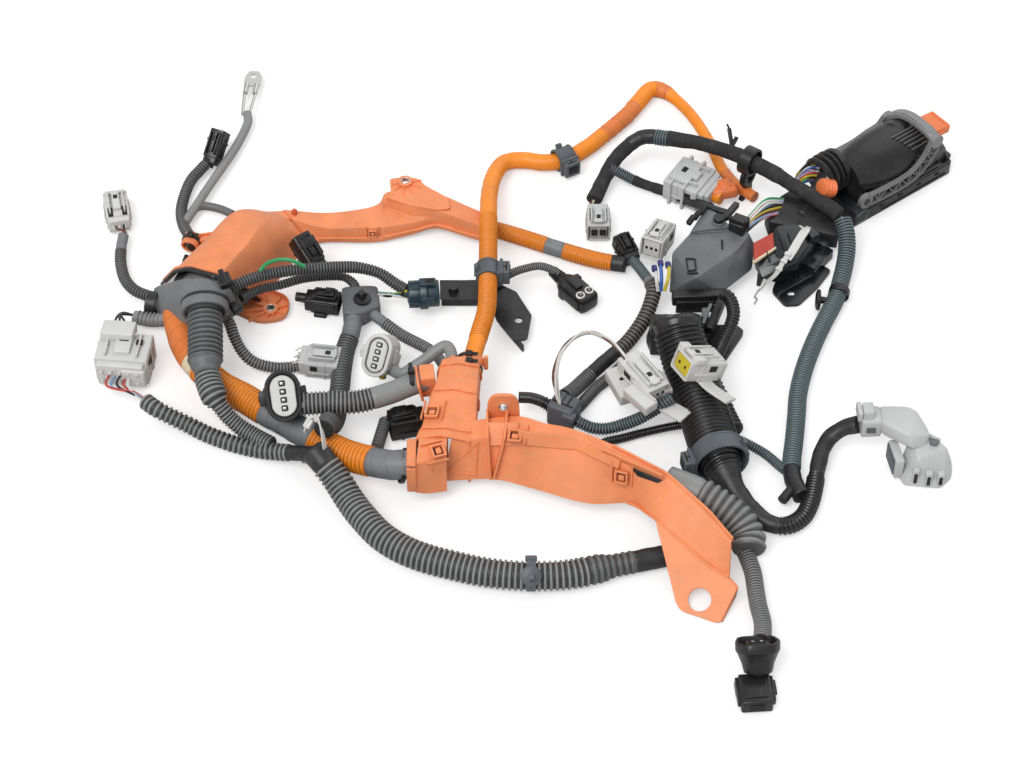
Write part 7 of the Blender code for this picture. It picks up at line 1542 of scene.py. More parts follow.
def makeFrontConnector():
    # Shrouded plug at the foot: flared rim, orange seal, insert with two blades, boot rings, lock housing below.
    black = "plugBlack"

    def rim(scale, y):
        outline = roundCorners([(-0.016, -0.004), (-0.012, 0.011), (0.012, 0.011), (0.016, -0.004), (0.01, -0.015),
            (-0.01, -0.015)], 0.005, 5)
        return [(x * scale, y, z * scale) for x, z in outline]
    rings = np.array([rim(0.66, -0.015), rim(0.78, -0.014), rim(0.9, -0.006), rim(1.15, 0.0035), rim(1.21, 0.0045),
        rim(1.22, 0.0112), rim(1.19, 0.012), rim(1.06, 0.012),
        rim(1.03, 0.0112), rim(0.98, 0.001)])
    bodies = [(rings.reshape(-1, 3), gridFaces(*rings.shape[:2]), black)]
    seal = np.array([rim(0.95, 0.001), rim(0.95, 0.005), rim(0.9, 0.0062), rim(0.74, 0.0062), rim(0.72, 0.004)])
    bodies.append((seal.reshape(-1, 3), gridFaces(*seal.shape[:2]), "sealOrange"))
    bodies += [softBox(0.02, 0.01, 0.013, black, 0.0016, at=(0, 0.0055, -0.001)),
        # the near-black slot round the blades is painted shade
        softBox(0.0135, 0.0012, 0.0052, "paintedCavityShade", 0.0004, at=(0, 0.0106, -0.001)),
        softBox(0.0022, 0.003, 0.003, "tinnedSteel", 0.0003, at=(-0.0036, 0.0102, -0.001)),
        softBox(0.0022, 0.003, 0.003, "tinnedSteel", 0.0003, at=(0.0036, 0.0102, -0.001))]
    for k in range(4):
        bodies.append(rodBody(0.0096 - 0.0002 * k, 0.0028, black, 24, 0.0009, at=(0, -0.015 - 0.0032 * k, 0)))
    bodies = stand(bodies, (0.2, -0.3155, 0.0215), (128, 0, 184))
    # the near-black slot in the lock housing is painted shade
    bodies += [softBox(0.026, 0.03, 0.014, black, 0.002, at=(0.1975, -0.344, 0.0075), turn=(0, 0, 4)),
        softBox(0.034, 0.014, 0.0035, black, 0.001, at=(0.1985, -0.336, 0.0022), turn=(0, 0, 4)),
        softBox(0.012, 0.0016, 0.007, "paintedCavityShade", 0.0004, at=(0.1985, -0.3592, 0.0078), turn=(0, 0, 4)),
        softBox(0.018, 0.016, 0.0016, black, 0.0005, at=(0.1975, -0.346, 0.015), turn=(0, 0, 4)),
        softBox(0.003, 0.024, 0.008, black, 0.0008, at=(0.1835, -0.343, 0.007), turn=(0, 0, 4)),
        softBox(0.003, 0.024, 0.008, black, 0.0008, at=(0.2115, -0.341, 0.007), turn=(0, 0, 4))]
    piece("frontConnectorDetail", bodies, "front_connector")


def makeElbow():
    # White boot on the right: hooded elbow, strap saddle, ribbed body with two ears and pockets shown by painted
    # shade.
    pale = "plugPale"
    bodies = [softBox(0.018, 0.02, 0.02, pale, 0.002, at=(0.312, -0.0755, 0.035), turn=(0, 0, 4)),
        softBox(0.01, 0.013, 0.02, pale, 0.0016, at=(0.309, -0.0755, 0.044), turn=(0, 0, 4)),
        softBox(0.004, 0.015, 0.01, pale, 0.0008, at=(0.3015, -0.0755, 0.048), turn=(0, 0, 4)),
        hullBody([(0.32, -0.066, 0.03), (0.32, -0.066, 0.046), (0.32, -0.086, 0.03), (0.32, -0.086, 0.046),
        (0.352, -0.074, 0.04), (0.35, -0.068, 0.048), (0.358, -0.1, 0.028),
        (0.364, -0.094, 0.04), (0.346, -0.104, 0.03), (0.344, -0.1, 0.044)], pale, 0.0026, 3),
        hullBody([(0.34, -0.092, 0.002), (0.336, -0.11, 0.0004), (0.34, -0.12, 0.0004), (0.372, -0.124, 0.0004),
        (0.384, -0.112, 0.0004), (0.384, -0.098, 0.008), (0.366, -0.086, 0.03),
        (0.346, -0.09, 0.034), (0.378, -0.1, 0.028), (0.352, -0.112, 0.026)], pale, 0.0022, 3),
        softBox(0.008, 0.026, 0.022, pale, 0.0012, at=(0.334, -0.1, 0.014), turn=(0, 0, 10)),
        softBox(0.0016, 0.022, 0.018, "clipGrey", 0.0005, at=(0.3298, -0.1, 0.014), turn=(0, 0, 10))]
    for x, y, high in ((0.35, -0.1165, 0.02), (0.361, -0.1195, 0.018), (0.3715, -0.1195, 0.016)):
        bodies.append(softBox(0.0062, 0.006, high, pale, 0.0012, at=(x, y, 0.01)))
        # near-black slot in each rib pocket: painted shade
        bodies.append(softBox(0.003, 0.001, high * 0.6, "paintedCavityShade", 0.0003, at=(x, y - 0.0031, 0.01)))
    bodies += [rodBody(0.0042, 0.003, "coverGrey", 20, at=(0.366, -0.0965, 0.0318), turn=(70, 0, 20)),
        bandBody([(0.34, -0.0885, 0.034), (0.356, -0.0885, 0.034), (0.372, -0.0935, 0.0305)], 0.003, 0.004, pale),
        softBox(0.008, 0.0016, 0.006, "clipGrey", 0.0004, at=(0.312, -0.086, 0.035))]
    piece("elbowDetail", bodies, "elbow_connector")


makePlugs()
makeOvals()
makeRoundConnector()
makeTwoPin()
makeFrontConnector()
makeElbow()
print("connectors made")


# Lever connector, in the frame of its own base: X along it, Y across, as it was laid out for packing
leverPlace = dict(at=(0.356, 0.262, 0), turn=(0, 0, 37))


def onLever(bodies):
    return [put(body, leverPlace["at"], leverPlace["turn"]) for body in bodies]


def domeRing(x, wide, high, foot=0.018, points=22):
    # Arched section: flat foot, then a half turn whose height is its sine to the power 0.6.
    angle = np.linspace(0, np.pi, points)
    y = -wide / 2 * np.cos(angle)
    z = foot + 0.006 + np.sin(angle) ** 0.6 * (high - foot - 0.006)
    ring = np.stack([x + 0 * y, y, z], 1)
    return np.vstack([[(x, wide / 2, foot), (x, -wide / 2, foot)], ring])


def trussArm(side, top=0.065):
    # Lever arm in its plane: two flanges along the centre line, zigzag webs between, round bosses at the ends.
    centre = smoothLine([(x, side, z) for x, z in ((-0.054, 0.032), (-0.034, 0.0295), (-0.01, 0.029), (0.008, 0.032),
        (0.023, 0.32 * 0.032 + 0.55 * top), (0.0325, top))], 6) + benchCentre
    run = np.gradient(centre, axis=0)
    run /= np.linalg.norm(run, axis=1, keepdims=True)
    up = np.stack([-run[:, 2], 0 * run[:, 0], run[:, 0]], 1)
    grow = 0.0056 + 0.0012 * np.linspace(0, 1, len(centre))[:, None]
    upper, lower = centre + up * grow, centre - up * grow
    bodies = [bandAcross(edge[::3], 0.0052, 0.0024) for edge in (upper, lower)]
    reach = np.linspace(1, len(centre) - 2, 13).astype(int)
    for k, (a, b) in enumerate(zip(reach[:-1], reach[1:])):
        start, end = (upper[a], lower[b]) if k % 2 else (lower[a], upper[b])
        bodies.append(bandAcross(np.array([start, (start + end) / 2, end]), 0.0042, 0.0016))
        if k % 3 == 1:
            bodies.append(bandAcross(np.array([upper[b], centre[b], lower[b]]), 0.0042, 0.0014))
    bodies += [rodBody(0.0078, 0.0054, "leverGrey", 24, at=(-0.0535, side, 0.032)),
        rodBody(0.0036, 0.007, "plugBlack", 16, at=(-0.0535, side, 0.032)),
        rodBody(0.0072, 0.0054, "barGrey", 24, at=(0.0325, side, top))]
    return bodies


def bandAcross(points, wide, thick):
    # Flat bar along points in an XZ plane, its width along Y.
    points = np.asarray(points, float)
    return bandBody(points.tolist(), wide, thick, "leverGrey", across=np.cross([0, 1, 0], points[-1] - points[0]))


def makeLeverConnector():
    # Domed housing with facets and vents, tall base with a ledge, boot rings, truss lever and lock tab.
    sections = [(-0.052, 0.038, 0.05), (-0.0505, 0.044, 0.0545), (-0.038, 0.052, 0.0575), (-0.024, 0.057, 0.0595),
        (-0.01, 0.06, 0.0605), (0.006, 0.06, 0.0608), (0.02, 0.06, 0.0605), (0.021, 0.058, 0.059)]
    rings = np.stack([domeRing(x, wide, high) for x, wide, high in sections])
    dome = [(rings.reshape(-1, 3), gridFaces(*rings.shape[:2]), "plugBlack"),
            hullBody([(0.014, -0.03, 0.0182), (0.014, 0.03, 0.0182), (0.014, -0.0302, 0.04), (0.014, 0.0302, 0.04),
            (0.014, -0.02, 0.0555), (0.014, 0.02, 0.0555), (0.014, -0.006, 0.0606),
        (0.014, 0.012, 0.0606), (0.04, -0.0292, 0.0182), (0.04, -0.028, 0.04), (0.038, -0.015, 0.054),
        (0.032, 0.006, 0.06), (0.04, 0.02, 0.052), (0.04, 0.0292, 0.0182),
        (0.04, 0.028, 0.04), (0.059, -0.026, 0.0182), (0.059, 0.026, 0.0182), (0.059, -0.024, 0.03),
        (0.059, 0.024, 0.03), (0.054, -0.008, 0.046), (0.054, 0.01, 0.046)], "plugBlack", 0.0012, 2),
            # painted sheen: the grey plate on the far facet stands for the light the black facet catches
            hullBody([(0.033, 0.005, 0.0603), (0.041, 0.018, 0.0525), (0.0535, 0.009, 0.047), (0.05, -0.006, 0.049),
            (0.0335, 0.004, 0.059), (0.04, 0.017, 0.051), (0.052, 0.008, 0.045)], "clipGrey", 0.0004, 1)]
    # vents: the light grey ribs are painted highlight on the slot edges, the near-black strips beside them painted
    # shade in the slots
    for k in range(6):
        y = -0.0045 - 0.0036 * k
        z = 0.024 + (1 - (y / 0.03) ** 2) ** 0.3 * 0.0366
        dome += [softBox(0.001, 0.03 - 0.002 * k, 0.0022, "leverGrey", 0.0003, at=(0.016 + 0.0012 * k, y, z),
            turn=(0, 0, -90)),
            softBox(0.0016, 0.029 - 0.002 * k, 0.0012, "paintedCavityShade", 0.0002,
            at=(0.016 + 0.0012 * k, y - 0.0017, z - 0.0001), turn=(0, 0, -90))]
    for side in (-1, 1):
        dome += [softBox(0.0026, 0.094, 0.0034, "plugBlack", 0.0006, at=(0.0, side * 0.0296, 0.0215),
            turn=(0, 0, -90)),
            hullBody([(-0.046, side * 0.026, 0.0185), (-0.046, side * 0.0306, 0.0185),
            (-0.034, side * 0.0306, 0.0185), (-0.046, side * 0.026, 0.034), (-0.036, side * 0.028, 0.032)],
            "plugBlack", 0.0006, 1)]
    ring = dict(at=(-0.0535, 0.01, 0.042), turn=(0, 0, 90))
    dome.append(turnedBody([(0.015, -0.003), (0.0196, -0.0026), (0.02, -0.0018), (0.02, 0.002), (0.019, 0.003)],
        "plugBlack", 40, **ring))
    piece("leverHousingDetail", onLever(dome), "multiway_housing")

    boot = [turnedBody([(0.0168, -0.01), (0.0172, -0.009), (0.019, -0.0074), (0.0206, -0.0062), (0.0206, -0.005),
        (0.0188, -0.0036), (0.017, -0.003), (0.0168, -0.0016), (0.0188, -0.0004),
        (0.0204, 0.0006), (0.0204, 0.0018), (0.0186, 0.003), (0.0168, 0.0036), (0.0168, 0.005),
        (0.0186, 0.0062), (0.02, 0.0072), (0.02, 0.0086), (0.018, 0.01),
        (0.015, 0.01), (0.0144, 0.008), (0.0144, 0.002)], "plugBlack", 44, at=(-0.0663, 0.01, 0.042),
        turn=(0, 0, 90))]
    piece("leverBootDetail", onLever(boot), "bellows_boot")

    long, deep, high = 0.1235, 0.0615, 0.0176
    base = [softBox(deep, long, high, "housingBlack", 0.001, 0.001, at=(0, 0, high / 2), turn=(0, 0, -90)),
            softBox(0.012, 0.012, high - 0.002, "housingBlack", 0.001, at=(-0.066, 0.015, high / 2)),
            softBox(0.0014, long - 0.008, 0.0014, "housingBlack", 0.0004, at=(0.002, -deep / 2, 0.0142),
            turn=(0, 0, -90)),
            # near-black strip low on the side: painted shade
            softBox(0.0012, long - 0.04, 0.001, "paintedCavityShade", 0.0002, at=(0.014, -deep / 2, 0.004), turn=(0, 0, -90))]
    outline = [(-0.059, 0.003), (-0.059, 0.0125), (-0.052, 0.016), (-0.044, 0.013), (-0.048, 0.003), (-0.059, 0.003)]
    base += [strandBody([(x0, -deep / 2, z0), ((x0 + x1) / 2, -deep / 2, (z0 + z1) / 2), (x1, -deep / 2, z1)], 0.0008,
        "coverGrey", 6) for (x0, z0), (x1, z1) in zip(outline[:-1], outline[1:])]
    # near-black slots on the side are painted shade
    for x in (-0.028, -0.004, 0.02, 0.044):
        base.append(softBox(0.005, 0.0012, 0.0022, "paintedCavityShade", 0.0003, at=(x, -deep / 2 - 0.0001, 0.0094)))
    base += [softBox(0.0012, 0.04, 0.01, "housingBlack", 0.0004, at=(long / 2, 0, 0.008)),
        softBox(0.006, 0.008, 0.006, "housingBlack", 0.0008, at=(0.06, -0.024, 0.02))]
    piece("leverBaseDetail", onLever(base), "slide_plate")

    side = 0.0328
    lever = trussArm(-side, 0.0605) + trussArm(side, 0.042)
    arch = [(0.0325, -side, 0.059), (0.032, -0.027, 0.065), (0.0315, -0.01, 0.0668), (0.032, 0.006, 0.0645),
        (0.033, 0.02, 0.056), (0.034, side, 0.042)]
    lever += [bandBody(arch, 0.011, 0.008, "barGrey", across=(0, 0.3, 1)),
        bandBody([(x - 0.003, y, z + 0.0042) for x, y, z in arch[1:5]], 0.003, 0.002, "barGrey", across=(0, 0.3, 1))]
    piece("trussLeverDetail", onLever(lever), "truss_lever")

    tab = [softBox(0.0242, 0.0256, 0.0098, "tabOrange", 0.0018, 0.002, at=(0.0425, -0.016, 0.0625), turn=(0, 6, 0)),
        softBox(0.002, 0.02, 0.0016, "tabOrange", 0.0006, at=(0.0515, -0.016, 0.0667), turn=(0, 6, 0)),
           softBox(0.01, 0.003, 0.003, "tabOrange", 0.0006, at=(0.0405, -0.029, 0.0625), turn=(0, 6, 0))]
    piece("lockTabDetail", onLever(tab), "lock_tab")


makeLeverConnector()
print("lever connector made")


# Junction cover and what stands round it
def seen(px, py, height):
    # Bench point at this height that the camera shows at a pixel of the photograph: its ray, run on to the height.
    tilt = math.radians(42)
    across, back, rise = (px - 512) / 2667, (384 - py) / 2667, 2.4 * math.sin(math.radians(48))
    ray = np.array([across, back * math.cos(tilt) + math.sin(tilt), back * math.sin(tilt) - math.cos(tilt)])
    reach = (height - rise) / ray[2]
    return np.array([0, -2.4 * math.cos(math.radians(48)), rise]) + ray * reach


def barBetween(start, end, wide, high, finishName, edge=0.0008):
    # Straight bar from one bench point to another.
    run = np.asarray(end) - np.asarray(start)
    flat = math.hypot(run[0], run[1])
    return softBox(wide, float(np.linalg.norm(run)), high, finishName, edge,
        at=tuple((np.asarray(start) + np.asarray(end)) / 2),
        turn=(math.degrees(math.atan2(run[2], flat)), 0, -math.degrees(math.atan2(run[0], run[1]))))


def wireBundle(begin, end, begins, ends, count, radius, seed, rise=0.004):
    # Loose wires between two mouths, each a little off the straight line, in the loom's own colours.
    random = np.random.default_rng(seed)
    colours = ["wireWhite", "wireSky", "wireYellow", "wireBlue", "wireRed", "wireBlack", "wireGreen", "wirePink",
        "wireWhite", "wireBrown"]
    bodies = []
    for k in range(count):
        share = (k + 0.5) / count - 0.5
        mid = (np.asarray(begin) + np.asarray(end)) / 2 + np.asarray(begins) * share * 1.15 + [0, 0,
            rise + 0.003 * random.random()]
        bodies.append(strandBody([np.asarray(begin) + np.asarray(begins) * share, mid + random.normal(0, 0.001, 3),
            np.asarray(end) + np.asarray(ends) * (share + random.normal(0, 0.12))],
            radius, colours[(k * 3 + seed) % len(colours)], 8))
    return bodies


def makeJunctionCover():
    # Folded cover: top plates, sloping skirt, raised back plate with its post, latch, slot and a black box.
    top = [seen(672, 253, 0.045), seen(696.5, 278, 0.045), seen(735, 252, 0.046), seen(749, 233, 0.043),
        seen(728, 223, 0.046), seen(694, 229, 0.047)]
    low = [seen(669, 293, 0.013), seen(721, 294, 0.013), seen(752, 270, 0.013), seen(755, 245, 0.02),
        seen(740, 228, 0.02), seen(690, 240, 0.014)]
    bodies = [hullBody([tuple(p) for p in top + low], "coverGrey", 0.0012, 2)]
    back = [seen(690, 232, 0.05), seen(706, 207, 0.05), seen(716, 212, 0.052), seen(731, 226, 0.05)]
    bodies.append(hullBody([tuple(p) for p in back] + [tuple(p - [0, 0, 0.012]) for p in back], "coverGrey", 0.001,
        2))
    post = tuple(seen(719, 220, 0.053))
    bodies += [rodBody(0.0052, 0.008, "plugBlack", 24, at=post, turn=(90, 0, 0)),
        pipeBody(0.0064, 0.0014, 0.004, "coverGrey", 24, at=(post[0], post[1], post[2] - 0.002), turn=(90, 0, 0)),
        softBox(0.015, 0.016, 0.016, "plugBlack", 0.0012, at=tuple(seen(739, 226, 0.048)), turn=(0, 0, -28)),
        softBox(0.016, 0.004, 0.006, "plugBlack", 0.0008, at=tuple(seen(737, 221, 0.058)), turn=(0, 0, -28))]
    # near-black bars outline the window and a slot: painted shade in their gaps
    for a, b, wide in (((686, 258.5), (695, 259), 0.0014), ((695, 259), (696, 270), 0.0014),
        ((696, 270), (688, 271), 0.0014), ((688, 271), (686, 258.5), 0.001), ((687, 273.5), (698, 273), 0.0016),
            ((722, 240), (722.5, 249), 0.0016)):
        bodies.append(barBetween(seen(*a, 0.0465), seen(*b, 0.0465), wide, 0.0014, "paintedCavityShade", 0.0002))
    for a, b in (((697, 233), (729, 231)), ((735, 252), (748, 236))):
        bodies.append(barBetween(seen(*a, 0.047), seen(*b, 0.0462), 0.0016, 0.0022, "coverGrey", 0.0005))
    for k in range(3):
        bodies.append(barBetween(seen(700 - 6 * k, 214 + 5 * k, 0.052), seen(706 - 6 * k, 206 + 5 * k, 0.054), 0.005,
            0.005, "plugBlack", 0.0012))
    bodies += [barBetween(seen(724, 219, 0.053), seen(737, 204, 0.05), 0.006, 0.006, "plugBlack", 0.0014),
        barBetween(seen(701, 206, 0.048), seen(727, 214, 0.05), 0.006, 0.008, "plugBlack", 0.0014)]
    piece("junctionCoverDetail", bodies, "junction_cover")

    frameBodies = [barBetween(seen(672, 298, 0.024), seen(725, 296, 0.024), 0.01, 0.012, "bracketBlack", 0.0012),
        barBetween(seen(723, 298, 0.026), seen(709, 331, 0.018), 0.0075, 0.012, "bracketBlack", 0.0012),
        barBetween(seen(676, 307, 0.018), seen(714, 306, 0.018), 0.003, 0.014, "bracketBlack", 0.0006),
        barBetween(seen(711, 304, 0.032), seen(703, 324, 0.028), 0.003, 0.003, "coverGrey", 0.0006),
        softBox(0.046, 0.026, 0.028, "bracketBlack", 0.0014, at=(0.148, 0.044, 0.018)),
        plateBody([(0.122, 0.052), (0.128, 0.07), (0.16, 0.066), (0.205, 0.068), (0.212, 0.06),
        (0.19, 0.02), (0.178, 0.018), (0.176, 0.04), (0.126, 0.036)],
        0.006, "bracketBlack", 0.003, at=(0, 0, 0.0034)),
        softBox(0.006, 0.012, 0.016, "coverGrey", 0.001, at=tuple(seen(705, 318, 0.018))),
        softBox(0.01, 0.006, 0.01, "bracketBlack", 0.0008, at=tuple(seen(697, 322, 0.014)))]
    frameBodies += [softBox(0.002, 0.02, 0.01, "bracketBlack", 0.0005, at=(x, 0.044, 0.03)) for x in (0.13, 0.139,
        0.148, 0.157, 0.166)]
    frameBodies.append(pipeBody(0.0232, 0.002, 0.005, "conduitBlack", 40, at=(0.1455, 0.029, 0.048),
        turn=(26, 0, 12)))
    piece("supportFrameDetail", frameBodies, "support_frame")

    fuse = [hullBody([tuple(seen(757, 266, 0.026)), tuple(seen(762, 279, 0.02)), tuple(seen(797, 262, 0.028)),
        tuple(seen(812, 240, 0.03)), tuple(seen(800, 222, 0.034)), tuple(seen(776, 226, 0.036)),
        (0.24, 0.15, 0.002), (0.25, 0.124, 0.0006), (0.27, 0.132, 0.0006), (0.294, 0.168, 0.002),
        (0.262, 0.186, 0.002)], "housingBlack", 0.0016, 2),
            plateBody([(0.241, 0.113), (0.252, 0.095), (0.265, 0.096), (0.284, 0.118), (0.298, 0.14), (0.282, 0.154),
            (0.248, 0.134)], 0.0035, "housingBlack", 0.003, holes=[(0.2585, 0.1105, (0.0062, 0.0062))],
            at=(0, 0, 0.0021)),
            softBox(0.014, 0.032, 0.012, "housingBlack", 0.0012, at=(0.286, 0.15, 0.0064), turn=(0, 0, -38)),
            softBox(0.004, 0.026, 0.02, "housingBlack", 0.0008, at=(0.2335, 0.134, 0.0104), turn=(0, 0, -20)),
            barBetween(seen(778.5, 295.6, 0.006), seen(812, 277, 0.006), 0.0024, 0.007, "housingBlack", 0.0006),
            barBetween(seen(814, 275, 0.008), seen(826, 257, 0.01), 0.0024, 0.009, "housingBlack", 0.0006),
            softBox(0.01, 0.012, 0.01, "housingBlack", 0.001, at=tuple(seen(812, 236, 0.03)), turn=(0, 0, 30)),
            softBox(0.013, 0.016, 0.012, "housingBlack", 0.0012, at=tuple(seen(823, 243, 0.012)), turn=(0, 0, -30))]
    for k in range(4):
        fuse.append(barBetween(seen(770 + 8 * k, 262 - 4 * k, 0.03), seen(764 + 8 * k, 245 - 4 * k, 0.034), 0.0016,
            0.003, "housingBlack", 0.0005))
    red = [seen(753.2, 243.6, 0.036), seen(772.9, 232.9, 0.038), seen(774.3, 247.1, 0.034), seen(754, 262.3, 0.03)]
    fuse.append(hullBody([tuple(p + [0, 0, 0.001]) for p in red] + [tuple(p - [0, 0, 0.004]) for p in red],
        "panelRed", 0.0004, 1))
    fuse.append(barBetween(seen(753, 263, 0.03), seen(776, 248, 0.033), 0.0022, 0.003, "creamPatch", 0.0005))
    fuse.append(barBetween(seen(757, 270, 0.02), seen(779, 258, 0.026), 0.011, 0.01, "conduitDark", 0.003))
    strap = [seen(809, 227.5, 0.036), seen(803, 231, 0.041), seen(797, 240, 0.04), seen(790.7, 250.7, 0.037),
        seen(783.6, 261.4, 0.033), seen(776, 274, 0.024), seen(766, 283, 0.014)]
    fuse += [bandBody(strap, 0.0046, 0.0014, "tieWhite", across=(0, 0, 1)),
        bandBody([p + [0.005, 0.001, 0.001] for p in strap[1:5]], 0.004, 0.0012, "tieWhite", across=(0, 0, 1)),
        strandBody([seen(800, 226, 0.038), seen(804, 229, 0.042), seen(808, 233, 0.038)], 0.0012, "tieWhite", 8)]
    for px, py, height in ((784, 261, 0.0345), (779, 269, 0.0285), (788, 254, 0.037)):
        fuse.append(softBox(0.0064, 0.0036, 0.0022, "tieWhite", 0.0006, at=tuple(seen(px, py, height)),
            turn=(0, 0, -30)))
    fuse.append(strandBody([seen(766, 283, 0.014), seen(762, 288, 0.006), seen(758.5, 290.5, 0.0016),
        seen(754.7, 297, 0.0012), seen(757, 299, 0.0012), seen(754.5, 304, 0.0012)], 0.0007, "tinnedSteel", 8))
    piece("fuseHousingDetail", fuse, "fuse_housing")

    bundles = wireBundle(seen(794, 183, 0.03), seen(819, 170, 0.044), [0.006, 0.014, 0.012], [0.004, 0.01, 0.014], 16,
        0.001, 3)
    bundles += wireBundle(seen(745, 227, 0.036), seen(781, 207, 0.034), [0.006, 0.018, 0.008], [0.006, 0.018, 0.008],
        18, 0.0011, 5, 0.006)
    bundles += [strandBody([seen(656, 270, 0.034), seen(656.5, 279, 0.036), seen(658, 291, 0.026)], 0.0017,
        "wireWhite", 10), strandBody([seen(660.6, 265, 0.036), seen(661.5, 277, 0.037), seen(661, 291, 0.026)],
        0.0017, "wireBlue", 10),
        strandBody([seen(669, 266, 0.036), seen(668.5, 277, 0.037), seen(664.5, 291, 0.026)], 0.0016,
        "wireYellow", 10)]
    for px, py in ((654.4, 268), (660.6, 263), (668, 264.5)):
        bundles.append(barBetween(seen(px - 0.5, py - 2, 0.036), seen(px + 0.5, py + 3, 0.036), 0.0052, 0.0052,
            "sealBlue", 0.0016))
    cap = seen(828, 188, 0.044)
    bundles += [turnedBody([(0.004, -0.009), (0.0084, -0.008), (0.009, -0.0066), (0.0078, -0.0056), (0.0092, -0.0044),
        (0.008, -0.003), (0.0094, -0.0016), (0.0082, -0.0002), (0.0094, 0.0012),
        (0.0082, 0.0026), (0.0092, 0.004), (0.0078, 0.006), (0.004, 0.008)], "tabOrange", 30,
        at=tuple(cap), turn=(-20, 0, -70)),
        softBox(0.004, 0.006, 0.005, "tieWhite", 0.0008, at=tuple(seen(829, 178, 0.05)), turn=(0, 0, 20))]
    tie = [seen(px, py, z) for px, py, z in ((305, 432, 0.045), (309, 421, 0.052), (316, 418, 0.055),
        (321, 428, 0.055), (324, 443, 0.046), (325, 455, 0.03), (316, 462, 0.01), (303, 461, 0.003))]
    bundles += [bandBody(tie, 0.0056, 0.0012, "tieWhite", across=(0.87, -0.5, 0)),
        barBetween(seen(306, 428, 0.048), seen(311, 419, 0.053), 0.0066, 0.0044, "tieWhite", 0.001)]
    bundles.append(strandBody([seen(px, py, z) for px, py, z in ((260, 271, 0.062), (267, 263.5, 0.066),
        (280, 259.5, 0.067), (293, 261, 0.066), (305, 267, 0.06))], 0.0018, "wireGreen", 10))
    stub = [seen(385.5, 420, 0.0075), seen(382, 434, 0.007), seen(377.5, 447, 0.0068)]
    bundles += [strandBody(stub, 0.005, "conduitDark", 16), strandBody([seen(385, 423, 0.008), seen(388, 415, 0.013),
        seen(401, 412, 0.016)], 0.0011, "wireRed", 8)]
    bundles += [pipeBody(0.0058, 0.0012, 0.0014, "conduitDark", 18,
        at=tuple(seen(385 - 0.84 * k, 422 + 2.7 * k, 0.0074)), turn=(0, 0, -14)) for k in range(10)]
    random = np.random.default_rng(9)
    arch = np.asarray(routes["wireArch"][1])
    for k, colour in enumerate(("wireWhite", "wireWhite", "wireBrown", "wireBlack", "wireWhite")):
        bundles.append(strandBody(arch + np.array([0.0016 * math.cos(1.3 * k), 0,
            0.0016 * math.sin(1.3 * k)]) + random.normal(0, 0.0007, arch.shape), 0.001, colour, 8))
    bundles += [barBetween(seen(711, 194, 0.014), seen(738, 189, 0.018), 0.013, 0.013, "tabOrange", 0.004),
        barBetween(seen(722, 182, 0.018), seen(728, 193, 0.018), 0.013, 0.013, "tabOrange", 0.004),
        barBetween(seen(733, 152, 0.028), seen(729, 128, 0.044), 0.004, 0.003, "tieBlack", 0.001),
        barBetween(seen(729, 128, 0.044), seen(727, 124, 0.048), 0.0016, 0.0016, "tieBlack", 0.0004),
        barBetween(seen(732, 146, 0.032), seen(737, 137, 0.036), 0.004, 0.003, "tieBlack", 0.001)]
    clot = [seen(px, py, z) for px, py, z in ((766, 205, 0.036), (790, 190, 0.034), (812, 200, 0.034),
        (842, 214, 0.03), (838, 236, 0.024), (806, 222, 0.03), (770, 222, 0.03))]
    bundles.append(hullBody([tuple(p) for p in clot] + [tuple(p * [1, 1, 0.3]) for p in clot], "blackTape", 0.005, 3))
    hose = seen(839, 293, 0.01)
    bundles += [pipeBody(0.0098, 0.0016, 0.007, "plugBlack", 32, at=tuple(hose), turn=(0, 0, -14)),
        turnedBody([(0.003, -0.006), (0.0034, 0.0), (0.009, 0.0006), (0.01, 0.0022), (0.0092, 0.004),
        (0.006, 0.0052)],
        "plugBlack", 32, at=tuple(seen(821, 300, 0.011)), turn=(0, 0, 84))]
    piece("looseWires", bundles, "wire_arch")


makeJunctionCover()
print("cover and housings made")


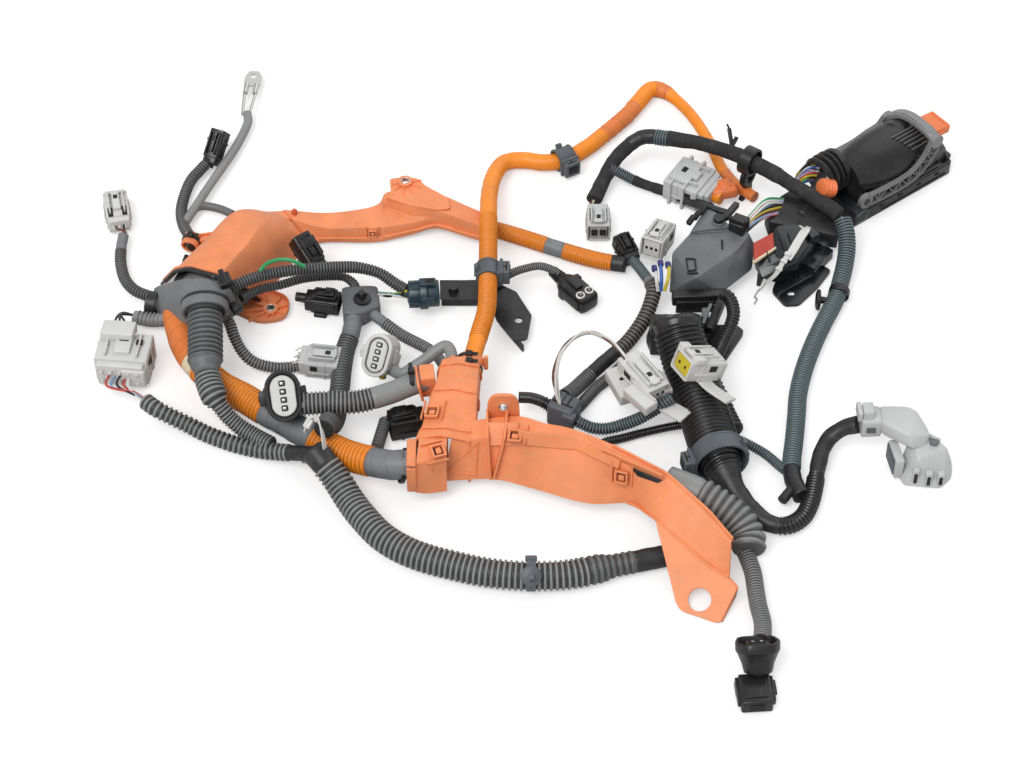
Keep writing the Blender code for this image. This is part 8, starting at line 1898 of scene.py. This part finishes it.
# Hub boot, taped joint, clips and clamp
def makeJoints():
    # Soft taped boot at the hub and the Y joint, each with its wraps and fasteners.
    hub = [hullBody([(-0.332, 0.1, 0.003), (-0.33, 0.104, 0.02), (-0.322, 0.072, 0.003), (-0.318, 0.074, 0.024),
        (-0.298, 0.078, 0.056), (-0.292, 0.058, 0.06), (-0.262, 0.048, 0.064), (-0.252, 0.062, 0.06),
        (-0.248, 0.07, 0.03), (-0.25, 0.058, 0.024), (-0.286, 0.044, 0.03), (-0.3, 0.052, 0.026),
        (-0.276, 0.07, 0.066)], "hubGrey", 0.0075, 4),
           pipeBody(0.0212, 0.003, 0.013, "hubGrey", 40, at=(-0.2745, 0.041, 0.0575), turn=(14, 0, 4)),
           pipeBody(0.0222, 0.003, 0.003, "blackTape", 40, at=(-0.2743, 0.0445, 0.058), turn=(14, 0, 4)),
           softBox(0.012, 0.015, 0.007, "plugBlack", 0.0012, at=(-0.258, 0.066, 0.0655), turn=(0, -8, 20)),
           softBox(0.005, 0.02, 0.003, "plugBlack", 0.0008, at=(-0.259, 0.0655, 0.07), turn=(0, -8, 20)),
           softBox(0.01, 0.01, 0.009, "plugBlack", 0.0014, at=(-0.248, 0.05, 0.047), turn=(10, -8, 30)),
           pipeBody(0.0118, 0.0022, 0.01, "blackTape", 28, at=(-0.33, 0.089, 0.011), turn=(0, 0, 78))]
    hub.append(hullBody([(-0.314, 0.112, 0.003), (-0.3, 0.096, 0.04), (-0.29, 0.09, 0.05), (-0.264, 0.076, 0.055),
        (-0.248, 0.088, 0.028), (-0.24, 0.098, 0.003), (-0.3, 0.14, 0.003),
        (-0.285, 0.118, 0.042), (-0.25, 0.1, 0.05), (-0.236, 0.11, 0.02), (-0.312, 0.092, 0.02),
        (-0.268, 0.066, 0.045), (-0.262, 0.066, 0.02)], "hubGrey", 0.004, 3))
    fill = [seen(px, py, z) for px, py, z in ((171, 286, 0.026), (175, 271, 0.038), (190, 266, 0.045),
        (203, 268, 0.048), (200, 284, 0.04), (184, 290, 0.03))]
    hub.append(hullBody([tuple(p) for p in fill] + [tuple(p - [0, 0, 0.018]) for p in fill], "blackTape", 0.003, 2))
    strand = [(-0.315, 0.07, 0.011), (-0.33, 0.07, 0.009), (-0.346, 0.0745, 0.009)]
    hub += [strandBody(strand, 0.0062, "conduitGrey", 16)] + [pipeBody(0.0068, 0.0012, 0.0016, "conduitGrey", 20,
        at=(-0.32 - 0.0036 * k, 0.07 + 0.0003 * k * k * 0.25, 0.01), turn=(0, 0, 88 - 2 * k)) for k in range(7)]
    hub += [strandBody([(-0.344, 0.0745, 0.0095 + 0.001 * k), (-0.356, 0.074 - 0.003 * k, 0.015 + 0.002 * k),
        (-0.36 + 0.004 * k, 0.056, 0.024), (-0.357 + 0.006 * k, 0.038, 0.026)], 0.0012, "wireBlack",
        8) for k in range(3)]
    piece("leftHubDetail", hub, "left_hub")

    joint = [hullBody([(-0.157, 0.104, 0.004), (-0.157, 0.104, 0.019), (-0.124, 0.106, 0.006), (-0.124, 0.106, 0.019),
        (-0.12, 0.078, 0.006), (-0.12, 0.078, 0.02), (-0.154, 0.066, 0.004), (-0.154, 0.066, 0.0235),
        (-0.136, 0.066, 0.004), (-0.136, 0.066, 0.0235), (-0.14, 0.1, 0.003), (-0.14, 0.098, 0.0235)],
        "greyTape", 0.0055, 4),
        turnedBody([(0.002, -0.002), (0.0076, -0.0016), (0.0082, -0.0006), (0.0078, 0.001), (0.005, 0.0016),
        (0.0036, 0.0024)], "plugBlack", 28, at=(-0.137, 0.083, 0.0245), turn=(90, 0, 0)),
        rodBody(0.003, 0.009, "plugBlack", 16, at=(-0.137, 0.083, 0.029), turn=(90, 0, 0)),
        softBox(0.01, 0.0016, 0.0046, "plugBlack", 0.0005, at=(-0.137, 0.083, 0.03)),
        softBox(0.0016, 0.01, 0.0046, "plugBlack", 0.0005, at=(-0.137, 0.083, 0.03))]
    piece("centreJointDetail", joint, "centre_junction")


clips = {  # cuff radius over the cable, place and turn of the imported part
    "upper_cable_clip": dict(cable=0.0081, at=(-0.0218, 0.1, 0.0412), turn=(0, 0, 0)),
    "rear_cable_clip": dict(cable=0.0081, at=(0.05, 0.2845, 0.011), turn=(0, 0, -62)),
    "trunk_clip": dict(cable=0.0215, at=(0.1795, -0.107, 0.0242), turn=(0, 0, -166)),
}


def makeClips():
    # Hinged cuffs: a wide band with rolled rims, the snap on one side, the slotted mounting block on the other.
    for name, s in clips.items():
        r = s["cable"] + 0.0026
        bodies = [pipeBody(r, 0.002, 0.0175, "clipGrey", 40),
            pipeBody(r + 0.0006, 0.002, 0.0022, "clipGrey", 40, at=(0, 0.0078, 0)),
            pipeBody(r + 0.0006, 0.002, 0.0022, "clipGrey", 40, at=(0, -0.0078, 0)),
            softBox(0.0116, 0.016, 0.016, "clipGrey", 0.0014, at=(r + 0.0034, 0, 0)),
            softBox(0.003, 0.019, 0.019, "clipGrey", 0.001, at=(r + 0.0014, 0, 0)),
            softBox(0.003, 0.01, 0.004, "clipGrey", 0.0008, at=(-r - 0.0006, 0, 0.001)),
            softBox(0.004, 0.006, 0.009, "clipGrey", 0.0008, at=(-r * 0.86, 0, r * 0.52), turn=(0, -30, 0))]
        # near-black slots in the mounting block are painted shade
        for x, y, wide, long in ((r + 0.0016, 0, 0.0014, 0.01), (r + 0.006, 0, 0.0014, 0.01),
                (r + 0.0038, 0, 0.005, 0.0016)):
            bodies.append(softBox(wide, long, 0.0012, "paintedCavityShade", 0.0002, at=(x, y, 0.0078)))
        bodies.append(softBox(0.0012, 0.01, 0.009, "paintedCavityShade", 0.0003, at=(r + 0.0092, 0, 0.001)))
        bodies = stand(bodies, s["at"], s["turn"])
        piece(detailName(name), bodies, name)

    r = 0.0146
    disc = [pipeBody(r, 0.0022, 0.0078, "clipGrey", 44, turn=(0, 0, 90)),
        turnedBody([(0.002, -0.0022), (0.008, -0.0018), (0.0088, -0.0006), (0.0086, 0.0008), (0.006, 0.0018),
        (0.0034, 0.0024)], "clipGrey", 30, at=(0, -0.01, 0.01), turn=(130, 0, 0)),
            rodBody(0.0028, 0.008, "clipGrey", 18, at=(0, -0.0135, 0.0142), turn=(130, 0, 0)),
            softBox(0.01, 0.006, 0.005, "clipGrey", 0.001, at=(0, 0.007, 0.012), turn=(-40, 0, 0)),
            # near-black slot: painted shade
            softBox(0.0016, 0.007, 0.0012, "paintedCavityShade", 0.0003, at=(0, -0.0155, 0.0155), turn=(40, 0, 0))]
    disc = stand(disc, (0.016, -0.2278, r), (0, 0, 0))
    piece("discClipDetail", disc, "disc_clip")

    clamp = [pipeBody(0.0112, 0.0042, 0.0062, "plugBlack", 36), pipeBody(0.0122, 0.0016, 0.0026, "plugBlack", 36),
        softBox(0.011, 0.0055, 0.012, "plugBlack", 0.0012, at=(0, 0, -0.0145)),
        pipeBody(0.014, 0.0022, 0.012, "plugBlack", 36, at=(0, 0, 0.019)),
        softBox(0.012, 0.006, 0.007, "plugBlack", 0.001, at=(0, 0, 0.006)),
        softBox(0.006, 0.005, 0.015, "plugBlack", 0.001, at=(-0.006, 0, -0.019), turn=(0, 24, 0))]
    piece("loomClampDetail", stand(clamp, (0.2255, 0.2455, 0.025), (0, 0, 55)), "loom_clamp")

    block = [softBox(0.025, 0.021, 0.026, "clipGrey", 0.0026, 0.003),
        softBox(0.012, 0.008, 0.006, "clipGrey", 0.001, at=(0.01, -0.01, 0.008)),
        # near-black grooves on top are painted shade
        softBox(0.02, 0.0014, 0.0016, "paintedCavityShade", 0.0003, at=(0, -0.003, 0.013)),
        softBox(0.0014, 0.01, 0.0016, "paintedCavityShade", 0.0003, at=(0.004, 0.0036, 0.013)),
        softBox(0.009, 0.01, 0.0024, "clipGrey", 0.0008, at=(-0.006, 0.004, 0.0138)),
        softBox(0.027, 0.004, 0.01, "clipGrey", 0.001, at=(0, 0.002, -0.002))]
    piece("wireClipDetail", stand(block, (0.046, -0.045, 0.0135), (0, 0, -28)), "wire_clip")


makeJoints()
makeClips()
print("joints and clips made")
